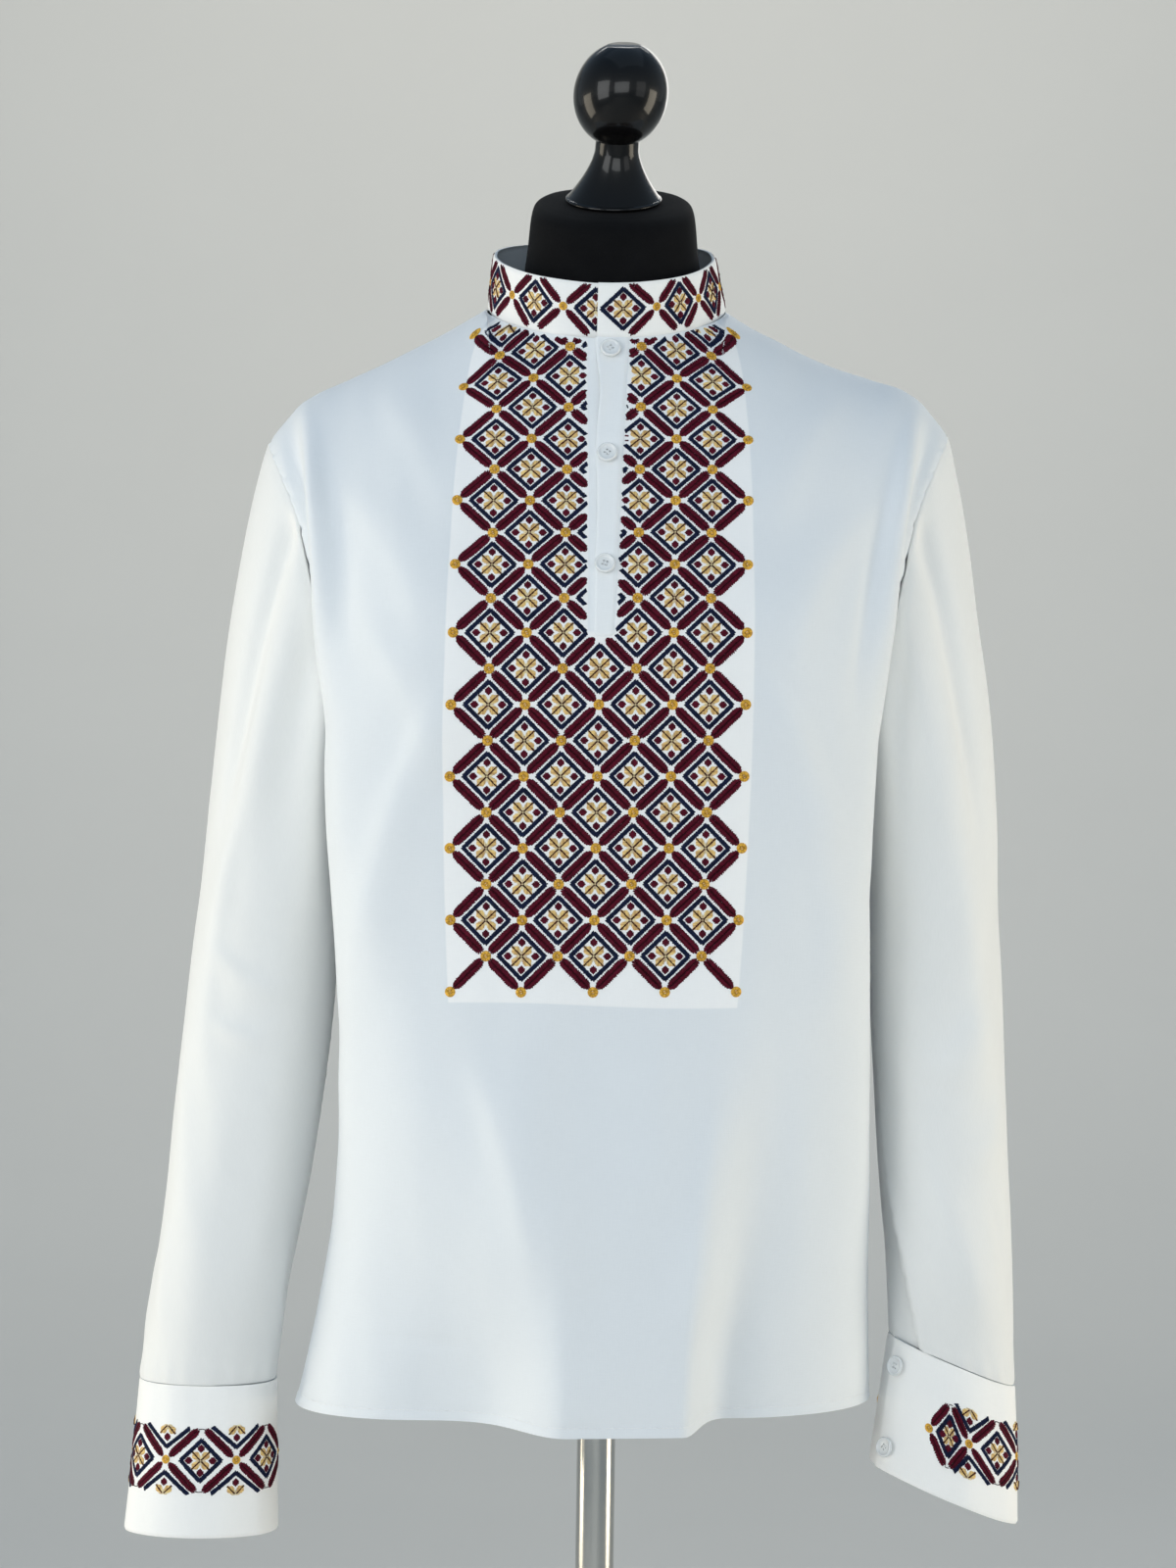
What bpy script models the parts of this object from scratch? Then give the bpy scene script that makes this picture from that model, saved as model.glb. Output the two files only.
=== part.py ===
"""Men's embroidered stand-collar shirt (vyshyvanka), worn by a limbless dress form on a pole and round base.

Metres, +Z up. The shirt's front faces -Y. "left" is the side at -X and "right" the side at +X.
The origin is at the centre of the base's underside, and the pole runs up the Z axis.
Each cloth piece is a thin wall: a grid of points on its outer face, and the same points moved in.
"""

from collections import namedtuple
from math import asin, cos, pi, radians, sin, tan

import bmesh
import bpy
import numpy as np
from mathutils import Matrix, Vector

# Cloth walls and the gaps at seams
CLOTH = 0.0013
DOUBLE_CLOTH = 0.0018
SEAM = 0.0005
SMOOTH_ANGLE = radians(50)

# How the shirt sits on the form: a little to the left, more so lower down
SHIFT_TOP = -0.0038
SHIFT_PER_METRE = 0.0066
SHIFT_LEVEL = 1.42

# Neck seam: an ellipse seen from above, lower in front than behind
NECK_HALF_WIDTH = 0.0780
NECK_FRONT = 0.062
NECK_BACK = 0.079
NECK_SIDE_Z = 1.448
NECK_TILT = 0.0227
NECK_DIP = 0.0047
NECK_CLOTH = 0.0790

# Widths, heights and depths of the front and back, a row for each section
Section = namedtuple("Section", "z edge_z left right depth square edge dent tilt")
FRONT_SECTIONS = (
    Section(0.741, 0.7395, 0.187, 0.185, 0.106, 2.7, 90, 0.00, 0.020),
    Section(0.800, 0.8005, 0.173, 0.182, 0.110, 2.8, 90, 0.02, 0.016),
    Section(0.900, 0.900, 0.159, 0.180, 0.116, 3.0, 90, 0.07, 0.012),
    Section(1.000, 1.000, 0.162, 0.177, 0.121, 3.2, 90, 0.12, 0.014),
    Section(1.070, 1.070, 0.168, 0.174, 0.124, 3.4, 90, 0.16, 0.014),
    Section(1.135, 1.135, 0.172, 0.174, 0.125, 3.5, 90, 0.17, 0.014),
    Section(1.240, 1.215, 0.174, 0.183, 0.124, 3.4, 74, 0.10, 0.018),
    Section(1.310, 1.298, 0.193, 0.200, 0.104, 2.8, 66, 0.00, 0.022),
)
BACK_SECTIONS = (
    Section(0.741, 0.7395, 0.187, 0.185, 0.112, 2.6, 90, 0.00, 0.020),
    Section(0.800, 0.8005, 0.173, 0.182, 0.110, 2.7, 90, 0.02, 0.016),
    Section(0.900, 0.900, 0.159, 0.180, 0.107, 2.9, 90, 0.07, 0.012),
    Section(1.000, 1.000, 0.162, 0.177, 0.106, 3.0, 90, 0.12, 0.014),
    Section(1.070, 1.070, 0.168, 0.174, 0.108, 3.1, 90, 0.16, 0.014),
    Section(1.135, 1.135, 0.172, 0.174, 0.112, 3.2, 90, 0.17, 0.014),
    Section(1.250, 1.225, 0.174, 0.180, 0.119, 3.1, 79, 0.10, 0.018),
    Section(1.330, 1.300, 0.199, 0.205, 0.110, 2.6, 76, 0.00, 0.022),
)
DENT_REACH = 0.050
ARMPIT_Z = 1.135

# Shoulder seam, from the neck to the top of the sleeve
ShoulderPoint = namedtuple("ShoulderPoint", "x y z")
SHOULDER_LINE = (
    ShoulderPoint(0.0780, 0.0080, 1.4480),
    ShoulderPoint(0.1130, 0.0080, 1.4275),
    ShoulderPoint(0.1410, 0.0075, 1.4140),
    ShoulderPoint(0.1750, 0.0065, 1.4010),
    ShoulderPoint(0.1950, 0.0060, 1.3925),
    ShoulderPoint(0.2066, 0.0050, 1.3840),
    ShoulderPoint(0.2170, 0.0045, 1.3720),
    ShoulderPoint(0.2245, 0.0040, 1.3625),
)
SHOULDER_TILT = 0.024
SHOULDER_REACH_LEFT = 0.976
SHOULDER_REACH_RIGHT = 1.003
NECK_SLOPE_FRONT = radians(22)
NECK_SLOPE_BACK = radians(26)
SHOULDER_SLOPE = radians(84)
SHOULDER_SLOPE_CURVE = 0.8
SHOULDER_SEAM_TURN = 0.25
CAP_FULLNESS = 1.15

# Grain folds of the front: forward bulges that fade upwards
Fold = namedtuple("Fold", "x drift flat left_soft right_soft low high depth drop")
FRONT_FOLDS = (
    Fold(0.025, 0.02, 0.036, 0.038, 0.012, 0.741, 1.06, 0.043, 0.004),
    Fold(-0.150, 0.16, 0.006, 0.050, 0.056, 0.741, 1.10, 0.009, 0.0),
    Fold(0.128, -0.05, 0.006, 0.034, 0.050, 0.741, 1.02, 0.006, 0.0),
)
BACK_FOLDS = (
    Fold(-0.060, 0.05, 0.010, 0.060, 0.060, 0.741, 1.08, 0.016, 0.0),
    Fold(0.075, -0.10, 0.010, 0.060, 0.046, 0.741, 1.12, 0.018, 0.0),
)
FOLD_SPREAD = 3.0

# Placket: a slot down from the neck, filled by two bands
SLOT_LENGTH = 0.200
SLOT_TOP = (-0.0104, 0.0132)
SLOT_END = (-0.0076, 0.0090)
UNDER_BAND_SINK = 0.0006
UPPER_BAND_LIFT = 0.0011
UPPER_BAND_INSET = 0.0042
GAPE_AT = 0.038
GAPE_REACH = 0.022
GAPE_IN = 0.0036
GAPE_OUT = 0.0026
BUTTON_DISTANCES = (0.0090, 0.0830, 0.1570)

# Collar: a standing band whose right end lies on the left one in front
COLLAR_HEIGHT = 0.0352
COLLAR_LEAN = 0.05
COLLAR_LEAN_LEFT = 0.09
COLLAR_LEAN_RIGHT = 0.21
COLLAR_UNDER_END = radians(9)
COLLAR_UPPER_END = radians(4.3)
COLLAR_STEP = 0.0026
COLLAR_STEP_LENGTH = radians(30)

# Grid sizes
NECK_COLUMNS = 5
SHOULDER_COLUMNS = 8
LOWER_ROWS = 13
ARMHOLE_ROWS = 6
CAP_ROWS = 5
SLEEVE_HEAD_ROWS = 5
SLEEVE_ROWS = 11
CUFF_COLUMNS = 26
CUFF_ROWS = 3
COLLAR_COLUMNS = 34
COLLAR_ROWS = 2
BAND_COLUMNS = 3
HALF_SAMPLES = 160
SLOPE_STEP = 0.004
EDGE_CROWDING = 0.2
NECK_CROWDING = 0.3

# Sleeves: a row for each ring, from the body down to the cuff
Ring = namedtuple("Ring", "z outer inner middle_y half_depth square turn tilt")
LEFT_RINGS = (
    Ring(1.060, -0.2630, -0.1720, 0.004, 0.058, 2.3, 0, 0.00),
    Ring(1.009, -0.2687, -0.1740, 0.002, 0.056, 2.3, 0, 0.00),
    Ring(0.945, -0.2749, -0.1795, -0.002, 0.054, 2.3, -6, 0.00),
    Ring(0.881, -0.2810, -0.1890, -0.006, 0.052, 2.3, -16, 0.00),
    Ring(0.817, -0.2884, -0.2011, -0.010, 0.049, 2.3, -28, 0.00),
    Ring(0.749, -0.2966, -0.2082, -0.013, 0.036, 2.2, -38, 0.00),
)
RIGHT_RINGS = (
    Ring(1.060, 0.2563, 0.1740, 0.004, 0.058, 2.3, 0, 0.00),
    Ring(1.009, 0.2593, 0.1750, 0.002, 0.056, 2.3, 0, 0.00),
    Ring(0.945, 0.2627, 0.1780, -0.002, 0.054, 2.3, 6, -0.03),
    Ring(0.881, 0.2660, 0.1820, -0.006, 0.052, 2.3, 18, -0.12),
    Ring(0.825, 0.2690, 0.1870, -0.010, 0.049, 2.3, 36, -0.24),
    Ring(0.7680, 0.2708, 0.1890, -0.013, 0.036, 2.2, 56, -0.40),
)
VENT_LENGTH = 0.125
VENT_OVERLAP = radians(16)
VENT_SINK = 0.0032
VENT_UNDER_FROM = 0.8
SLEEVE_FLARE = 0.14

# Cuffs: a double band round the sleeve's end, its upper end lapped over the under one
LEFT_CUFF_RINGS = (
    Ring(0.6530, -0.3050, -0.2056, -0.020, 0.038, 2.2, -38, 0.00),
    Ring(0.7020, -0.3002, -0.2070, -0.017, 0.037, 2.2, -38, 0.00),
    Ring(0.7485, -0.2966, -0.2082, -0.013, 0.036, 2.2, -38, 0.00),
)
RIGHT_CUFF_RINGS = (
    Ring(0.6830, 0.2731, 0.1770, -0.020, 0.038, 2.2, 56, -0.40),
    Ring(0.7240, 0.2722, 0.1830, -0.017, 0.037, 2.2, 56, -0.40),
    Ring(0.7675, 0.2708, 0.1890, -0.013, 0.036, 2.2, 56, -0.40),
)
CUFF_UPPER_REACH = radians(34)
CUFF_UNDER_SHORT = radians(8)
CUFF_STEP = 0.0028
CUFF_STEP_LENGTH = radians(40)
CUFF_BUTTON_HEIGHTS = (0.2, 0.82)
CUFF_BUTTON_INSET = radians(13)

# Buttons
BUTTON_RADIUS = 0.0065
BUTTON_THICKNESS = 0.0026
BUTTON_GAP = 0.0005
BUTTON_SIDES = 12
ButtonPoint = namedtuple("ButtonPoint", "radius height")
BUTTON_PROFILE = (
    ButtonPoint(0.80, 0.00),
    ButtonPoint(0.97, 0.30),
    ButtonPoint(1.00, 0.62),
    ButtonPoint(0.93, 0.95),
    ButtonPoint(0.84, 1.00),
    ButtonPoint(0.70, 0.72),
    ButtonPoint(0.60, 0.66),
)
BUTTON_ACROSS = 0.42
BAND_BUTTON_LIFT = 0.0009
CUFF_BUTTON_LIFT = 0.0003

# Dress form
FormRing = namedtuple("FormRing", "z half_x front back square pitch")
FORM_RINGS = (
    FormRing(0.800, 0.128, 0.074, 0.072, 2.3, 0),
    FormRing(0.806, 0.140, 0.084, 0.082, 2.3, 0),
    FormRing(0.830, 0.147, 0.090, 0.088, 2.3, 0),
    FormRing(0.900, 0.145, 0.094, 0.088, 2.4, 0),
    FormRing(0.990, 0.137, 0.094, 0.084, 2.4, 0),
    FormRing(1.070, 0.139, 0.100, 0.088, 2.5, 0),
    FormRing(1.150, 0.146, 0.112, 0.097, 2.6, 0),
    FormRing(1.230, 0.156, 0.117, 0.106, 2.6, 0),
    FormRing(1.290, 0.171, 0.100, 0.100, 2.4, 0),
    FormRing(1.335, 0.184, 0.073, 0.083, 2.2, 0),
    FormRing(1.365, 0.186, 0.048, 0.062, 2.1, 0),
    FormRing(1.382, 0.176, 0.036, 0.048, 2.1, 0),
    FormRing(1.396, 0.150, 0.034, 0.046, 2.0, 3),
    FormRing(1.409, 0.118, 0.038, 0.050, 2.0, 6),
    FormRing(1.424, 0.086, 0.044, 0.056, 2.0, 10),
    FormRing(1.446, 0.063, 0.050, 0.056, 2.2, 16),
    FormRing(1.480, 0.0565, 0.052, 0.052, 2.5, 21),
    FormRing(1.508, 0.0535, 0.050, 0.049, 2.6, 23),
    FormRing(1.5155, 0.0490, 0.045, 0.044, 2.6, 23),
    FormRing(1.5180, 0.0390, 0.036, 0.035, 2.5, 23),
)
FORM_SIDES = 32
FORM_MIDDLE = 0.004

# Finial: a ball on a flared foot, leaning forward with the neck
FINIAL_FOOT = (0.0, 0.004, 1.5186)
FINIAL_FORWARD = radians(23)
FINIAL_SIDEWAYS = radians(3)
FINIAL_FOOT_RADIUS = 0.0316
FINIAL_FOOT_EDGE = 0.0030
FINIAL_FOOT_STEP = 0.0014
FINIAL_STEM_CURVE = 1.55
FINIAL_WAIST_RADIUS = 0.0142
FINIAL_WAIST_Z = 0.0350
FINIAL_BALL_RADIUS = 0.0307
FINIAL_BALL_HALF_HEIGHT = 0.0338
FINIAL_BALL_Z = 0.0703
FINIAL_TOP_DISC = 0.0113
FINIAL_SIDES = 22
FINIAL_STEM_STEPS = 5
FINIAL_BALL_STEPS = 9

# Pole and base
POLE_RADIUS = 0.0125
POLE_SIDES = 24
BASE_RADIUS = 0.170
BASE_EDGE = 0.008
BASE_CROWN = 0.014
BASE_SIDES = 40
BASE_BEVEL = 0.001
BASE_ROUND = 0.003
FERRULE_RADIUS = 0.020
FERRULE_HEIGHT = 0.022
TOUCH = 0.0004


# ---------------------------------------------------------------- curves and grids


def ramp(value, low, high):
    """0 up to low, 1 from high, and a soft S between."""
    part = np.clip((value - low) / (high - low), 0.0, 1.0)
    return part * part * (3.0 - 2.0 * part)


def hermite(start, end, start_pull, end_pull, part):
    """A cubic from start to end, leaving and arriving along the two pulls."""
    square = part * part
    cube = square * part
    return (
        (2 * cube - 3 * square + 1) * start
        + (3 * square - 2 * cube) * end
        + (cube - 2 * square + part) * start_pull
        + (cube - square) * end_pull
    )


def through(keys, values, at):
    """A smooth curve through (keys, values), read at the given keys."""
    keys = np.asarray(keys, float)
    values = np.asarray(values, float)
    slopes = np.gradient(values, keys)
    at = np.clip(at, keys[0], keys[-1])
    index = np.clip(np.searchsorted(keys, at, side="right") - 1, 0, len(keys) - 2)
    width = keys[index + 1] - keys[index]
    part = (at - keys[index]) / width
    return hermite(values[index], values[index + 1], slopes[index] * width, slopes[index + 1] * width, part)


def read_table(table, z):
    """All the columns of a table of sections at one height."""
    order = sorted(table, key=lambda row: row.z)
    keys = [row.z for row in order]
    kind = type(order[0])
    return kind(*(float(through(keys, [getattr(row, name) for row in order], z)) for name in kind._fields))


def unit(vectors):
    return vectors / np.maximum(np.linalg.norm(vectors, axis=-1, keepdims=True), 1e-12)


def grid_normals(grid, inside):
    """Unit normals of a grid of points, turned away from the inside points."""
    down = np.gradient(grid, axis=0)
    across = np.gradient(grid, axis=1)
    normals = unit(np.cross(down, across))
    if np.sum(normals * (grid - inside)) < 0:
        normals = -normals
    return normals


# ---------------------------------------------------------------- body of the shirt


def half_section(z, side, facing):
    """Half of a front (facing -1) or back (facing 1) section, evenly spaced from its middle to its edge."""
    row = read_table(FRONT_SECTIONS if facing < 0 else BACK_SECTIONS, z)
    front = read_table(FRONT_SECTIONS, min(z, FRONT_SECTIONS[-1].z))
    half_width = front.left if side < 0 else front.right

    def profile(shape, angles):
        y = shape.depth * np.maximum(np.cos(angles), 0) ** (2 / shape.square)
        x = np.sin(angles) ** (2 / shape.square) * (1 - front.dent * np.exp(-((y / DENT_REACH) ** 2)))
        return x, y

    front_x, _ = profile(front, np.linspace(0, radians(front.edge), HALF_SAMPLES * 2))
    angles = np.linspace(0, radians(row.edge), HALF_SAMPLES * 2)
    x, y = profile(row, angles)
    x = x * half_width / front_x.max()
    length = np.concatenate([[0], np.cumsum(np.hypot(np.diff(x), np.diff(y)))])
    even = np.linspace(0, length[-1], HALF_SAMPLES)
    part = np.linspace(0, 1, HALF_SAMPLES)
    x = np.interp(even, length, x)
    y = np.interp(even, length, y)
    height = row.z + (row.edge_z - row.z) * part**2 + row.tilt * side * x
    points = np.stack([side * x, facing * y, height], axis=1)
    return length[-1], points


def section(z, facing):
    """A whole section from the left edge to the right one, with its two half lengths."""
    left_length, left = half_section(z, -1, facing)
    right_length, right = half_section(z, 1, facing)
    return left_length, right_length, np.concatenate([left[::-1], right[1:]])


def neck_seam(angle):
    """The neck seam at an angle from the front's middle, positive towards +X."""
    reach = np.where(np.cos(angle) > 0, NECK_FRONT, NECK_BACK)
    middle_y = SHOULDER_LINE[0].y
    x = NECK_HALF_WIDTH * np.sin(angle)
    y = middle_y - (reach + np.where(np.cos(angle) > 0, middle_y, -middle_y)) * np.cos(angle)
    z = NECK_SIDE_Z - NECK_TILT * np.cos(angle) - NECK_DIP * np.cos(angle) ** 2
    return np.stack([x, y, z], axis=-1)


def top_edge(side, facing):
    """Half of the top edge of a panel, neckline then shoulder seam, and the way the cloth arrives there."""
    xs = np.array([point.x for point in SHOULDER_LINE])
    fine = np.linspace(xs[0], xs[-1], HALF_SAMPLES)
    shoulder = np.stack(
        [fine, through(xs, [p.y for p in SHOULDER_LINE], fine), through(xs, [p.z for p in SHOULDER_LINE], fine)],
        axis=1,
    )
    along = np.concatenate([[0], np.cumsum(np.linalg.norm(np.diff(shoulder, axis=0), axis=1))])
    total = NECK_CLOTH + along[-1]
    cloth = np.linspace(0, total, HALF_SAMPLES)

    angles = np.linspace(0, pi / 2, HALF_SAMPLES)
    across = NECK_CLOTH * (np.sin(angles) + NECK_CROWDING * (angles / (pi / 2) - np.sin(angles)))
    angle = np.interp(cloth, across, angles)
    neck_angle = angle if facing < 0 else pi - angle
    neck = neck_seam(neck_angle)
    beyond = np.stack([np.interp(cloth - NECK_CLOTH, along, shoulder[:, i]) for i in range(3)], axis=1)
    on_neck = (cloth < NECK_CLOTH)[:, None]
    points = np.where(on_neck, neck, beyond)

    neck_slope = NECK_SLOPE_FRONT if facing < 0 else NECK_SLOPE_BACK
    slope = neck_slope + (SHOULDER_SLOPE - neck_slope) * (1 - np.cos(angle)) ** SHOULDER_SLOPE_CURVE
    arrive = np.stack([np.zeros_like(slope), -facing * np.sin(slope), np.cos(slope)], axis=1)
    reach = SHOULDER_REACH_LEFT if side < 0 else SHOULDER_REACH_RIGHT
    outward = ramp(points[:, 0], NECK_HALF_WIDTH, SHOULDER_LINE[-1].x)
    points = points * [side, 1, 1]
    points[:, 0] *= 1 + (reach - 1) * outward
    points[:, 1] += facing * SEAM / 2
    points[:, 2] += SHOULDER_TILT * points[:, 0] * outward
    return total, points, arrive


def whole_top_edge(facing):
    total, left, arrive_left = top_edge(-1, facing)
    _, right, arrive_right = top_edge(1, facing)
    points = np.concatenate([left[::-1], right[1:]])
    arrive = np.concatenate([arrive_left[::-1], arrive_right[1:]])
    return total, points, arrive


def fold_shift(points, folds, facing):
    """Moves points out and down where a fold of the cloth bulges."""
    moved = points.copy()
    for fold in folds:
        height = 1 - ramp(points[..., 2], fold.low, fold.high)
        middle = fold.x + fold.drift * (points[..., 2] - fold.low)
        off = points[..., 0] - middle
        soft = np.where(off < 0, fold.left_soft, fold.right_soft) * (1 + FOLD_SPREAD * (1 - height))
        beyond = np.maximum(np.abs(off) - fold.flat, 0)
        shape = np.exp(-((beyond / soft) ** 2)) * height
        moved[..., 1] += facing * fold.depth * shape
        moved[..., 2] -= fold.drop * shape
    return moved


def settle(points):
    """The shirt's place on the form."""
    moved = points.copy()
    moved[..., 0] += SHIFT_TOP + SHIFT_PER_METRE * (points[..., 2] - SHIFT_LEVEL)
    return moved


def panel_rows(facing, heights, cap_parts):
    """Dense rows of a panel from the hem up: their cloth widths each side of the middle, and their points."""
    table = FRONT_SECTIONS if facing < 0 else BACK_SECTIONS
    folds = FRONT_FOLDS if facing < 0 else BACK_FOLDS
    rows = [section(z, facing) for z in heights]
    last_z = table[-1].z
    left_length, right_length, last = section(last_z, facing)
    before = section(last_z - SLOPE_STEP, facing)[2]
    leave = unit(last - before)
    total, top, arrive = whole_top_edge(facing)
    reach = np.linalg.norm(top - last, axis=1, keepdims=True)
    for part in cap_parts:
        points = hermite(last, top, leave * reach, arrive * reach * CAP_FULLNESS, part)
        left = left_length + (total - left_length) * part
        right = right_length + (total - right_length) * part
        rows.append((left, right, points))
    return [(left, right, settle(fold_shift(points, folds, facing))) for left, right, points in rows]


def panel_grid(rows, cloth_columns):
    """Reads each dense row at its columns' distances from the middle line."""
    grid = []
    for (left, right, points), columns in zip(rows, cloth_columns):
        dense = np.concatenate([np.linspace(-left, 0, HALF_SAMPLES), np.linspace(0, right, HALF_SAMPLES)[1:]])
        grid.append(np.stack([np.interp(columns, dense, points[:, i]) for i in range(3)], axis=1))
    return np.array(grid)


def row_heights(table):
    """Heights from the hem to the last section. Both panels share those up to the armpit."""
    below = np.linspace(table[0].z, ARMPIT_Z, LOWER_ROWS)
    above = ARMPIT_Z + (table[-1].z - ARMPIT_Z) * np.linspace(0, 1, ARMHOLE_ROWS + 1)[1:] ** 1.5
    return np.concatenate([below, above])


def middle_distance(rows):
    """Distance down the cloth from the neck along the middle line, for each row."""
    middle = np.array([points[HALF_SAMPLES - 1] for _, _, points in rows])
    steps = np.linalg.norm(np.diff(middle[::-1], axis=0), axis=1)
    return np.concatenate([[0], np.cumsum(steps)])[::-1]


# ---------------------------------------------------------------- mesh making


def clear_scene():
    for obj in list(bpy.data.objects):
        bpy.data.objects.remove(obj, do_unlink=True)


def make_material(name, colour, roughness, metallic=0.0):
    material = bpy.data.materials.new(name)
    material.use_nodes = True
    shader = material.node_tree.nodes["Principled BSDF"]
    shader.inputs["Base Color"].default_value = (*colour, 1.0)
    shader.inputs["Roughness"].default_value = roughness
    shader.inputs["Metallic"].default_value = metallic
    material.diffuse_color = (*colour, 1.0)
    return material


def finish_object(name, bm, material):
    bmesh.ops.recalc_face_normals(bm, faces=bm.faces)
    mesh = bpy.data.meshes.new(name)
    bm.to_mesh(mesh)
    bm.free()
    mesh.shade_smooth()
    mesh.set_sharp_from_angle(angle=SMOOTH_ANGLE)
    mesh.materials.append(material)
    obj = bpy.data.objects.new(name, mesh)
    bpy.context.scene.collection.objects.link(obj)
    return obj


def wall(name, outer, normals, thickness, material, cells=None):
    """A cloth wall: the outer grid, the same grid moved in, and a rim round every open edge."""
    rows, columns = outer.shape[:2]
    inner = outer - normals * thickness
    if cells is None:
        cells = np.ones((rows - 1, columns - 1), bool)
    bm = bmesh.new()
    used = np.zeros((rows, columns), bool)
    for r, c in np.argwhere(cells):
        used[r : r + 2, c : c + 2] = True
    outside = {}
    inside = {}
    for r, c in np.argwhere(used):
        outside[r, c] = bm.verts.new(outer[r, c])
        inside[r, c] = bm.verts.new(inner[r, c])

    def filled(r, c):
        return 0 <= r < rows - 1 and 0 <= c < columns - 1 and cells[r, c]

    for r, c in np.argwhere(cells):
        corners = [(r, c), (r, c + 1), (r + 1, c + 1), (r + 1, c)]
        bm.faces.new([outside[corner] for corner in corners])
        bm.faces.new([inside[corner] for corner in reversed(corners)])
        beside = [(r - 1, c), (r, c + 1), (r + 1, c), (r, c - 1)]
        for k, other in enumerate(beside):
            if not filled(*other):
                first, second = corners[k], corners[(k + 1) % 4]
                bm.faces.new([outside[second], outside[first], inside[first], inside[second]])
    return finish_object(name, bm, material)


def turned(name, profile, sides, material, matrix=None):
    """A solid of revolution from (radius, z) points, closed at the axis or by flat ends."""
    bm = bmesh.new()
    rings = []
    for radius, z in profile:
        ring = [
            bm.verts.new((radius * cos(2 * pi * i / sides), radius * sin(2 * pi * i / sides), z))
            for i in range(sides)
        ]
        rings.append(ring)
    for low, high in zip(rings, rings[1:]):
        for i in range(sides):
            j = (i + 1) % sides
            bm.faces.new([low[i], low[j], high[j], high[i]])
    bm.faces.new(rings[0][::-1])
    bm.faces.new(rings[-1])
    if matrix is not None:
        bmesh.ops.transform(bm, matrix=matrix, verts=bm.verts)
    return finish_object(name, bm, material)


# ---------------------------------------------------------------- front, back and placket


def slot_sides(distance):
    """Cloth distances of the placket slot's two sides from the middle line."""
    part = min(distance / SLOT_LENGTH, 1.0)
    return tuple(top + (end - top) * part for top, end in zip(SLOT_TOP, SLOT_END))


def half_columns(first, last):
    """Cloth distances from the first column to the edge, one of them in line with the shoulder's neck end."""
    by_neck = np.linspace(first, NECK_CLOTH, NECK_COLUMNS + 1)
    part = np.linspace(0, 1, SHOULDER_COLUMNS + 1)[1:]
    part = part + EDGE_CROWDING * (np.sin(part * pi / 2) - part)
    return np.concatenate([by_neck, NECK_CLOTH + (last - NECK_CLOTH) * part])


def front_columns(rows, distances):
    """Cloth columns of the front: the two beside the middle follow the placket's slot."""
    columns = []
    for (left, right, _), distance in zip(rows, distances):
        slot_left, slot_right = slot_sides(distance)
        left_side = -half_columns(-slot_left, left)[::-1]
        columns.append(np.concatenate([left_side, half_columns(slot_right, right)]))
    return columns


def front_levels():
    """Row heights of the front, one of them exactly at the placket's lower end, and that row's number."""
    heights = row_heights(FRONT_SECTIONS)
    cap_parts = np.linspace(0, 1, CAP_ROWS + 1)[1:]
    distances = middle_distance(panel_rows(-1, heights, cap_parts))[: len(heights)]
    end = np.interp(SLOT_LENGTH, distances[::-1], heights[::-1])
    above = np.arange(len(heights)) > LOWER_ROWS
    nearest = int(np.argmin(np.where(above, np.abs(heights - end), 1)))
    heights[nearest] = end
    return heights, cap_parts, nearest


def body_grids():
    """Grids and normals of the front and back, with their gaps at the side seams."""
    heights, cap_parts, slot_row = front_levels()
    front_rows = panel_rows(-1, heights, cap_parts)
    distances = middle_distance(front_rows)
    front = panel_grid(front_rows, front_columns(front_rows, distances))
    back_rows = panel_rows(1, row_heights(BACK_SECTIONS), cap_parts)
    back_columns = [
        np.concatenate([-half_columns(0, left)[:0:-1], half_columns(0, right)]) for left, right, _ in back_rows
    ]
    back = panel_grid(back_rows, back_columns)
    for grid, facing in ((front, -1), (back, 1)):
        grid[:LOWER_ROWS, [0, -1], 1] += facing * SEAM / 2
    front_normals = grid_normals(front, front * [0, 0, 1])
    back_normals = grid_normals(back, back * [0, 0, 1])
    for edge in (0, -1):
        together = unit(front_normals[:LOWER_ROWS, edge] + back_normals[:LOWER_ROWS, edge])
        front_normals[:LOWER_ROWS, edge] = together
        back_normals[:LOWER_ROWS, edge] = together
    return front_rows, distances, slot_row, front, front_normals, back, back_normals


def share_shoulder_normals(front, front_normals, back, back_normals):
    """Turns the walls on both sides of the shoulder seams upright, so that they meet with a straight gap."""
    for side in (-1, 1):
        front_seam = np.where(front[-1, :, 0] * side > NECK_HALF_WIDTH)[0]
        back_seam = np.where(back[-1, :, 0] * side > NECK_HALF_WIDTH)[0]
        for seam, normals in ((front_seam, front_normals), (back_seam, back_normals)):
            normals[-1, seam, 1] *= SHOULDER_SEAM_TURN
            normals[-1, seam] = unit(normals[-1, seam])


def band_grid(rows, distances, slot_row, left_inset, right_inset):
    """Grid of a placket band on the front's surface, from the slot's lower end to the neck."""
    band_rows = rows[slot_row:]
    band_distances = distances[slot_row:].copy()
    columns = []
    for distance in band_distances:
        slot_left, slot_right = slot_sides(distance)
        columns.append(np.linspace(slot_left + left_inset, slot_right - right_inset, BAND_COLUMNS + 1))
    grid = panel_grid(band_rows, columns)
    upward = unit(grid[1] - grid[0])
    grid[0] += upward * SEAM
    return grid, band_distances


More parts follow.
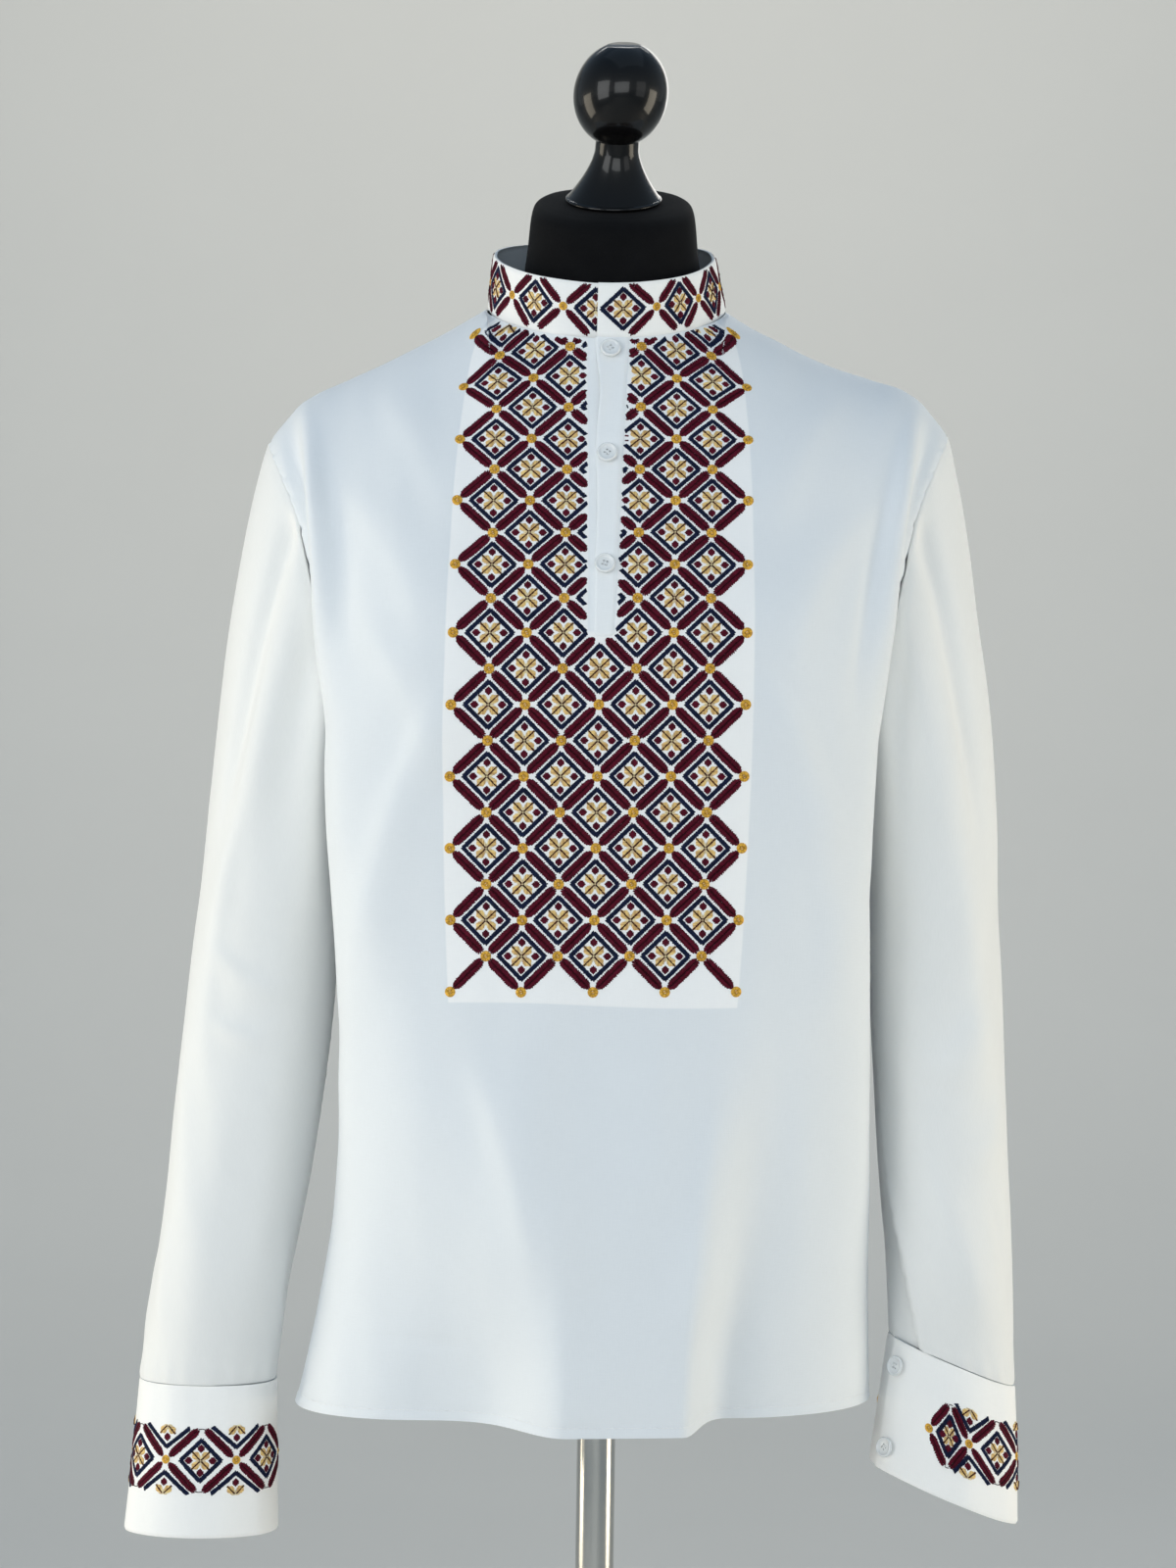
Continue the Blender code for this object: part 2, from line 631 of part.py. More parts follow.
def build_placket(rows, distances, slot_row, cloth):
    under, _ = band_grid(rows, distances, slot_row, SEAM, SEAM)
    under_normals = grid_normals(under, under * [1, 0, 1])
    wall("placket_under", under - under_normals * UNDER_BAND_SINK, under_normals, CLOTH, cloth)

    upper, band_distances = band_grid(rows, distances, slot_row, UPPER_BAND_INSET, SEAM)
    normals = grid_normals(upper, upper * [1, 0, 1])
    gape = np.exp(-(((band_distances - GAPE_AT) / GAPE_REACH) ** 2))[:, None]
    free = np.linspace(1, 0, BAND_COLUMNS + 1)[None, :] ** 2
    upper = upper + normals * (UPPER_BAND_LIFT + GAPE_OUT * gape * free)[..., None]
    upper[..., 0] += GAPE_IN * gape * free
    wall("placket_upper", upper, normals, CLOTH, cloth)
    return upper, normals, band_distances


# ---------------------------------------------------------------- collar


def build_collar(cloth):
    angles = np.linspace(COLLAR_UNDER_END, -2 * pi - COLLAR_UPPER_END, COLLAR_COLUMNS + 1)
    travelled = COLLAR_UNDER_END - angles
    bottom = neck_seam(angles)
    inward = unit(np.stack([-np.sin(angles), np.cos(angles), np.zeros_like(angles)], axis=-1))
    sink = COLLAR_STEP * (1 - ramp(travelled, COLLAR_UNDER_END, COLLAR_UNDER_END + COLLAR_STEP_LENGTH))
    side_lean = np.where(np.sin(angles) < 0, COLLAR_LEAN_LEFT, COLLAR_LEAN_RIGHT)
    lean = COLLAR_LEAN + (side_lean - COLLAR_LEAN) * np.sin(angles) ** 2
    grid = []
    for part in np.linspace(0, 1, COLLAR_ROWS + 1):
        row = bottom + inward * (sink + lean * COLLAR_HEIGHT * part)[:, None]
        row[:, 2] += SEAM + COLLAR_HEIGHT * part
        grid.append(row)
    grid = settle(np.array(grid))
    middle = np.array([SHIFT_TOP, SHOULDER_LINE[0].y, 0])
    normals = grid_normals(grid, grid * [0, 0, 1] + middle)
    wall("collar", grid, normals, DOUBLE_CLOTH, cloth)


# ---------------------------------------------------------------- sleeves and cuffs


def ring_points(rings, z, fractions, side, sink=0.0, extra=0.0):
    """Points of a sleeve or cuff ring. Fractions run from the seam round the front and the outer side."""
    ring = read_table(rings, z)
    turn = 2 * pi * fractions + radians(ring.turn) + extra
    power = 2 / ring.square
    half_x = abs(ring.outer - ring.inner) / 2 - sink
    middle_x = (ring.outer + ring.inner) / 2
    x = middle_x - side * half_x * np.sign(np.cos(turn)) * np.abs(np.cos(turn)) ** power
    y = ring.middle_y - (ring.half_depth - sink) * np.sign(np.sin(turn)) * np.abs(np.sin(turn)) ** power
    height = ring.z + ring.tilt * (x - middle_x)
    return np.stack([x, y, height], axis=1)


def armhole(front, back, side):
    """The armhole's points from the armpit up the front edge and down the back edge, and their fractions."""
    edge = 0 if side < 0 else -1
    up = front[LOWER_ROWS - 1 :, edge]
    down = back[LOWER_ROWS - 1 :, edge][::-1]
    length_up = np.concatenate([[0], np.cumsum(np.linalg.norm(np.diff(up, axis=0), axis=1))])
    length_down = np.concatenate([[0], np.cumsum(np.linalg.norm(np.diff(down, axis=0), axis=1))])
    fractions = np.concatenate([length_up / length_up[-1] / 2, 0.5 + length_down[1:] / length_down[-1] / 2])
    return np.concatenate([up, down[1:]]), fractions


def sleeve_grid(rings, loop, fractions, side):
    """A sleeve from the armhole down to its cuff, open along its seam."""
    first_z = rings[0].z
    last_z = rings[-1].z
    first = ring_points(rings, first_z, fractions, side)
    below = ring_points(rings, first_z - SLOPE_STEP, fractions, side)
    arrive = unit(below - first)
    chord = first - loop
    reach = np.linalg.norm(chord, axis=1, keepdims=True)
    leave = unit(chord + [side * SLEEVE_FLARE, 0, 0] * reach)
    start = loop + leave * SEAM
    grid = [
        hermite(start, first, leave * reach, arrive * reach, part)
        for part in np.linspace(0, 1, SLEEVE_HEAD_ROWS + 1)
    ]
    for z in np.linspace(first_z, last_z, SLEEVE_ROWS + 1)[1:]:
        open_part = ramp(z, last_z + VENT_LENGTH, last_z + VENT_LENGTH / 2)
        under = ramp(fractions, VENT_UNDER_FROM, 1.0)
        grid.append(
            ring_points(
                rings, z, fractions, side, VENT_SINK * open_part * under, VENT_OVERLAP * open_part * under**2
            )
        )
    return np.array(grid)


def part_seam(grid):
    """Draws the two long edges of a tube a little apart, so that they meet with a gap."""
    first = unit(grid[:, 1] - grid[:, 0])
    last = unit(grid[:, -2] - grid[:, -1])
    grid[:, 0] += first * SEAM / 2
    grid[:, -1] += last * SEAM / 2


def tube_normals(grid):
    middle = grid.mean(axis=1, keepdims=True)
    return grid_normals(grid, np.broadcast_to(middle, grid.shape))


def build_sleeve(name, rings, front, front_normals, back, back_normals, side, cloth):
    loop, fractions = armhole(front, back, side)
    grid = sleeve_grid(rings, loop, fractions, side)
    part_seam(grid)
    normals = tube_normals(grid)
    closed = SLEEVE_HEAD_ROWS + SLEEVE_ROWS // 2
    normals[:closed, 0] = normals[:closed, -1] = unit(normals[:closed, 0] + normals[:closed, -1])
    edge = 0 if side < 0 else -1
    top = len(front) - LOWER_ROWS
    body = np.concatenate([front_normals[LOWER_ROWS - 1 :, edge], back_normals[LOWER_ROWS - 1 :, edge][::-1][1:]])
    together = unit(normals[0] + body)
    # At the armpit the sleeve and the body lie face to face, so each keeps its own way there.
    normals[0, 1:-1] = together[1:-1]
    grid[0, [0, -1], 0] = loop[[0, -1], 0] + side * SEAM
    front_normals[LOWER_ROWS:, edge] = together[1 : top + 1]
    back_normals[LOWER_ROWS:, edge] = together[top:-1][::-1]
    wall(name, grid, normals, CLOTH, cloth)


def build_cuff(name, rings, side, cloth):
    """A cuff and the place and direction of its buttons."""
    start = -CUFF_UPPER_REACH / (2 * pi)
    end = 1 - CUFF_UNDER_SHORT / (2 * pi)
    fractions = np.linspace(start, end, CUFF_COLUMNS + 1)
    travelled = (fractions - start) * 2 * pi
    left_to_go = (end - fractions) * 2 * pi
    sink = CUFF_STEP / 2 * (1 - ramp(left_to_go, 0, CUFF_STEP_LENGTH))
    sink = sink - CUFF_STEP / 2 * (1 - ramp(travelled, 0, CUFF_STEP_LENGTH))
    order = sorted(rings, key=lambda ring: ring.z)
    heights = np.linspace(order[-1].z - SEAM, order[0].z, CUFF_ROWS + 1)
    grid = np.array([ring_points(rings, z, fractions, side, sink) for z in heights])
    normals = tube_normals(grid)
    wall(name, grid, normals, DOUBLE_CLOTH, cloth)
    places = []
    for part in CUFF_BUTTON_HEIGHTS:
        z = heights[0] + (heights[-1] - heights[0]) * part
        at = start + CUFF_BUTTON_INSET / (2 * pi) + np.array([0, SLOPE_STEP])
        here = ring_points(rings, z, at, side, -CUFF_STEP / 2)
        lower = ring_points(rings, z - SLOPE_STEP, at, side, -CUFF_STEP / 2)
        normal = unit(np.cross(here[1] - here[0], lower[0] - here[0]))
        outward = here[0] - np.array([(order[0].outer + order[0].inner) / 2, order[0].middle_y, here[0][2]])
        if np.dot(normal, outward) < 0:
            normal = -normal
        places.append((here[0], normal))
    return places


# ---------------------------------------------------------------- buttons


def build_button(name, place, normal, lift, material):
    """A round button with a raised rim, sitting just clear of the cloth."""
    profile = [(BUTTON_RADIUS * point.radius, BUTTON_THICKNESS * point.height) for point in BUTTON_PROFILE]
    direction = as_vector(normal)
    turn = direction.to_track_quat("Z", "Y").to_matrix().to_4x4()
    centre = as_vector(np.asarray(place) + np.asarray(normal) * (lift + BUTTON_GAP))
    turned(name, profile, BUTTON_SIDES, material, Matrix.Translation(centre) @ turn)


def as_vector(values):
    return Vector([float(value) for value in values])


# ---------------------------------------------------------------- dress form and stand


def build_form(jersey):
    """The torso and neck, one smooth body of stacked rounded sections."""
    bm = bmesh.new()
    rings = []
    for row in FORM_RINGS:
        ring = []
        for i in range(FORM_SIDES):
            angle = 2 * pi * i / FORM_SIDES
            power = 2 / row.square
            reach = row.front if sin(angle) < 0 else row.back
            x = row.half_x * np.sign(cos(angle)) * abs(cos(angle)) ** power
            y = reach * np.sign(sin(angle)) * abs(sin(angle)) ** power
            z = row.z + y * tan(radians(row.pitch))
            ring.append(bm.verts.new((x, y + FORM_MIDDLE, z)))
        rings.append(ring)
    for low, high in zip(rings, rings[1:]):
        for i in range(FORM_SIDES):
            j = (i + 1) % FORM_SIDES
            bm.faces.new([low[i], low[j], high[j], high[i]])
    bm.faces.new(rings[0][::-1])
    bm.faces.new(rings[-1])
    finish_object("form_torso", bm, jersey)


def finial_profile():
    """A flat foot with a round edge, a hollow stem and a ball cut flat at its top."""
    profile = [(FINIAL_FOOT_RADIUS - FINIAL_FOOT_EDGE, 0.0), (FINIAL_FOOT_RADIUS, FINIAL_FOOT_EDGE * 0.6)]
    steps = FINIAL_STEM_STEPS
    for i in range(steps + 1):
        part = i / steps
        z = FINIAL_FOOT_EDGE + (FINIAL_WAIST_Z - FINIAL_FOOT_EDGE) * part
        flare = FINIAL_FOOT_RADIUS - FINIAL_FOOT_STEP - FINIAL_WAIST_RADIUS
        profile.append((FINIAL_WAIST_RADIUS + flare * (1 - part) ** FINIAL_STEM_CURVE, z))
    waist_angle = asin(FINIAL_WAIST_RADIUS / FINIAL_BALL_RADIUS)
    top_angle = asin(FINIAL_TOP_DISC / FINIAL_BALL_RADIUS)
    steps = FINIAL_BALL_STEPS
    for i in range(steps + 1):
        angle = pi - waist_angle + (top_angle - pi + waist_angle) * i / steps
        profile.append((FINIAL_BALL_RADIUS * sin(angle), FINIAL_BALL_Z + FINIAL_BALL_HALF_HEIGHT * cos(angle)))
    return profile


def build_finial(wood):
    place = Matrix.Translation(FINIAL_FOOT)
    aslant = Matrix.Identity(4)
    aslant[0][2] = tan(FINIAL_SIDEWAYS)
    lean = Matrix.Rotation(FINIAL_FORWARD, 4, "X") @ aslant
    turned("finial", finial_profile(), FINIAL_SIDES, wood, place @ lean)


def build_stand(chrome, steel):
    corner = BASE_ROUND * (1 - cos(pi / 4))
    base_profile = (
        (BASE_RADIUS - BASE_BEVEL, 0.0),
        (BASE_RADIUS, BASE_BEVEL),
        (BASE_RADIUS, BASE_EDGE - BASE_ROUND),
        (BASE_RADIUS - corner, BASE_EDGE - corner),
        (BASE_RADIUS - BASE_ROUND, BASE_EDGE),
        (BASE_RADIUS / 2, (BASE_EDGE + BASE_CROWN) / 2),
        (FERRULE_RADIUS + BASE_ROUND, BASE_CROWN),
    )
    turned("stand_base", base_profile, BASE_SIDES, steel)
    ferrule_top = BASE_CROWN + TOUCH + FERRULE_HEIGHT
    pole_profile = (
        (FERRULE_RADIUS, BASE_CROWN + TOUCH),
        (FERRULE_RADIUS, ferrule_top - BASE_ROUND),
        (FERRULE_RADIUS - BASE_ROUND, ferrule_top),
        (POLE_RADIUS, ferrule_top + TOUCH),
        (POLE_RADIUS, FORM_RINGS[0].z - TOUCH),
    )
    turned("stand_pole", pole_profile, POLE_SIDES, chrome)


def main():
    clear_scene()
    cloth = make_material("white_poplin", (0.83, 0.85, 0.87), 0.75)
    button = make_material("white_button", (0.86, 0.87, 0.86), 0.35)
    jersey = make_material("black_jersey", (0.012, 0.012, 0.013), 0.85)
    wood = make_material("black_gloss_wood", (0.008, 0.008, 0.009), 0.18)
    chrome = make_material("chrome", (0.75, 0.76, 0.78), 0.12, 1.0)
    steel = make_material("brushed_steel", (0.55, 0.56, 0.58), 0.35, 1.0)

    rows, distances, slot_row, front, front_normals, back, back_normals = body_grids()
    share_shoulder_normals(front, front_normals, back, back_normals)
    for name, rings, side in (("sleeve_left", LEFT_RINGS, -1), ("sleeve_right", RIGHT_RINGS, 1)):
        build_sleeve(name, rings, front, front_normals, back, back_normals, side, cloth)
    slot_cells = np.ones((front.shape[0] - 1, front.shape[1] - 1), bool)
    slot_cells[slot_row:, NECK_COLUMNS + SHOULDER_COLUMNS] = False
    wall("shirt_front", front, front_normals, CLOTH, cloth, slot_cells)
    wall("shirt_back", back, back_normals, CLOTH, cloth)
    band, band_normals, band_distances = build_placket(rows, distances, slot_row, cloth)
    build_collar(cloth)

    for number, distance in enumerate(BUTTON_DISTANCES, 1):
        part = np.interp(distance, band_distances[::-1], np.arange(len(band_distances))[::-1])
        low = int(min(part, len(band_distances) - 2))
        share = part - low
        across = BUTTON_ACROSS * BAND_COLUMNS
        column = int(across)
        blend = across - column

        def on_band(values):
            near = values[low] * (1 - share) + values[low + 1] * share
            return near[column] * (1 - blend) + near[column + 1] * blend

        build_button(f"button_{number}", on_band(band), unit(on_band(band_normals)), BAND_BUTTON_LIFT, button)

    for side_name, rings, side in (("left", LEFT_CUFF_RINGS, -1), ("right", RIGHT_CUFF_RINGS, 1)):
        for number, (place, normal) in enumerate(build_cuff(f"cuff_{side_name}", rings, side, cloth), 1):
            build_button(f"cuff_button_{side_name}_{number}", place, normal, CUFF_BUTTON_LIFT, button)

    build_form(jersey)
    build_finial(wood)
    build_stand(chrome, steel)


main()
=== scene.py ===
# %% [markdown]
# # A white vyshyvanka on its dress form
#
# A vyshyvanka is a Slavic folk shirt whose front, collar and cuffs are embroidered. This lesson dresses a
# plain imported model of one: it gives the shirt real cloth, sews it, embroiders it stitch by stitch, and
# finishes the black form and the steel stand below it. Everything is in metres, +Z up, and the shirt's front
# faces -Y. "Left" is the side at -X. The frame comes first, because every later piece sits on it.

# %% Load the frame
from collections import namedtuple
from math import asin, cos, pi, radians, sin, tan

import bmesh
import bpy
import numpy as np
from mathutils import Matrix, Vector


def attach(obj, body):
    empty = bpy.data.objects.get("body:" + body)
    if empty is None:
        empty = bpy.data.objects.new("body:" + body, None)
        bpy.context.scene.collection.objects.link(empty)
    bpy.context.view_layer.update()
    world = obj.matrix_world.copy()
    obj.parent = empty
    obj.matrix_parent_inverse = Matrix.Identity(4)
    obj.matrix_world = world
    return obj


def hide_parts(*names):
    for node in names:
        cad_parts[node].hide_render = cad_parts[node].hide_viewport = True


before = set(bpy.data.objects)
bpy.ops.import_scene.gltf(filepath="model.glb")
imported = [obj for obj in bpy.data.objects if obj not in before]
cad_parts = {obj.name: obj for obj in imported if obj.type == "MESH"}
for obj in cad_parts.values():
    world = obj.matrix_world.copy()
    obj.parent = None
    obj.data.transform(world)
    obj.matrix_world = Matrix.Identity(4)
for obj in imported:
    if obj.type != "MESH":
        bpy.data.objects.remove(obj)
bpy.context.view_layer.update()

# %% [markdown]
# ## A small kit for nodes
#
# Each finish below is a Principled shader whose colour, roughness and relief are painted by nodes. Writing
# node trees by hand is wordy, so one helper makes a node, and sets or joins its inputs. The others name the
# nodes that come back again and again.

# %% Node helpers


def new_object(name, data):
    obj = bpy.data.objects.new(name, data)
    bpy.context.scene.collection.objects.link(obj)
    return obj


def fill(tree, node, inputs):
    """Sets a node's inputs, given by name or number. An input whose value is a socket is joined to it."""
    for key, value in inputs.items():
        socket = node.inputs[key]
        if isinstance(value, bpy.types.NodeSocket):
            tree.links.new(value, socket)
        else:
            socket.default_value = (*value, 1.0) if socket.type == "RGBA" else value
    return node


def add_node(tree, kind, inputs=None, **settings):
    node = tree.nodes.new(kind)
    for key, value in settings.items():
        setattr(node, key, value)
    return fill(tree, node, inputs or {})


def maths(tree, operation, *operands):
    return add_node(tree, "ShaderNodeMath", dict(enumerate(operands)), operation=operation).outputs[0]


def mix_colour(tree, factor, first, second, blend="MIX"):
    inputs = {0: factor, 6: first, 7: second}
    return add_node(tree, "ShaderNodeMix", inputs, data_type="RGBA", blend_type=blend).outputs[2]


def smooth_step(tree, value, begin, end):
    """0 before begin and 1 after end."""
    inputs = {"Value": value, "From Min": begin, "From Max": end}
    return add_node(tree, "ShaderNodeMapRange", inputs, interpolation_type="SMOOTHSTEP").outputs["Result"]


def split(tree, vector):
    return add_node(tree, "ShaderNodeSeparateXYZ", {0: vector}).outputs


def own_place(tree):
    """Where a point lies in its own object."""
    return add_node(tree, "ShaderNodeTexCoord").outputs["Object"]


def noise(tree, vector, scale, detail, **settings):
    inputs = {"Vector": vector, "Scale": scale, "Detail": detail}
    return add_node(tree, "ShaderNodeTexNoise", inputs, **settings).outputs["Fac"]


def in_cells(tree, vector, size, start=(0.0, 0.0, 0.0)):
    """A place counted in cells of the given size, which stretch the noise that is read there."""
    inputs = {"Vector": vector, "Scale": size, "Location": start}
    return add_node(tree, "ShaderNodeMapping", inputs, vector_type="TEXTURE").outputs["Vector"]


def relief(tree, height, strength, distance):
    inputs = {"Height": height, "Strength": strength, "Distance": distance}
    return add_node(tree, "ShaderNodeBump", inputs).outputs["Normal"]


def start_material(name, **sockets):
    """A material whose fixed values sit on its shader. An underscore stands for a space."""
    material = bpy.data.materials.new(name)
    material.use_nodes = True
    tree = material.node_tree
    fixed = {key.replace("_", " "): value for key, value in sockets.items()}
    return material, tree, fill(tree, tree.nodes["Principled BSDF"], fixed)


def start_group(name, kind, inputs, outputs):
    """A node group with named sockets: the tree, what it is given, and the node for its results."""
    tree = bpy.data.node_groups.new(name, kind)
    for in_out, sockets in (("INPUT", inputs), ("OUTPUT", outputs)):
        for label, socket in sockets.items():
            tree.interface.new_socket(label, in_out=in_out, socket_type="NodeSocket" + socket)
    return tree, tree.nodes.new("NodeGroupInput").outputs, tree.nodes.new("NodeGroupOutput")


# %% [markdown]
# ## Camera, light and floor
#
# The shirt is seen from chest height, from about two and a half metres, through a long lens, so that nothing
# is stretched. The light here is a broad cool window at the front left, a weaker one at the right and a warm
# bounce from each side: white cloth needs light from the side, or its folds disappear, and two colours of
# light tell a fold's two slopes apart. The floor and the sky round it are a plain pale grey, a little darker
# than the cloth, so that the white edges still read.

# %% Camera
CAMERA_PLACE = (-0.0113, -2.28, 1.137)
CAMERA_ROLL = radians(0.8)

camera_data = bpy.data.cameras.new("camera")
camera_data.sensor_width = 36
camera_data.lens = 80.1
camera = new_object("camera", camera_data)
upright = Matrix.Rotation(pi / 2, 4, "X") @ Matrix.Rotation(CAMERA_ROLL, 4, "Z")
camera.matrix_world = Matrix.Translation(CAMERA_PLACE) @ upright
bpy.context.scene.camera = camera
bpy.context.scene.view_settings.view_transform = "Standard"

# %% Lights, sky and floor
WARM = (1.0, 0.90, 0.72)
LAMPS = (
    ("window_left", (-1.9, -1.9, 1.5), (0.0, 0.0, 1.10), 1.4, 1.6, 22, (0.99, 1.0, 1.0)),
    ("window_right", (2.1, -1.9, 1.4), (0.0, 0.0, 1.05), 1.2, 1.4, 4, (1.0, 0.99, 0.97)),
    ("left_bounce", (-2.1, 0.0, 0.9), (0.0, 0.0, 1.05), 0.9, 1.4, 16, WARM),
    ("right_bounce", (2.1, -0.2, 0.9), (0.0, 0.0, 1.05), 0.9, 1.4, 19, WARM),
    ("front_fill", (0.0, -4.2, 1.5), (0.0, 0.0, 1.05), 2.6, 1.6, 33, (0.97, 1.0, 1.0)),
    ("ceiling", (0.2, -0.4, 3.2), (0.0, 0.0, 1.0), 2.0, 2.0, 3, (0.72, 0.86, 1.0)),
    ("back_edge", (0.9, 2.6, 2.5), (0.0, 0.0, 1.2), 1.2, 1.6, 12, (1.0, 0.97, 0.93)),
    ("wall_wash", (0.0, 4.2, 6.5), (0.0, 8.5, 1.6), 6.0, 1.5, 260, (1.0, 0.98, 0.93)),
)
SKY_ABOVE = (0.20, 0.38, 0.60)
SKY_LEVEL = (0.86, 0.95, 1.0)
SKY_STRENGTH = 0.50
FLOOR_COLOUR = (0.54, 0.53, 0.50)
FLOOR_CLOUD = 1.05
FLOOR_FRONT = 11.0
FLOOR_HALF_WIDTH = 11.0
WALL_AT = 8.5
WALL_HEIGHT = 7.0
SWEEP_RADIUS = 4.0
FAR_GLOW = (0.11, 0.115, 0.115)
FAR_DISTANCES = (2.6, 8.0)
WALL_STARTS = (1.5, 4.0)


def add_lamp(name, place, aim, width, height, power, colour):
    data = bpy.data.lights.new(name, "AREA")
    data.shape = "RECTANGLE"
    data.size = width
    data.size_y = height
    data.energy = power
    data.color = colour
    lamp = new_object(name, data)
    lamp.location = place
    lamp.rotation_euler = (Vector(aim) - Vector(place)).to_track_quat("-Z", "Y").to_euler()


def add_sky():
    world = bpy.data.worlds.new("sky")
    world.use_nodes = True
    tree = world.node_tree
    height = split(tree, add_node(tree, "ShaderNodeTexCoord").outputs["Generated"])["Z"]
    colour = mix_colour(tree, height, SKY_LEVEL, SKY_ABOVE)
    fill(tree, tree.nodes["Background"], {"Color": colour, "Strength": SKY_STRENGTH})
    bpy.context.scene.world = world


def floor_material():
    """A pale floor, with a faint glow where it is far off and the lamps don't reach it."""
    material, tree, shader = start_material("pale_floor", Roughness=0.75, Emission_Strength=1.0)
    place = own_place(tree)
    lighter = tuple(value * FLOOR_CLOUD for value in FLOOR_COLOUR)
    colour = mix_colour(tree, noise(tree, place, 1.4, 3.0), FLOOR_COLOUR, lighter)
    distance = add_node(tree, "ShaderNodeVectorMath", {0: place}, operation="LENGTH").outputs["Value"]
    before_wall = maths(tree, "SUBTRACT", 1.0, smooth_step(tree, split(tree, place)["Y"], *WALL_STARTS))
    far = maths(tree, "MULTIPLY", smooth_step(tree, distance, *FAR_DISTANCES), before_wall)
    glow = mix_colour(tree, far, (0.0, 0.0, 0.0), FAR_GLOW)
    fill(tree, shader, {"Base Color": colour, "Emission Color": glow})
    return material


def make_floor():
    profile = [(-FLOOR_FRONT, 0.0), (WALL_AT - SWEEP_RADIUS, 0.0)]
    for a in np.linspace(0.1, pi / 2, 14):
        profile.append((WALL_AT - SWEEP_RADIUS * (1 - sin(a)), SWEEP_RADIUS * (1 - cos(a))))
    profile.append((WALL_AT, WALL_HEIGHT))
    count = len(profile)
    points = [(x, y, z) for x in (-FLOOR_HALF_WIDTH, FLOOR_HALF_WIDTH) for y, z in profile]
    mesh = bpy.data.meshes.new("floor")
    mesh.from_pydata(points, [], [(k, k + count, k + count + 1, k + 1) for k in range(count - 1)])
    mesh.shade_smooth()
    mesh.materials.append(floor_material())
    new_object("floor", mesh)


for lamp in LAMPS:
    add_lamp(*lamp)
add_sky()
make_floor()
print("stage ready with", len(LAMPS), "lamps")


# %% [markdown]
# ## The shirt's shape
#
# A shirt is cut flat, and it hangs in the form of what wears it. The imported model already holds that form, as
# level sections for the front and the back, a neck seam, a shoulder line and rings down each sleeve. The same
# measures are repeated here, and read many times more closely, so that the cloth can carry creases. A mesh
# simulated from flat panels would fall in its own way and drift off the model; reading the sections again
# keeps every seam where it is.

# %% Body measures
GAP = 0.0005
SHIFT_TOP = -0.0038
SHIFT_PER_METRE = 0.0066
SHIFT_LEVEL = 1.42
NECK_HALF_WIDTH = 0.0780
NECK_FRONT = 0.062
NECK_BACK = 0.079
NECK_SIDE_Z = 1.448
NECK_TILT = 0.0227
NECK_DIP = 0.0047
NECK_CLOTH = 0.0790

Section = namedtuple("Section", "z edge_z left right depth square edge dent tilt")


def table(kind, *rows):
    return tuple(kind(*row) for row in rows)


FRONT_SECTIONS = table(
    Section,
    (0.741, 0.7395, 0.187, 0.185, 0.106, 2.7, 90, 0.00, 0.020),
    (0.800, 0.8005, 0.173, 0.182, 0.110, 2.8, 90, 0.02, 0.016),
    (0.900, 0.900, 0.159, 0.180, 0.116, 3.0, 90, 0.07, 0.012),
    (1.000, 1.000, 0.162, 0.177, 0.121, 3.2, 90, 0.12, 0.014),
    (1.070, 1.070, 0.168, 0.174, 0.124, 3.4, 90, 0.16, 0.014),
    (1.135, 1.135, 0.172, 0.174, 0.125, 3.5, 90, 0.17, 0.014),
    (1.240, 1.215, 0.174, 0.183, 0.124, 3.4, 74, 0.10, 0.018),
    (1.310, 1.298, 0.193, 0.200, 0.104, 2.8, 66, 0.00, 0.022),
)
BACK_DEPTHS = ((0.112, 2.6), (0.110, 2.7), (0.107, 2.9), (0.106, 3.0), (0.108, 3.1), (0.112, 3.2))
BACK_SECTIONS = tuple(
    row._replace(depth=depth, square=square) for row, (depth, square) in zip(FRONT_SECTIONS, BACK_DEPTHS)
) + table(
    Section,
    (1.250, 1.225, 0.174, 0.180, 0.119, 3.1, 79, 0.10, 0.018),
    (1.330, 1.300, 0.199, 0.205, 0.110, 2.6, 76, 0.00, 0.022),
)
DENT_REACH = 0.050
ARMPIT_Z = 1.135
SHOULDER_X = (0.0780, 0.1130, 0.1410, 0.1750, 0.1950, 0.2066, 0.2170, 0.2245)
SHOULDER_Y = (0.0080, 0.0080, 0.0075, 0.0065, 0.0060, 0.0050, 0.0045, 0.0040)
SHOULDER_Z = (1.4480, 1.4275, 1.4140, 1.4010, 1.3925, 1.3840, 1.3720, 1.3625)
SHOULDER_TILT = 0.024
SHOULDER_REACH_LEFT = 0.976
SHOULDER_REACH_RIGHT = 1.003
NECK_SLOPE_FRONT = radians(22)
NECK_SLOPE_BACK = radians(26)
SHOULDER_SLOPE = radians(84)
SHOULDER_SLOPE_CURVE = 0.8
CAP_FULLNESS = 1.15
SLOPE_STEP = 0.004
NECK_CROWDING = 0.3
HALF_SAMPLES = 160

GrainFold = namedtuple("GrainFold", "x drift flat left_soft right_soft low high depth drop")
FRONT_GRAIN_FOLDS = table(
    GrainFold,
    (0.025, 0.02, 0.036, 0.038, 0.012, 0.741, 1.06, 0.043, 0.004),
    (-0.150, 0.16, 0.006, 0.050, 0.056, 0.741, 1.10, 0.009, 0.0),
    (0.128, -0.05, 0.006, 0.034, 0.050, 0.741, 1.02, 0.006, 0.0),
)
BACK_GRAIN_FOLDS = table(
    GrainFold,
    (-0.060, 0.05, 0.010, 0.060, 0.060, 0.741, 1.08, 0.016, 0.0),
    (0.075, -0.10, 0.010, 0.060, 0.046, 0.741, 1.12, 0.018, 0.0),
)
FOLD_SPREAD = 3.0
SLOT_LENGTH = 0.200
SLOT_TOP = (-0.0104, 0.0132)
SLOT_END = (-0.0076, 0.0090)


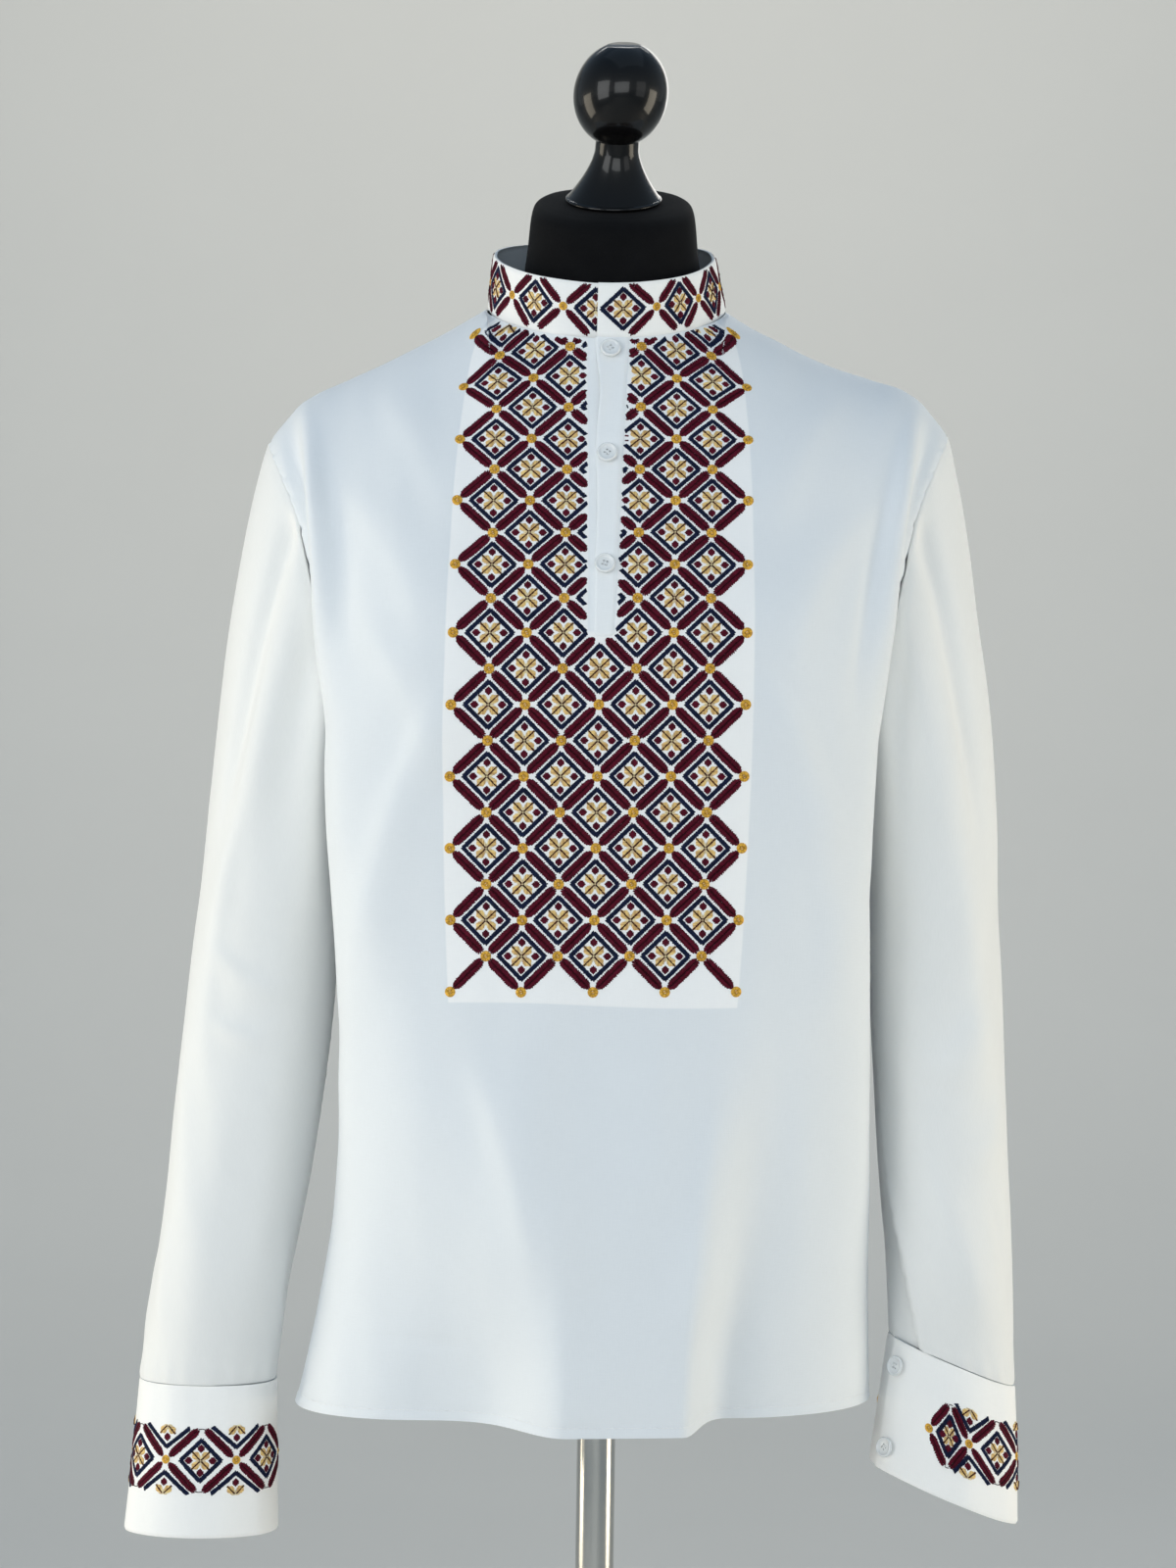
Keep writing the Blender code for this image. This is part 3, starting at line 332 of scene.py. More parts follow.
# %% Curves and sections
def ramp(value, low, high):
    """0 up to low, 1 from high, and a soft S between."""
    part = np.clip((value - low) / (high - low), 0.0, 1.0)
    return part * part * (3.0 - 2.0 * part)


def bump(offset, width):
    """A soft bump, 1 at no offset."""
    return np.exp(-((offset / width) ** 2))


def eased(count):
    """Shares from 0 to 1 that crowd at both ends."""
    return 0.5 - 0.5 * np.cos(np.linspace(0, pi, count + 1))


def hermite(start, end, start_pull, end_pull, part):
    """A cubic from start to end, leaving and arriving along the two pulls."""
    square = part * part
    cube = square * part
    ends = (2 * cube - 3 * square + 1) * start + (3 * square - 2 * cube) * end
    return ends + (cube - 2 * square + part) * start_pull + (cube - square) * end_pull


def through(keys, values, at):
    """A smooth curve through (keys, values), read at the given keys."""
    keys = np.asarray(keys, float)
    values = np.asarray(values, float)
    slopes = np.gradient(values, keys)
    at = np.clip(at, keys[0], keys[-1])
    index = np.clip(np.searchsorted(keys, at, side="right") - 1, 0, len(keys) - 2)
    width = keys[index + 1] - keys[index]
    part = (at - keys[index]) / width
    return hermite(values[index], values[index + 1], slopes[index] * width, slopes[index + 1] * width, part)


def read_table(rows, z):
    """All the columns of a table at one height. Its first column is the height."""
    columns = np.array(sorted(rows)).T
    return type(rows[0])(*(float(through(columns[0], column, z)) for column in columns))


def rounded_rectangle(turn, power):
    """Points round a unit circle that is drawn out towards its corners."""
    return [np.sign(wave) * np.abs(wave) ** power for wave in (np.cos(turn), np.sin(turn))]


def unit(vectors):
    return vectors / np.maximum(np.linalg.norm(vectors, axis=-1, keepdims=True), 1e-12)


def travelled(points):
    """Distance along a line of points, from its first one."""
    return np.concatenate([[0], np.cumsum(np.linalg.norm(np.diff(points, axis=0), axis=1))])


def along_rows(grid):
    return np.stack([travelled(row) for row in grid])


def down_columns(grid):
    return along_rows(grid.transpose(1, 0, 2)).T


def read_line(at, keys, points):
    """Points of a line at the given keys."""
    return np.stack([np.interp(at, keys, column) for column in points.T], axis=1)


def grid_normals(grid, inside):
    """Unit normals of a grid of points, turned away from the inside points."""
    normals = unit(np.cross(np.gradient(grid, axis=0), np.gradient(grid, axis=1)))
    return -normals if np.sum(normals * (grid - inside)) < 0 else normals


def half_section(z, side, facing):
    """Half of a front (facing -1) or back (facing 1) section, evenly spaced from its middle to its edge."""
    row = read_table(FRONT_SECTIONS if facing < 0 else BACK_SECTIONS, z)
    front = read_table(FRONT_SECTIONS, min(z, FRONT_SECTIONS[-1].z))

    def profile(shape):
        angles = np.linspace(0, radians(shape.edge), HALF_SAMPLES * 2)
        y = shape.depth * np.maximum(np.cos(angles), 0) ** (2 / shape.square)
        x = np.sin(angles) ** (2 / shape.square) * (1 - front.dent * bump(y, DENT_REACH))
        return x, y

    x, y = profile(row)
    x = x * (front.left if side < 0 else front.right) / profile(front)[0].max()
    line = np.stack([x, y], axis=1)
    length = travelled(line)
    x, y = read_line(np.linspace(0, length[-1], HALF_SAMPLES), length, line).T
    part = np.linspace(0, 1, HALF_SAMPLES)
    height = row.z + (row.edge_z - row.z) * part**2 + row.tilt * side * x
    return length[-1], np.stack([side * x, facing * y, height], axis=1)


def section(z, facing):
    """A whole section from the left edge to the right one, with its two half lengths."""
    left_length, left = half_section(z, -1, facing)
    right_length, right = half_section(z, 1, facing)
    return left_length, right_length, np.concatenate([left[::-1], right[1:]])


def neck_seam(angle):
    """The neck seam at an angle from the front's middle, positive towards +X."""
    ahead = np.cos(angle) > 0
    middle_y = SHOULDER_Y[0]
    reach = np.where(ahead, NECK_FRONT + middle_y, NECK_BACK - middle_y)
    x = NECK_HALF_WIDTH * np.sin(angle)
    y = middle_y - reach * np.cos(angle)
    z = NECK_SIDE_Z - NECK_TILT * np.cos(angle) - NECK_DIP * np.cos(angle) ** 2
    return np.stack([x, y, z], axis=-1)


def top_edge(side, facing):
    """Half of the top edge of a panel, neckline then shoulder seam, and the way the cloth arrives there."""
    fine = np.linspace(SHOULDER_X[0], SHOULDER_X[-1], HALF_SAMPLES)
    lines = [through(SHOULDER_X, values, fine) for values in (SHOULDER_Y, SHOULDER_Z)]
    shoulder = np.stack([fine, *lines], axis=1)
    along = travelled(shoulder)
    total = NECK_CLOTH + along[-1]
    cloth = np.linspace(0, total, HALF_SAMPLES)

    angles = np.linspace(0, pi / 2, HALF_SAMPLES)
    across = NECK_CLOTH * (np.sin(angles) + NECK_CROWDING * (angles / (pi / 2) - np.sin(angles)))
    angle = np.interp(cloth, across, angles)
    neck = neck_seam(angle if facing < 0 else pi - angle)
    beyond = read_line(cloth - NECK_CLOTH, along, shoulder)
    points = np.where((cloth < NECK_CLOTH)[:, None], neck, beyond)

    neck_slope = NECK_SLOPE_FRONT if facing < 0 else NECK_SLOPE_BACK
    slope = neck_slope + (SHOULDER_SLOPE - neck_slope) * (1 - np.cos(angle)) ** SHOULDER_SLOPE_CURVE
    arrive = np.stack([np.zeros_like(slope), -facing * np.sin(slope), np.cos(slope)], axis=1)
    reach = SHOULDER_REACH_LEFT if side < 0 else SHOULDER_REACH_RIGHT
    outward = ramp(points[:, 0], NECK_HALF_WIDTH, SHOULDER_X[-1])
    points = points * [side, 1, 1]
    points[:, 0] *= 1 + (reach - 1) * outward
    points[:, 1] += facing * GAP / 2
    points[:, 2] += SHOULDER_TILT * points[:, 0] * outward
    return total, points, arrive


def grain_shift(points, folds, facing):
    """Moves points out and down where a broad fold of the cloth bulges."""
    moved = points.copy()
    for fold in folds:
        height = 1 - ramp(points[..., 2], fold.low, fold.high)
        off = points[..., 0] - fold.x - fold.drift * (points[..., 2] - fold.low)
        soft = np.where(off < 0, fold.left_soft, fold.right_soft) * (1 + FOLD_SPREAD * (1 - height))
        shape = bump(np.maximum(np.abs(off) - fold.flat, 0), soft) * height
        moved[..., 1] += facing * fold.depth * shape
        moved[..., 2] -= fold.drop * shape
    return moved


def settle(points):
    """The shirt's place on the form: a little to the left, more so lower down."""
    moved = points.copy()
    moved[..., 0] += SHIFT_TOP + SHIFT_PER_METRE * (points[..., 2] - SHIFT_LEVEL)
    return moved


def panel_rows(facing, heights, cap_parts):
    """Dense rows of a panel from the hem up: their cloth widths each side of the middle, and their points."""
    folds = FRONT_GRAIN_FOLDS if facing < 0 else BACK_GRAIN_FOLDS
    rows = [section(z, facing) for z in heights]
    left_length, right_length, last = rows[-1]
    leave = unit(last - section(heights[-1] - SLOPE_STEP, facing)[2])
    total, left, arrive_left = top_edge(-1, facing)
    _, right, arrive_right = top_edge(1, facing)
    top = np.concatenate([left[::-1], right[1:]])
    arrive = np.concatenate([arrive_left[::-1], arrive_right[1:]])
    reach = np.linalg.norm(top - last, axis=1, keepdims=True)
    for part in cap_parts:
        points = hermite(last, top, leave * reach, arrive * reach * CAP_FULLNESS, part)
        widths = [length + (total - length) * part for length in (left_length, right_length)]
        rows.append((*widths, points))
    return [(left, right, settle(grain_shift(points, folds, facing))) for left, right, points in rows]


def panel_grid(rows, cloth_columns):
    """Reads each dense row at its columns' distances from the middle line."""
    grid = []
    for (left, right, points), columns in zip(rows, cloth_columns):
        left_side = np.linspace(-left, 0, HALF_SAMPLES)
        dense = np.concatenate([left_side, np.linspace(0, right, HALF_SAMPLES)[1:]])
        grid.append(read_line(columns, dense, points))
    return np.array(grid)


def middle_line(rows):
    return np.array([points[HALF_SAMPLES - 1] for _, _, points in rows])


def middle_distance(rows):
    """Distance down the cloth from the neck along the middle line, for each row."""
    return travelled(middle_line(rows)[::-1])[::-1]


# %% [markdown]
# ## Reading the panels closely
#
# A crease a centimetre wide needs a point every few millimetres. The rows crowd at the hem, where the cloth
# is turned up twice and sewn, and the columns crowd at the seams, where it dips. The front keeps a slot down
# from the neck for the placket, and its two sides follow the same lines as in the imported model.

# %% Rows and columns of the panels
Counts = namedtuple("Counts", "lower_rows upper_rows cap_rows by_neck beyond")
FRONT_COUNTS = Counts(96, 44, 48, 26, 50)
BACK_COUNTS = Counts(70, 34, 34, 18, 36)
HEM_ROWS = (0.0012, 0.0050, 0.0062, 0.0074, 0.0086)
EDGE_COLUMNS = (0.0050, 0.0028, 0.0014, 0.0)


def row_heights(sections, counts):
    """Heights from the hem to the last section, crowded at the hem."""
    first = sections[0].z
    near_hem = [first] + [first + step for step in HEM_ROWS]
    below = np.linspace(near_hem[-1], ARMPIT_Z, counts.lower_rows + 1)[1:]
    above = np.linspace(ARMPIT_Z, sections[-1].z, counts.upper_rows + 1)[1:]
    return np.concatenate([near_hem, below, above])


def slot_sides(distance):
    """Cloth distances of the placket slot's two sides from the middle line."""
    part = min(distance / SLOT_LENGTH, 1.0)
    return tuple(top + (end - top) * part for top, end in zip(SLOT_TOP, SLOT_END))


def half_columns(first, last, counts):
    """Cloth distances from the first column to the edge, crowded there for the seam."""
    by_neck = np.linspace(first, NECK_CLOTH, counts.by_neck + 1)
    edge = last - np.array(EDGE_COLUMNS)
    beyond = np.linspace(NECK_CLOTH, edge[0], counts.beyond + 1)[1:]
    return np.concatenate([by_neck, beyond, edge[1:]])


Panel = namedtuple("Panel", "rows distances columns grid armpit slot_row")


def finished_panel(facing, rows, columns, counts, slot_row):
    grid = panel_grid(rows, columns)
    armpit = len(HEM_ROWS) + counts.lower_rows
    grid[: armpit + 1, [0, -1], 1] += facing * GAP / 2
    return Panel(rows, middle_distance(rows), np.array(columns), grid, armpit, slot_row)


def front_panel():
    heights = row_heights(FRONT_SECTIONS, FRONT_COUNTS)
    cap_parts = np.linspace(0, 1, FRONT_COUNTS.cap_rows + 1)[1:]
    distances = middle_distance(panel_rows(-1, heights, cap_parts))[: len(heights)]
    end = np.interp(SLOT_LENGTH, distances[::-1], heights[::-1])
    slot_row = int(np.argmin(np.abs(heights - end)))
    heights[slot_row] = end
    rows = panel_rows(-1, heights, cap_parts)
    columns = []
    for (left, right, _), distance in zip(rows, middle_distance(rows)):
        slot_left, slot_right = slot_sides(distance)
        left_side = -half_columns(-slot_left, left, FRONT_COUNTS)[::-1]
        columns.append(np.concatenate([left_side, half_columns(slot_right, right, FRONT_COUNTS)]))
    return finished_panel(-1, rows, columns, FRONT_COUNTS, slot_row)


def back_panel():
    cap_parts = np.linspace(0, 1, BACK_COUNTS.cap_rows + 1)[1:]
    rows = panel_rows(1, row_heights(BACK_SECTIONS, BACK_COUNTS), cap_parts)
    columns = []
    for left, right, _ in rows:
        left_side = -half_columns(0, left, BACK_COUNTS)[:0:-1]
        columns.append(np.concatenate([left_side, half_columns(0, right, BACK_COUNTS)]))
    return finished_panel(1, rows, columns, BACK_COUNTS, 0)


front = front_panel()
back = back_panel()
print("front", front.grid.shape, "back", back.grid.shape, "front length", round(float(front.distances[0]), 4))


# %% [markdown]
# ## Cloth coordinates
#
# Embroidery is counted along the threads, so each point of the front needs to know how far it lies from the
# middle line and how far below the neck, measured on the cloth. Level lines are followed outwards from the
# middle to measure the first, and the middle line itself measures the second. The chart drops a little
# towards the shoulders at the top, because the cloth there hangs from the shoulder seams.

# %% Cloth coordinates of the front
LEVELS = 260
CHART_DROOP = 0.0065
CHART_DROOP_AT = 0.068
CHART_DROOP_LEVELS = (1.35, 1.42)


def front_coordinates(panel):
    """For each point of the front's grid: cloth distance from the middle line and down from the neck."""
    x, _, z = (panel.grid[..., i] for i in range(3))
    every = range(z.shape[1])
    levels = np.linspace(z.min(), z.max(), LEVELS)
    level_lines = np.stack([read_line(levels, z[:, c], panel.grid[:, c, :2]) for c in every], axis=1)
    level_x = level_lines[..., 0]
    along = along_rows(level_lines)
    half = z.shape[1] // 2
    middle = middle_line(panel.rows)
    middle_x = np.interp(levels, middle[:, 2], middle[:, 0])
    share = (middle_x - level_x[:, half - 1]) / (level_x[:, half] - level_x[:, half - 1])
    along -= (along[:, half - 1] + share * (along[:, half] - along[:, half - 1]))[:, None]
    across = np.stack([np.interp(z[:, c], levels, along[:, c]) for c in every], axis=1)
    off = x - np.interp(z, levels, middle_x)
    drop = CHART_DROOP * (off / CHART_DROOP_AT) ** 2 * ramp(z, *CHART_DROOP_LEVELS)
    drop = np.minimum(drop, CHART_DROOP * 2)
    beyond = np.maximum(z + drop - middle[-1, 2], 0)
    return across, np.interp(z + drop, middle[:, 2], panel.distances) - beyond


across, down = front_coordinates(front)
print("front chart", across.min().round(3), across.max().round(3), down.min().round(3), down.max().round(3))


# %% [markdown]
# ## Creases
#
# White cloth shows itself by its creases. Each one here is listed in the cloth's own sizes: where it
# starts and ends, how far it bows, how wide and how deep it is. Its two ends fade out, and one side may be
# steeper than the other, as where cloth rolls over. A faint waviness under them keeps the calm parts from
# looking like moulded plastic. Noise alone would give lumps with no direction, and cloth creases always point
# at what pulls them: a shoulder, an armpit, a button.

# %% Crease tools
Crease = namedtuple("Crease", "x0 z0 x1 z1 bow width depth skew")
RIPPLES = ((0.075, 0.00075), (0.041, 0.00035), (0.023, 0.00012))
RIPPLE_WAVES = 6
RIPPLE_STRETCH = 2.6
RIPPLE_GAIN = 1.6
RIPPLE_TURN = 0.55
RIPPLE_SIZES = (0.8, 1.3)
RIPPLE_SWAYS = (1.5, 3.0)
END_FADE = 0.34
END_SPILL = 0.05
START_WIDTH = 0.75
WIDTH_GAIN = 0.5


def crease_height(x, z, creases):
    """Height of all the creases at each point. Positive stands out of the cloth."""
    height = np.zeros_like(x)
    for crease in creases:
        run = np.array([crease.x1 - crease.x0, crease.z1 - crease.z0])
        length = np.hypot(*run)
        run = run / length
        part = ((x - crease.x0) * run[0] + (z - crease.z0) * run[1]) / length
        off = -(x - crease.x0) * run[1] + (z - crease.z0) * run[0]
        off = off - crease.bow * 4 * part * (1 - part)
        width = crease.width * np.where(off > 0, 1 + crease.skew, 1 - crease.skew)
        width = width * (START_WIDTH + WIDTH_GAIN * np.clip(part, 0, 1))
        fade = ramp(part, -END_SPILL, END_FADE) * (1 - ramp(part, 1 - END_FADE, 1 + END_SPILL))
        height += crease.depth * bump(off, width) * fade
    return height


def ripple(x, z, seed):
    """A faint waviness, longer down the cloth than across it."""
    chance = np.random.default_rng(seed)
    height = np.zeros_like(x)
    for size, depth in RIPPLES:
        for _ in range(RIPPLE_WAVES):
            turn = chance.normal(0, RIPPLE_TURN)
            phase = chance.uniform(0, 2 * pi)
            stretch = size * chance.uniform(*RIPPLE_SIZES)
            wave = (x * cos(turn) + z / RIPPLE_STRETCH * sin(turn)) / stretch
            sway = chance.uniform(*RIPPLE_SWAYS) * np.sin(z / (size * 4) + phase)
            height += depth / RIPPLE_WAVES * RIPPLE_GAIN * np.sin(2 * pi * wave + phase + sway)
    return height


def seam_pucker(off, along, depth, width, wave, seed):
    """The cloth beside a line of stitches: it dips at the line and gathers in short uneven waves along it."""
    chance = np.random.default_rng(seed)
    phases = chance.uniform(0, 2 * pi, 3)
    gather = sum(np.sin(2 * pi * along / (wave * k) + p) for k, p in zip((1.0, 1.7, 0.61), phases)) / 3
    return depth * bump(off, width) * (-0.6 + 0.8 * gather)


def raised(grid, normals, height):
    return grid + normals * height[..., None]


# %% Creases of the front and back
FRONT_CREASES = table(
    Crease,
    (-0.198, 1.384, -0.176, 1.170, 0.006, 0.0085, 0.0100, 0.10),
    (-0.184, 1.352, -0.168, 1.190, 0.004, 0.0070, -0.0046, 0.30),
    (-0.209, 1.380, -0.187, 1.160, 0.005, 0.0075, -0.0095, 0.00),
    (-0.178, 1.240, -0.166, 1.080, 0.003, 0.0100, 0.0030, 0.20),
    (0.197, 1.384, 0.168, 1.170, -0.006, 0.0086, 0.0098, 0.10),
    (0.183, 1.350, 0.155, 1.170, -0.004, 0.0075, -0.0036, 0.30),
    (0.207, 1.380, 0.181, 1.150, -0.005, 0.0078, -0.0095, 0.00),
    (0.176, 1.230, 0.164, 1.070, -0.003, 0.0100, 0.0028, 0.20),
    (-0.150, 1.395, -0.092, 1.285, 0.006, 0.018, 0.0020, 0.30),
    (-0.172, 1.330, -0.106, 1.210, 0.010, 0.020, 0.0032, 0.30),
    (-0.150, 1.240, -0.100, 1.130, 0.006, 0.018, 0.0034, 0.30),
    (0.150, 1.392, 0.098, 1.290, -0.006, 0.016, 0.0018, -0.30),
    (0.168, 1.320, 0.108, 1.200, -0.010, 0.018, 0.0038, -0.30),
    (-0.100, 1.198, -0.158, 0.972, -0.012, 0.016, 0.0048, 0.35),
    (-0.158, 0.985, -0.176, 0.850, -0.006, 0.016, 0.0022, 0.25),
    (0.093, 1.208, 0.146, 1.070, 0.010, 0.015, 0.0042, -0.35),
    (0.134, 1.100, 0.148, 0.980, 0.006, 0.014, 0.0022, -0.25),
    (-0.140, 1.110, -0.120, 0.930, 0.008, 0.020, -0.0016, 0.00),
    (-0.082, 0.975, -0.030, 0.815, 0.004, 0.024, 0.0046, 0.45),
    (-0.110, 0.930, -0.092, 0.790, 0.004, 0.020, -0.0014, 0.00),
    (0.074, 0.955, 0.062, 0.790, 0.000, 0.018, 0.0038, 0.40),
    (0.110, 0.980, 0.098, 0.800, -0.006, 0.018, -0.0016, 0.00),
    (-0.020, 0.960, -0.004, 0.770, 0.003, 0.022, -0.0012, 0.00),
    (0.030, 0.990, 0.026, 0.860, 0.003, 0.016, 0.0012, 0.00),
    (-0.152, 0.789, -0.074, 0.787, 0.001, 0.0030, -0.0008, 0.00),
    (-0.170, 1.120, -0.150, 1.030, 0.004, 0.012, 0.0016, 0.10),
    (0.168, 1.110, 0.150, 1.020, -0.004, 0.012, 0.0014, 0.10),
)
BACK_CREASES = table(
    Crease,
    (-0.190, 1.330, -0.168, 1.180, 0.006, 0.015, 0.0060, -0.20),
    (0.190, 1.330, 0.166, 1.170, -0.006, 0.016, 0.0055, 0.20),
    (-0.150, 1.380, -0.080, 1.240, 0.008, 0.018, 0.0022, 0.20),
    (0.146, 1.380, 0.078, 1.230, -0.008, 0.017, 0.0020, -0.20),
    (-0.160, 1.250, -0.090, 1.080, 0.010, 0.018, 0.0026, 0.20),
    (0.158, 1.240, 0.084, 1.060, -0.012, 0.018, 0.0026, -0.20),
    (-0.040, 1.340, -0.052, 1.120, 0.004, 0.020, -0.0012, 0.00),
    (0.030, 1.300, 0.044, 1.060, 0.004, 0.022, 0.0014, 0.00),
    (-0.070, 1.110, -0.040, 0.870, 0.008, 0.020, 0.0030, 0.25),
    (0.060, 1.090, 0.030, 0.830, -0.008, 0.022, 0.0030, -0.25),
    (-0.130, 1.050, -0.120, 0.820, 0.006, 0.018, 0.0024, 0.20),
    (0.128, 1.030, 0.124, 0.800, -0.006, 0.018, 0.0022, 0.20),
    (-0.012, 1.010, -0.002, 0.800, 0.002, 0.018, -0.0016, 0.00),
    (-0.160, 0.950, -0.150, 0.790, 0.004, 0.016, -0.0016, 0.00),
)
SEAM_DIP = 0.0011
SEAM_DIP_WIDTH = 0.0034
SIDE_SEAM_WAVE = 0.013
TOP_SEAM_WAVE = 0.014
CAP_SEAM_WAVE = 0.012
HEM_WAVE = 0.009
SEAM_CALM = 0.012
HEM_CALM = 0.010
CALM_SHARE = 0.15
HEM_WIDTH = 0.0062
HEM_STEP = 0.0004
HEM_STEP_SOFTNESS = 0.0006
HEM_DIP = 0.0005
HEM_DIP_WIDTH = 0.0026


def calmed(height, calm):
    """Creases lie flatter at a seam, which holds the cloth."""
    return height * (CALM_SHARE + (1 - CALM_SHARE) * calm)


def dress_panel(panel, creases, seed):
    """The panel's grid with its creases, its hem's turned edge and its dips along the seams."""
    x = panel.grid[..., 0]
    z = panel.grid[..., 2]
    side = along_rows(panel.grid)
    from_edge = np.minimum(side, side[:, -1:] - side)
    up = down_columns(panel.grid)
    from_top = up[-1:] - up
    calm = ramp(from_edge, 0.0, SEAM_CALM) * ramp(from_top, 0.0, SEAM_CALM) * ramp(up, 0.0, HEM_CALM)
    height = calmed(crease_height(x, z, creases) + ripple(x, z, seed), calm)
    height += seam_pucker(from_edge, up, SEAM_DIP, SEAM_DIP_WIDTH, SIDE_SEAM_WAVE, seed + 1)
    top_seam = seam_pucker(from_top, side, SEAM_DIP, SEAM_DIP_WIDTH, TOP_SEAM_WAVE, seed + 2)
    height += top_seam * (np.abs(x) > NECK_HALF_WIDTH)
    height += HEM_STEP * (1 - ramp(up, HEM_WIDTH - HEM_STEP_SOFTNESS, HEM_WIDTH + HEM_STEP_SOFTNESS))
    height += seam_pucker(up - HEM_WIDTH, side, HEM_DIP, HEM_DIP_WIDTH, HEM_WAVE, seed + 3)
    grid = raised(panel.grid, grid_normals(panel.grid, panel.grid * [0, 0, 1]), height)
    return grid, grid_normals(grid, grid * [0, 0, 1])


front_grid, front_normals = dress_panel(front, FRONT_CREASES, 11)
back_grid, back_normals = dress_panel(back, BACK_CREASES, 12)
print("front creases", len(FRONT_CREASES), "back creases", len(BACK_CREASES))


# %% [markdown]
# ## Making cloth solid
#
# Poplin for a shirt is about a fifth of a millimetre thick, but a mesh that thin would cut through itself at
# the seams, so each piece is a closed shell a little under a millimetre: its outer face, the same face moved
# in along the normals, and a rim round every open edge. The cloth coordinates go onto it as a UV map in
# metres, so that a weave drawn at its true size follows the threads.

# %% Shell maker
CLOTH = 0.0009
DOUBLE_CLOTH = 0.0016


def set_map(mesh, coordinates):
    """The cloth coordinates of each vertex as a UV map."""
    corner_vertices = np.empty(len(mesh.loops), np.int32)
    mesh.loops.foreach_get("vertex_index", corner_vertices)
    layer = mesh.uv_layers.new(name="cloth")
    layer.data.foreach_set("uv", np.ascontiguousarray(coordinates[corner_vertices], np.float32).ravel())


def set_points(mesh, name, kind, values):
    """A named attribute with a value for each vertex."""
    attribute = mesh.attributes.new(name, kind, "POINT")
    key = "vector" if kind == "FLOAT_VECTOR" else "value"
    attribute.data.foreach_set(key, np.ascontiguousarray(values, np.float32).ravel())


def grid_faces(rows, columns, cells=None):
    """Corner numbers of the cells of a grid of vertices."""
    r, c = np.nonzero(np.ones((rows - 1, columns - 1), bool) if cells is None else cells)
    first = r * columns + c
    return np.stack([first, first + 1, first + columns + 1, first + columns], axis=1)


def rim_faces(faces, inner_start):
    """A face across the thickness at every edge that only one outer face has."""
    edges = np.concatenate([faces[:, [k, (k + 1) % 4]] for k in range(4)])
    _, index, count = np.unique(np.sort(edges, axis=1), axis=0, return_index=True, return_counts=True)
    open_edges = edges[index[count == 1]]
    return np.concatenate([open_edges[:, ::-1], open_edges + inner_start], axis=1)


def build_mesh(name, points, faces):
    """A mesh with its unused vertices left out, and the old numbers of those kept."""
    used = np.unique(faces)
    renumber = np.zeros(len(points), int)
    renumber[used] = np.arange(len(used))
    mesh = bpy.data.meshes.new(name)
    mesh.from_pydata(points[used].tolist(), [], renumber[faces].tolist())
    mesh.shade_smooth()
    return mesh, used


def flat_places(chart):
    return np.stack(chart, axis=-1).reshape(-1, 2)


def shell(name, outer, normals, thickness, chart, cells=None):
    """A closed cloth piece. chart holds the cloth coordinates of each grid point in metres."""
    points = np.concatenate([outer.reshape(-1, 3), (outer - normals * thickness).reshape(-1, 3)])
    faces = grid_faces(*outer.shape[:2], cells)
    outward = np.cross(*(points[faces[:, k]] - points[faces[:, 0]] for k in (1, 2)))
    if np.sum(outward * normals.reshape(-1, 3)[faces[:, 0]]) < 0:
        faces = faces[:, ::-1]
    count = len(points) // 2
    every = np.concatenate([faces, faces[:, ::-1] + count, rim_faces(faces, count)])
    mesh, used = build_mesh(name, points, every)
    set_map(mesh, np.tile(flat_places(chart), (2, 1))[used])
    set_points(mesh, "inside", "FLOAT", np.repeat([0.0, 1.0], count)[used])
    mesh.set_sharp_from_angle(angle=radians(60))
    return new_object(name, mesh)


def chart_surface(name, outer, normals, chart, cells=None):
    """The bare outer face with its cloth coordinates, for laying embroidery on. It is deleted afterwards."""
    mesh, used = build_mesh(name, outer.reshape(-1, 3), grid_faces(*outer.shape[:2], cells))
    set_map(mesh, flat_places(chart)[used])
    set_points(mesh, "facing", "FLOAT_VECTOR", normals.reshape(-1, 3)[used])
    return new_object(name, mesh)


def spread_down(values, grid):
    """One value for each row of a grid, repeated along the row."""
    return np.broadcast_to(values[:, None], grid.shape[:2])


# %% Front and back
slot_cells = np.ones((front_grid.shape[0] - 1, front_grid.shape[1] - 1), bool)
slot_column = front_grid.shape[1] // 2 - 1
slot_cells[front.slot_row :, slot_column] = False
front_sheet = (front_grid, front_normals)
back_sheet = (back_grid, back_normals)
back_chart = (back.columns, spread_down(back.distances, back.columns))
shirt_front = shell("shirt_front_cloth", *front_sheet, CLOTH, (across, down), slot_cells)
shirt_back = shell("shirt_back_cloth", *back_sheet, CLOTH, back_chart)
front_surface = chart_surface("front_chart", *front_sheet, (across, down), slot_cells)
back_surface = chart_surface("back_chart", *back_sheet, back_chart)
print("front faces", len(shirt_front.data.polygons), "back faces", len(shirt_back.data.polygons))


# %% [markdown]
# ## Sleeves
#
# A sleeve is a tube that starts on the armhole's curve and ends at the cuff. Where it hangs bent, its cloth
# breaks into slanting creases at the elbow and gathers in short ones above the cuff. The sleeve's end is open
# for a hand's length at the back, and one edge of that vent laps over the other.

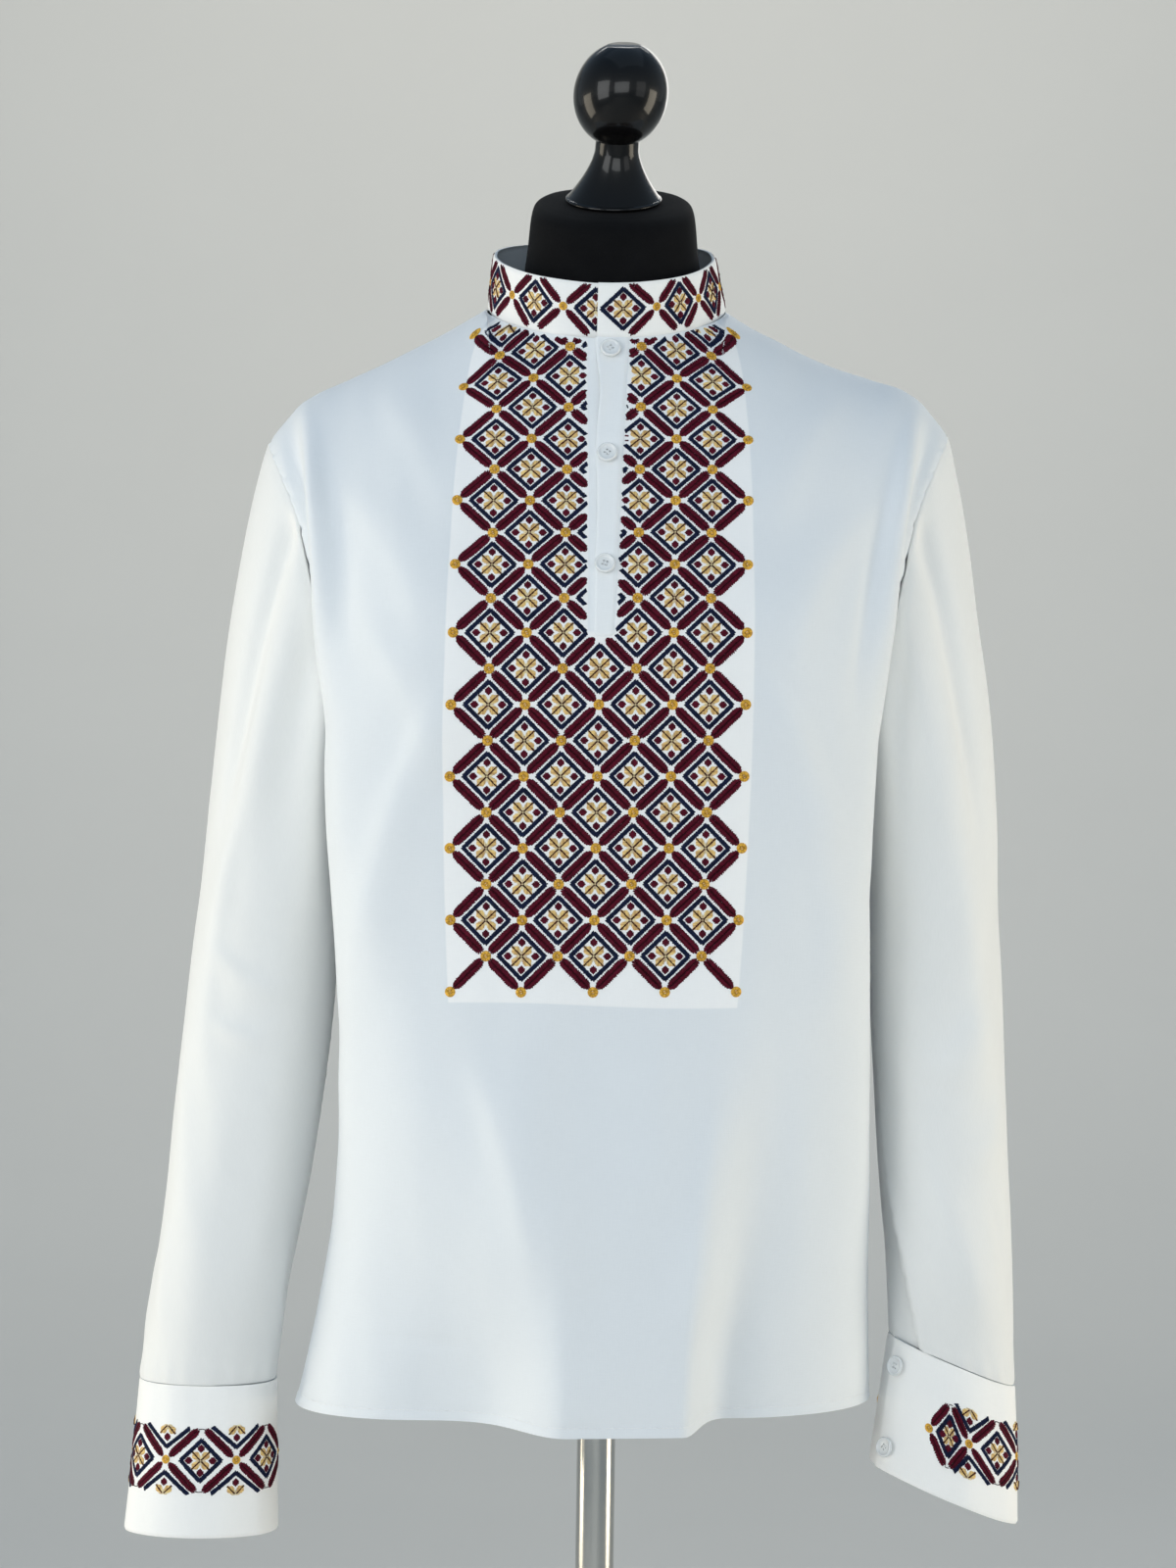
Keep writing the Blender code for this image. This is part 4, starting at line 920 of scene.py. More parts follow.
# %% Sleeve measures
Ring = namedtuple("Ring", "z outer inner middle_y half_depth square turn tilt")
LEFT_RINGS = table(
    Ring,
    (1.060, -0.2630, -0.1720, 0.004, 0.058, 2.3, 0, 0.00),
    (1.009, -0.2687, -0.1740, 0.002, 0.056, 2.3, 0, 0.00),
    (0.945, -0.2749, -0.1795, -0.002, 0.054, 2.3, -6, 0.00),
    (0.881, -0.2810, -0.1890, -0.006, 0.052, 2.3, -16, 0.00),
    (0.817, -0.2884, -0.2011, -0.010, 0.049, 2.3, -28, 0.00),
    (0.749, -0.2966, -0.2082, -0.013, 0.036, 2.2, -38, 0.00),
)
RIGHT_RINGS = table(
    Ring,
    (1.060, 0.2563, 0.1740, 0.004, 0.058, 2.3, 0, 0.00),
    (1.009, 0.2593, 0.1750, 0.002, 0.056, 2.3, 0, 0.00),
    (0.945, 0.2627, 0.1780, -0.002, 0.054, 2.3, 6, -0.03),
    (0.881, 0.2660, 0.1820, -0.006, 0.052, 2.3, 18, -0.12),
    (0.825, 0.2690, 0.1870, -0.010, 0.049, 2.3, 36, -0.24),
    (0.7680, 0.2708, 0.1890, -0.013, 0.036, 2.2, 56, -0.40),
)
VENT_LENGTH = 0.125
VENT_OVERLAP = radians(16)
VENT_SINK = 0.0044
VENT_UNDER_FROM = 0.8
SLEEVE_FLARE = 0.14
SLEEVE_HEAD_ROWS = 34
SLEEVE_FIRST_ROWS = (0, 0.006, 0.014, 0.026)
SLEEVE_HEAD_FROM = 0.045
SLEEVE_ROWS = 104
SLEEVE_COLUMNS = 104
SEAM_CROWDING = 0.012


def ring_points(rings, z, fractions, side, sink=0.0, extra=0.0):
    """Points of a sleeve or cuff ring. Fractions run from the seam round the front and the outer side."""
    ring = read_table(rings, z)
    wide, deep = rounded_rectangle(2 * pi * fractions + radians(ring.turn) + extra, 2 / ring.square)
    middle_x = (ring.outer + ring.inner) / 2
    x = middle_x - side * (abs(ring.outer - ring.inner) / 2 - sink) * wide
    y = ring.middle_y - (ring.half_depth - sink) * deep
    return np.stack([x, y, ring.z + ring.tilt * (x - middle_x)], axis=1)


def armhole(side):
    """The armhole from the armpit up the front's edge and down the back's, at even fractions."""
    edge = 0 if side < 0 else -1
    up = front.grid[front.armpit :, edge]
    down_back = back.grid[back.armpit :, edge][::-1]
    length_up = travelled(up)
    length_down = travelled(down_back)
    fractions = np.concatenate([length_up / length_up[-1] / 2, 0.5 + length_down[1:] / length_down[-1] / 2])
    part = np.linspace(0, 1, SLEEVE_COLUMNS + 1)
    even = part - SEAM_CROWDING * np.sin(4 * pi * part)
    return read_line(even, fractions, np.concatenate([up, down_back[1:]])), even


def sleeve_grid(rings, side):
    """A sleeve from the armhole down to its cuff, open along its seam."""
    loop, fractions = armhole(side)
    first_z = rings[0].z
    last_z = rings[-1].z
    first = ring_points(rings, first_z, fractions, side)
    arrive = unit(ring_points(rings, first_z - SLOPE_STEP, fractions, side) - first)
    reach = np.linalg.norm(first - loop, axis=1, keepdims=True)
    leave = unit(first - loop + [side * SLEEVE_FLARE, 0, 0] * reach)
    start = loop + leave * GAP
    parts = np.concatenate([SLEEVE_FIRST_ROWS, np.linspace(SLEEVE_HEAD_FROM, 1, SLEEVE_HEAD_ROWS)])
    grid = [hermite(start, first, leave * reach, arrive * reach, part) for part in parts]
    under = ramp(fractions, VENT_UNDER_FROM, 1.0)
    for z in np.linspace(first_z, last_z, SLEEVE_ROWS + 1)[1:]:
        open_part = ramp(z, last_z + VENT_LENGTH, last_z + VENT_LENGTH / 2)
        lap = VENT_OVERLAP * open_part * under**2
        grid.append(ring_points(rings, z, fractions, side, VENT_SINK * open_part * under, lap))
    grid = np.array(grid)
    grid[:, 0] += unit(grid[:, 1] - grid[:, 0]) * GAP / 2
    grid[:, -1] += unit(grid[:, -2] - grid[:, -1]) * GAP / 2
    return grid, fractions


def tube_normals(grid):
    return grid_normals(grid, np.broadcast_to(grid.mean(axis=1, keepdims=True), grid.shape))


# %% Creases of the sleeves
# Across is the share of the way round from the seam, from 0 to 1, times the sleeve's girth, 0.24 m.
SLEEVE_GIRTH = 0.24
LEFT_SLEEVE_CREASES = table(
    Crease,
    (0.0850, 1.365, 0.0900, 1.080, -0.003, 0.0062, -0.0062, 0.00),
    (0.070, 1.300, 0.078, 1.090, -0.006, 0.012, 0.0045, 0.20),
    (0.078, 1.120, 0.085, 0.930, 0.004, 0.010, 0.0035, 0.30),
    (0.052, 1.250, 0.048, 1.060, 0.004, 0.010, -0.0025, 0.00),
    (0.040, 1.230, 0.030, 1.030, 0.006, 0.012, 0.0030, 0.10),
    (0.085, 1.035, 0.045, 0.995, 0.004, 0.007, 0.0020, 0.20),
    (0.082, 0.985, 0.052, 0.968, 0.002, 0.006, 0.0018, 0.20),
    (0.100, 0.990, 0.088, 0.820, 0.006, 0.012, 0.0024, 0.20),
    (0.060, 0.930, 0.066, 0.800, 0.004, 0.012, -0.0018, 0.00),
    (0.120, 1.280, 0.124, 1.060, 0.006, 0.014, 0.0024, 0.10),
    (0.136, 1.100, 0.128, 0.880, 0.006, 0.014, 0.0022, 0.10),
    (0.165, 1.260, 0.160, 1.040, 0.004, 0.014, 0.0030, 0.10),
    (0.180, 1.060, 0.170, 0.900, 0.004, 0.012, 0.0024, 0.10),
    (0.205, 1.200, 0.200, 1.000, 0.004, 0.012, -0.0020, 0.00),
    (0.110, 0.860, 0.112, 0.770, 0.002, 0.008, 0.0020, 0.10),
    (0.140, 0.840, 0.142, 0.765, 0.002, 0.008, 0.0018, 0.10),
    (0.032, 0.850, 0.034, 0.770, 0.002, 0.008, 0.0018, 0.10),
)
RIGHT_SLEEVE_CREASES = table(
    Crease,
    (0.0830, 1.365, 0.0880, 1.090, -0.003, 0.0066, -0.0060, 0.00),
    (0.064, 1.300, 0.070, 1.090, -0.006, 0.013, 0.0045, 0.20),
    (0.046, 1.260, 0.042, 1.060, 0.004, 0.010, -0.0025, 0.00),
    (0.034, 1.240, 0.026, 1.040, 0.006, 0.012, 0.0030, 0.10),
    (0.070, 1.110, 0.078, 0.920, 0.004, 0.012, 0.0030, 0.20),
    (0.080, 1.000, 0.050, 0.945, 0.004, 0.012, 0.0026, 0.20),
    (0.092, 0.950, 0.062, 0.890, 0.004, 0.010, 0.0022, 0.20),
    (0.100, 1.270, 0.106, 1.050, 0.006, 0.014, 0.0024, 0.10),
    (0.120, 1.080, 0.116, 0.880, 0.006, 0.014, 0.0022, 0.10),
    (0.150, 1.250, 0.150, 1.030, 0.004, 0.014, 0.0028, 0.10),
    (0.176, 1.050, 0.164, 0.900, 0.004, 0.012, 0.0024, 0.10),
    (0.204, 1.180, 0.202, 0.990, 0.004, 0.012, -0.0020, 0.00),
    (0.040, 0.900, 0.046, 0.790, 0.002, 0.009, 0.0024, 0.10),
    (0.070, 0.880, 0.074, 0.790, 0.002, 0.008, -0.0018, 0.10),
    (0.140, 0.860, 0.140, 0.780, 0.002, 0.008, 0.0018, 0.10),
)
SLEEVE_RIPPLE = 1.2
GATHER_REACH = 0.024
GATHER_COUNT = 19
GATHER_DEPTH = 0.0004
GATHER_SWAY = 1.3
GATHER_SWAYS = 9
GATHER_START = 0.004
CUFF_SEAM_DIP = 0.0006
CUFF_SEAM_WIDTH = 0.0018
VENT_RIDGE = 0.0016
VENT_RIDGES = ((0.0045, 0.0055, 1.0), (SLEEVE_GIRTH - 0.030, 0.009, 0.8))
TUCK_LENGTH = 0.0034
TUCK_STEP = 0.0005
TUCK_DEPTH = 0.0019


def dress_sleeve(rings, side, creases, seed):
    """A sleeve's grid with creases, its cap's eased seam and the small pleats above its cuff."""
    grid, fractions = sleeve_grid(rings, side)
    round_it = np.broadcast_to(fractions * SLEEVE_GIRTH, grid.shape[:2])
    z = grid[..., 2]
    down_it = down_columns(grid)
    to_cuff = down_it[-1:] - down_it
    from_seam = np.minimum(round_it, SLEEVE_GIRTH - round_it)
    calm = ramp(down_it, 0.0, SEAM_CALM) * ramp(from_seam, 0.0, HEM_CALM)
    height = calmed(crease_height(round_it, z, creases) + SLEEVE_RIPPLE * ripple(round_it, z, seed), calm)
    sway = GATHER_SWAY * np.sin(GATHER_SWAYS * fractions + seed)
    gathers = np.sin(2 * pi * GATHER_COUNT * fractions + sway) * ramp(to_cuff, -GATHER_START, GATHER_START)
    height += GATHER_DEPTH * gathers * (1 - ramp(to_cuff, 0.0, GATHER_REACH))
    height += seam_pucker(down_it, round_it, SEAM_DIP, SEAM_DIP_WIDTH, CAP_SEAM_WAVE, seed + 1)
    height += seam_pucker(from_seam, z, SEAM_DIP, SEAM_DIP_WIDTH, SIDE_SEAM_WAVE, seed + 2)
    height -= CUFF_SEAM_DIP * bump(to_cuff, CUFF_SEAM_WIDTH)
    ridges = sum(share * bump(round_it - at, width) for at, width, share in VENT_RIDGES)
    height += VENT_RIDGE * ridges * ramp(to_cuff, VENT_LENGTH, VENT_LENGTH * 0.6)
    grid = raised(grid, tube_normals(grid), height)
    return tuck_ends(grid, tube_normals(grid), round_it, down_it)


def tuck_ends(grid, normals, round_it, down_it):
    """Adds the seam allowances: a sleeve's two ends run on under the armhole's edge and into its cuff."""
    back_step = unit(grid[0] - grid[1])
    on_step = unit(grid[-1] - grid[-2])
    head = grid[0] + back_step * TUCK_LENGTH - normals[0] * TUCK_DEPTH * 1.2
    foot = [grid[-1] + on_step * TUCK_STEP - normals[-1] * TUCK_DEPTH / 2]
    foot.append(grid[-1] + on_step * TUCK_LENGTH - normals[-1] * TUCK_DEPTH)
    ends = (down_it[:1] - TUCK_LENGTH, down_it, down_it[-1:] + TUCK_STEP, down_it[-1:] + TUCK_LENGTH)
    repeats = [2] + [1] * (len(normals) - 2) + [3]
    chart = (np.repeat(round_it, repeats, axis=0), np.concatenate(ends))
    return np.concatenate([[head], grid, foot]), np.repeat(normals, repeats, axis=0), chart


sleeves = {}
for name, rings, side, creases, seed in (
    ("left", LEFT_RINGS, -1, LEFT_SLEEVE_CREASES, 21),
    ("right", RIGHT_RINGS, 1, RIGHT_SLEEVE_CREASES, 31),
):
    grid, normals, chart = dress_sleeve(rings, side, creases, seed)
    sleeves[name] = shell(f"sleeve_{name}_cloth", grid, normals, CLOTH, chart)
    print("sleeve", name, grid.shape, "length", round(float(chart[1][-1].mean()), 3))


# %% [markdown]
# ## Placket
#
# The chest slit is finished by two bands. The under one carries the buttons and the upper one, the
# buttonholes. Both are folded double, so they are thicker than the front. The upper band's free edge stands a
# little proud, and it gapes between two buttons, because cloth between fixed points always finds some slack.

# %% Placket
UNDER_BAND_SINK = 0.00025
UNDER_BAND_CLOTH = 0.0011
UPPER_BAND_CLOTH = 0.0012
UPPER_BAND_LIFT = 0.0013
UPPER_BAND_INSET = 0.0042
CAP_LEAST = 0.0007
CAP_DEPTH = 0.0026
CAP_DROP = 0.0009
CAP_PARTS = (1.0, 0.85, 0.6, 0.3)
SLOT_LAP = 0.0001
GAPE_AT = 0.038
GAPE_REACH = 0.022
GAPE_IN = 0.0036
GAPE_OUT = 0.0026
LOWER_GAPE_AT = 0.118
LOWER_GAPE_REACH = 0.030
LOWER_GAPE = 0.0012
BAND_COLUMNS = 26
BUTTON_DISTANCES = (0.0090, 0.0830, 0.1570)
BUTTON_ACROSS = 0.42
BUTTON_LINE = 0.0006
BUTTON_LIFT = 0.0009
DIMPLES = ((-0.0006, 0.0, 0.0075), (0.0004, 0.0125, 0.0050))
BAND_SWELL = 0.5
BAND_WAVES = 2.0
EDGE_ROLL = 0.0007
END_ROLL = 0.0006
ROLL_REACH = 0.0016
FREE_ROLL_REACH = 0.0014
SEWN_ROLL = 0.0009
SEWN_ROLL_REACH = 0.0026


def band_grid(left_inset, right_inset):
    """A placket band on the front, from the slot's lower end to the neck. It moves with the slot's edges."""
    rows = front.rows[front.slot_row :]
    distances = front.distances[front.slot_row :]
    sides = np.array([slot_sides(distance) for distance in distances])
    first = sides[:, :1] + left_inset
    columns = first + (sides[:, 1:] - right_inset - first) * eased(BAND_COLUMNS)
    shift = front_grid[front.slot_row :, slot_column : slot_column + 2] - panel_grid(rows, sides)
    part = ((columns - sides[:, :1]) / (sides[:, 1:] - sides[:, :1]))[..., None]
    grid = panel_grid(rows, columns) + shift[:, :1] * (1 - part) + shift[:, 1:] * part
    return grid, (columns, spread_down(distances, columns))


def front_normals_of(grid):
    return grid_normals(grid, grid * [1, 0, 1])


def rolled(grid, normals, near, amount, reach):
    """Turns a folded edge inwards, so that it looks round. near is the distance from it."""
    return raised(grid, normals, -amount * (1 - ramp(near, 0, reach)))


def round_cap(grid, normals, chart):
    """Adds a band's rounded end, which lies over the front below the slot and is sewn down on it."""
    columns, depths = chart
    share = (columns[0] - columns[0, 0]) / (columns[0, -1] - columns[0, 0])
    reach = CAP_LEAST + CAP_DEPTH * np.sqrt(np.clip(1 - (2 * share - 1) ** 2, 0, 1))
    onward = unit(grid[0] - grid[1])
    cap = [
        grid[0] + onward * (reach * part)[:, None] - normals[0] * (CAP_DROP * ramp(part, 0.55, 1.0))
        for part in CAP_PARTS
    ]
    depths = np.concatenate([[depths[0] + reach * part for part in CAP_PARTS], depths])
    repeats = [1 + len(CAP_PARTS)] + [1] * (len(grid) - 1)
    normals = np.repeat(normals, repeats, axis=0)
    return np.concatenate([cap, grid]), normals, (np.repeat(columns, repeats, axis=0), depths)


def button_dimples(columns, depths):
    """The cloth round each button sinks a little and is drawn towards it."""
    height = np.zeros_like(columns)
    for place in BUTTON_DISTANCES:
        off = np.hypot(columns - BUTTON_LINE, depths - place)
        height += sum(rise * bump(off - away, width) for rise, away, width in DIMPLES)
    return height


under, under_chart = band_grid(-SLOT_LAP, -SLOT_LAP)
under_normals = front_normals_of(under)
under = under - under_normals * UNDER_BAND_SINK
placket_under = shell("placket_under_cloth", under, under_normals, UNDER_BAND_CLOTH, under_chart)

upper, upper_chart = band_grid(UPPER_BAND_INSET, -SLOT_LAP)
columns, depths = upper_chart
gape = bump(depths - GAPE_AT, GAPE_REACH)
lower_gape = LOWER_GAPE * bump(depths - LOWER_GAPE_AT, LOWER_GAPE_REACH)
sewn = columns[:, -1:] - columns
free = sewn / sewn[:, :1]
proud = UPPER_BAND_LIFT + (GAPE_OUT * gape + lower_gape) * free**2
proud = proud + BAND_SWELL * ripple(columns * BAND_WAVES, depths, 41) + button_dimples(columns, depths)
upper = raised(upper, front_normals_of(upper), proud)
upper[..., 0] += (GAPE_IN * gape + lower_gape) * free**2
button_normals = front_normals_of(upper)
button_band = upper
upper = rolled(upper, button_normals, along_rows(upper), END_ROLL, FREE_ROLL_REACH)
upper = rolled(upper, button_normals, sewn, SEWN_ROLL, SEWN_ROLL_REACH)
upper_sheet = round_cap(upper, button_normals, upper_chart)
placket_upper = shell("placket_upper_cloth", *upper_sheet[:2], UPPER_BAND_CLOTH, upper_sheet[2])
print("placket bands", upper.shape)


# %% [markdown]
# ## Collar and cuffs
#
# The stand collar is a straight strip folded along its top, with its two ends lapped in front. A cuff is the
# same thing round a wrist, closed by two buttons. Being double, and stiffened inside, they bend in wide even
# curves where the single cloth creases, and their folded edges are round.

# %% Collar
COLLAR_HEIGHT = 0.0352
COLLAR_LEAN = 0.05
COLLAR_LEAN_LEFT = 0.09
COLLAR_LEAN_RIGHT = 0.21
COLLAR_UNDER_END = radians(9)
COLLAR_UPPER_END = radians(4.3)
COLLAR_STEP = 0.0026
COLLAR_STEP_LENGTH = radians(30)
COLLAR_COLUMNS = 250
COLLAR_ROWS = 16
COLLAR_TUCK = 0.0030
COLLAR_TUCK_DEPTH = 0.0016
COLLAR_SWELL = 0.5
COLLAR_WAVES = 1.5


def dress_collar():
    """The collar's grid, normals and chart, from its tucked foot up to its fold."""
    angles = np.linspace(COLLAR_UNDER_END, -2 * pi - COLLAR_UPPER_END, COLLAR_COLUMNS + 1)
    turned_by = COLLAR_UNDER_END - angles
    inward = unit(np.stack([-np.sin(angles), np.cos(angles), np.zeros_like(angles)], axis=-1))
    sink = COLLAR_STEP * (1 - ramp(turned_by, COLLAR_UNDER_END, COLLAR_UNDER_END + COLLAR_STEP_LENGTH))
    side_lean = np.where(np.sin(angles) < 0, COLLAR_LEAN_LEFT, COLLAR_LEAN_RIGHT)
    lean = COLLAR_LEAN + (side_lean - COLLAR_LEAN) * np.sin(angles) ** 2
    up = eased(COLLAR_ROWS) * COLLAR_HEIGHT
    rows = [neck_seam(angles) + inward * (sink + lean * z)[:, None] + [0, 0, GAP + z] for z in up]
    grid = settle(np.array(rows))
    normals = grid_normals(grid, grid * [0, 0, 1] + [SHIFT_TOP, SHOULDER_Y[0], 0])
    along = np.broadcast_to(travelled(grid[COLLAR_ROWS // 2]), grid.shape[:2])
    up = spread_down(up, grid)
    grid = raised(grid, normals, COLLAR_SWELL * ripple(along * COLLAR_WAVES, up, 51))
    grid = rolled(grid, normals, np.minimum(up, COLLAR_HEIGHT - up), EDGE_ROLL, ROLL_REACH)
    tucked = grid[:1] - unit(grid[1:2] - grid[:1]) * COLLAR_TUCK - normals[:1] * COLLAR_TUCK_DEPTH
    chart = (np.concatenate([along[:1], along]), np.concatenate([up[:1] - COLLAR_TUCK, up]))
    return np.concatenate([tucked, grid]), np.concatenate([normals[:1], normals]), chart


*collar_sheet, collar_chart = dress_collar()
collar_length = collar_chart[0].max()
collar = shell("collar_cloth", *collar_sheet, DOUBLE_CLOTH, collar_chart)
collar_surface = chart_surface("collar_chart", *collar_sheet, collar_chart)
print("collar length", round(float(collar_length), 4))

# %% Cuffs
LEFT_CUFF_RINGS = table(
    Ring,
    (0.6530, -0.3050, -0.2056, -0.020, 0.038, 2.2, -38, 0.00),
    (0.7020, -0.3002, -0.2070, -0.017, 0.037, 2.2, -38, 0.00),
    (0.7485, -0.2966, -0.2082, -0.013, 0.036, 2.2, -38, 0.00),
)
RIGHT_CUFF_RINGS = table(
    Ring,
    (0.6830, 0.2731, 0.1770, -0.020, 0.038, 2.2, 56, -0.40),
    (0.7240, 0.2722, 0.1830, -0.017, 0.037, 2.2, 56, -0.40),
    (0.7675, 0.2708, 0.1890, -0.013, 0.036, 2.2, 56, -0.40),
)
CUFF_UPPER_REACH = radians(34)
CUFF_UNDER_SHORT = radians(8)
CUFF_STEP = 0.0028
CUFF_STEP_LENGTH = radians(40)
CUFF_BUTTON_HEIGHTS = (0.2, 0.82)
CUFF_BUTTON_INSET = radians(13)
CUFF_BUTTON_LIFT = 0.0003
CUFF_BUTTON_TURN = 0.4
CUFF_SWELL = 0.8
CUFF_WAVES = 1.6
CUFF_LAP = 0.0006
CUFF_TOP_ROLL = 0.0004
CUFF_COLUMNS = 130
CUFF_ROWS = 40
CUFF_START = -CUFF_UPPER_REACH / (2 * pi)
CUFF_END = 1 - CUFF_UNDER_SHORT / (2 * pi)

ButtonPlace = namedtuple("ButtonPlace", "name point normal lift turn")
button_places = []


def cuff_heights(rings, parts):
    top = rings[-1].z + CUFF_LAP
    return top + (rings[0].z - top) * parts


def dress_cuff(rings, side, seed):
    fractions = np.linspace(CUFF_START, CUFF_END, CUFF_COLUMNS + 1)
    ends = (CUFF_END - fractions, fractions - CUFF_START)
    under, over = (1 - ramp(gone * 2 * pi, 0, CUFF_STEP_LENGTH) for gone in ends)
    sink = CUFF_STEP / 2 * (under - over)
    heights = cuff_heights(rings, eased(CUFF_ROWS))
    grid = np.array([ring_points(rings, z, fractions, side, sink) for z in heights])
    normals = tube_normals(grid)
    along = np.broadcast_to(along_rows(grid)[CUFF_ROWS // 2], grid.shape[:2])
    down_it = down_columns(grid)
    up_it = down_it[-1:] - down_it
    grid = raised(grid, normals, CUFF_SWELL * ripple(along * CUFF_WAVES, down_it, seed))
    roll = np.where(down_it > up_it, EDGE_ROLL, CUFF_TOP_ROLL)
    grid = rolled(grid, normals, np.minimum(down_it, up_it), roll, ROLL_REACH)
    grid = rolled(grid, normals, np.minimum(along, along[:, -1:] - along), END_ROLL, ROLL_REACH)
    return grid, normals, (along, down_it)


def cuff_buttons(name, rings, side):
    at = CUFF_START + CUFF_BUTTON_INSET / (2 * pi) + np.array([0, SLOPE_STEP])
    for number, z in enumerate(cuff_heights(rings, np.array(CUFF_BUTTON_HEIGHTS)), 1):
        here, beside = ring_points(rings, z, at, side, -CUFF_STEP / 2)
        lower = ring_points(rings, z - SLOPE_STEP, at, side, -CUFF_STEP / 2)[0]
        normal = unit(np.cross(beside - here, lower - here))
        outward = here - [(rings[0].outer + rings[0].inner) / 2, rings[0].middle_y, here[2]]
        normal = normal * np.sign(np.dot(normal, outward))
        button = f"cuff_button_{name}_{number}"
        turn = CUFF_BUTTON_TURN + number
        button_places.append(ButtonPlace(button, here, normal, CUFF_BUTTON_LIFT, turn))


cuffs = {}
cuff_surfaces = {}
for name, rings, side, seed in (("left", LEFT_CUFF_RINGS, -1, 61), ("right", RIGHT_CUFF_RINGS, 1, 71)):
    grid, normals, chart = dress_cuff(rings, side, seed)
    cuffs[name] = shell(f"cuff_{name}_cloth", grid, normals, DOUBLE_CLOTH, chart)
    cuff_surfaces[name] = chart_surface(f"cuff_{name}_chart", grid, normals, (chart[0] * side, chart[1]))
    cuff_buttons(name, rings, side)
    print("cuff", name, "length", round(float(chart[0].max()), 4), "depth", round(float(chart[1].max()), 4))


# %% [markdown]
# ## Buttons
#
# A shirt button is turned from shell or resin: a flat back, a rounded edge, a raised rim, and a dished middle
# with four holes that thread crosses. The holes are cut by a Boolean, because drilled holes have crisp round
# edges, and the threads are small bowed strands over them.

# %% Solids turned and swept
def mesh_of(name, bm, angle=radians(40)):
    """The finished mesh of a work mesh, with its faces outwards."""
    bmesh.ops.recalc_face_normals(bm, faces=bm.faces)
    mesh = bpy.data.meshes.new(name)
    bm.to_mesh(mesh)
    bm.free()
    mesh.shade_smooth()
    mesh.set_sharp_from_angle(angle=angle)
    return mesh


def made_plain(obj):
    """The mesh that an object's modifiers make of it. The object itself goes."""
    graph = bpy.context.evaluated_depsgraph_get()
    mesh = bpy.data.meshes.new_from_object(obj.evaluated_get(graph))
    bpy.data.objects.remove(obj, do_unlink=True)
    return mesh


def skin(bm, rings):
    """Faces between rings. A ring is a loop of points, or one point on the axis."""
    count = max(len(ring) for ring in rings)
    for low, high in zip(rings, rings[1:]):
        for i in range(count):
            j = (i + 1) % count
            corners = [low[i % len(low)], low[j % len(low)], high[j % len(high)], high[i % len(high)]]
            bm.faces.new(list(dict.fromkeys(corners)))
    for ring in (rings[0][::-1], rings[-1]):
        if len(ring) > 1:
            bm.faces.new(ring)


def lathe(profile, sides):
    """A solid of revolution from (radius, height) points that begin and end on the axis."""
    bm = bmesh.new()
    turns = [2 * pi * i / sides for i in range(sides)]
    rings = []
    for radius, height in profile:
        points = [(radius * cos(a), radius * sin(a), height) for a in (turns if radius > 0 else turns[:1])]
        rings.append([bm.verts.new(point) for point in points])
    skin(bm, rings)
    return bm


# %% Buttons
BUTTON_RADIUS = 0.0065
BUTTON_THICKNESS = 0.0026
BUTTON_GAP = 0.0005
BUTTON_SIDES = 44
HOLE_RADIUS = 0.00072
HOLE_PLACE = 0.00155
HOLE_SIDES = 14
DRILL_LENGTH = 0.006
DRILL_MIDDLE = 0.001
BUTTON_PROFILE = (
    *((0.00, 0.00), (0.78, 0.00), (0.92, 0.10), (0.985, 0.34), (1.00, 0.58), (0.975, 0.80), (0.93, 0.93)),
    *((0.88, 0.985), (0.83, 0.985), (0.775, 0.92), (0.72, 0.80), (0.66, 0.70), (0.58, 0.645), (0.40, 0.62)),
    (0.00, 0.61),
)
STRAND_STEPS = 8
STRAND_SIDES = 6
STRAND_RADIUS = 0.00020
STRAND_RISE = 0.00075
STRAND_SHIFT = 0.00022
STRAND_LAP = 0.0001
STRAND_FOOT = 0.56
STRAND_SINK = 0.0004
BUTTON_TURNS = (0.35, 0.30)


def button_mesh():
    """The button at the origin, facing up, with its four holes cut through."""
    profile = [(BUTTON_RADIUS * r, BUTTON_THICKNESS * h) for r, h in BUTTON_PROFILE]
    disc = new_object("button_disc", mesh_of("button_disc", lathe(profile, BUTTON_SIDES)))
    drill = bmesh.new()
    size = {"radius1": HOLE_RADIUS, "radius2": HOLE_RADIUS, "depth": DRILL_LENGTH}
    for k in range(4):
        turn = pi / 4 + k * pi / 2
        place = Matrix.Translation((HOLE_PLACE * cos(turn), HOLE_PLACE * sin(turn), DRILL_MIDDLE))
        bmesh.ops.create_cone(drill, cap_ends=True, segments=HOLE_SIDES, matrix=place, **size)
    cutter = new_object("button_drill", mesh_of("button_drill", drill))
    cut = disc.modifiers.new("holes", "BOOLEAN")
    cut.object = cutter
    cut.solver = "EXACT"
    mesh = made_plain(disc)
    bpy.data.objects.remove(cutter, do_unlink=True)
    mesh.shade_smooth()
    mesh.set_sharp_from_angle(angle=radians(35))
    return mesh


def strand(bm, start, end):
    """A short bowed thread between two points, closed at both ends."""
    start = Vector(start)
    run = Vector(end) - start
    across_run = run.cross(Vector((0, 0, 1))).normalized() * STRAND_RADIUS
    rings = []
    for part in np.linspace(0, 1, STRAND_STEPS + 1).tolist():
        centre = start + run * part + Vector((0, 0, STRAND_RISE * 4 * part * (1 - part)))
        turns = [2 * pi * k / STRAND_SIDES for k in range(STRAND_SIDES)]
        offsets = [across_run * cos(turn) + Vector((0, 0, STRAND_RADIUS * sin(turn))) for turn in turns]
        rings.append([bm.verts.new(centre + offset) for offset in offsets])
    skin(bm, rings)


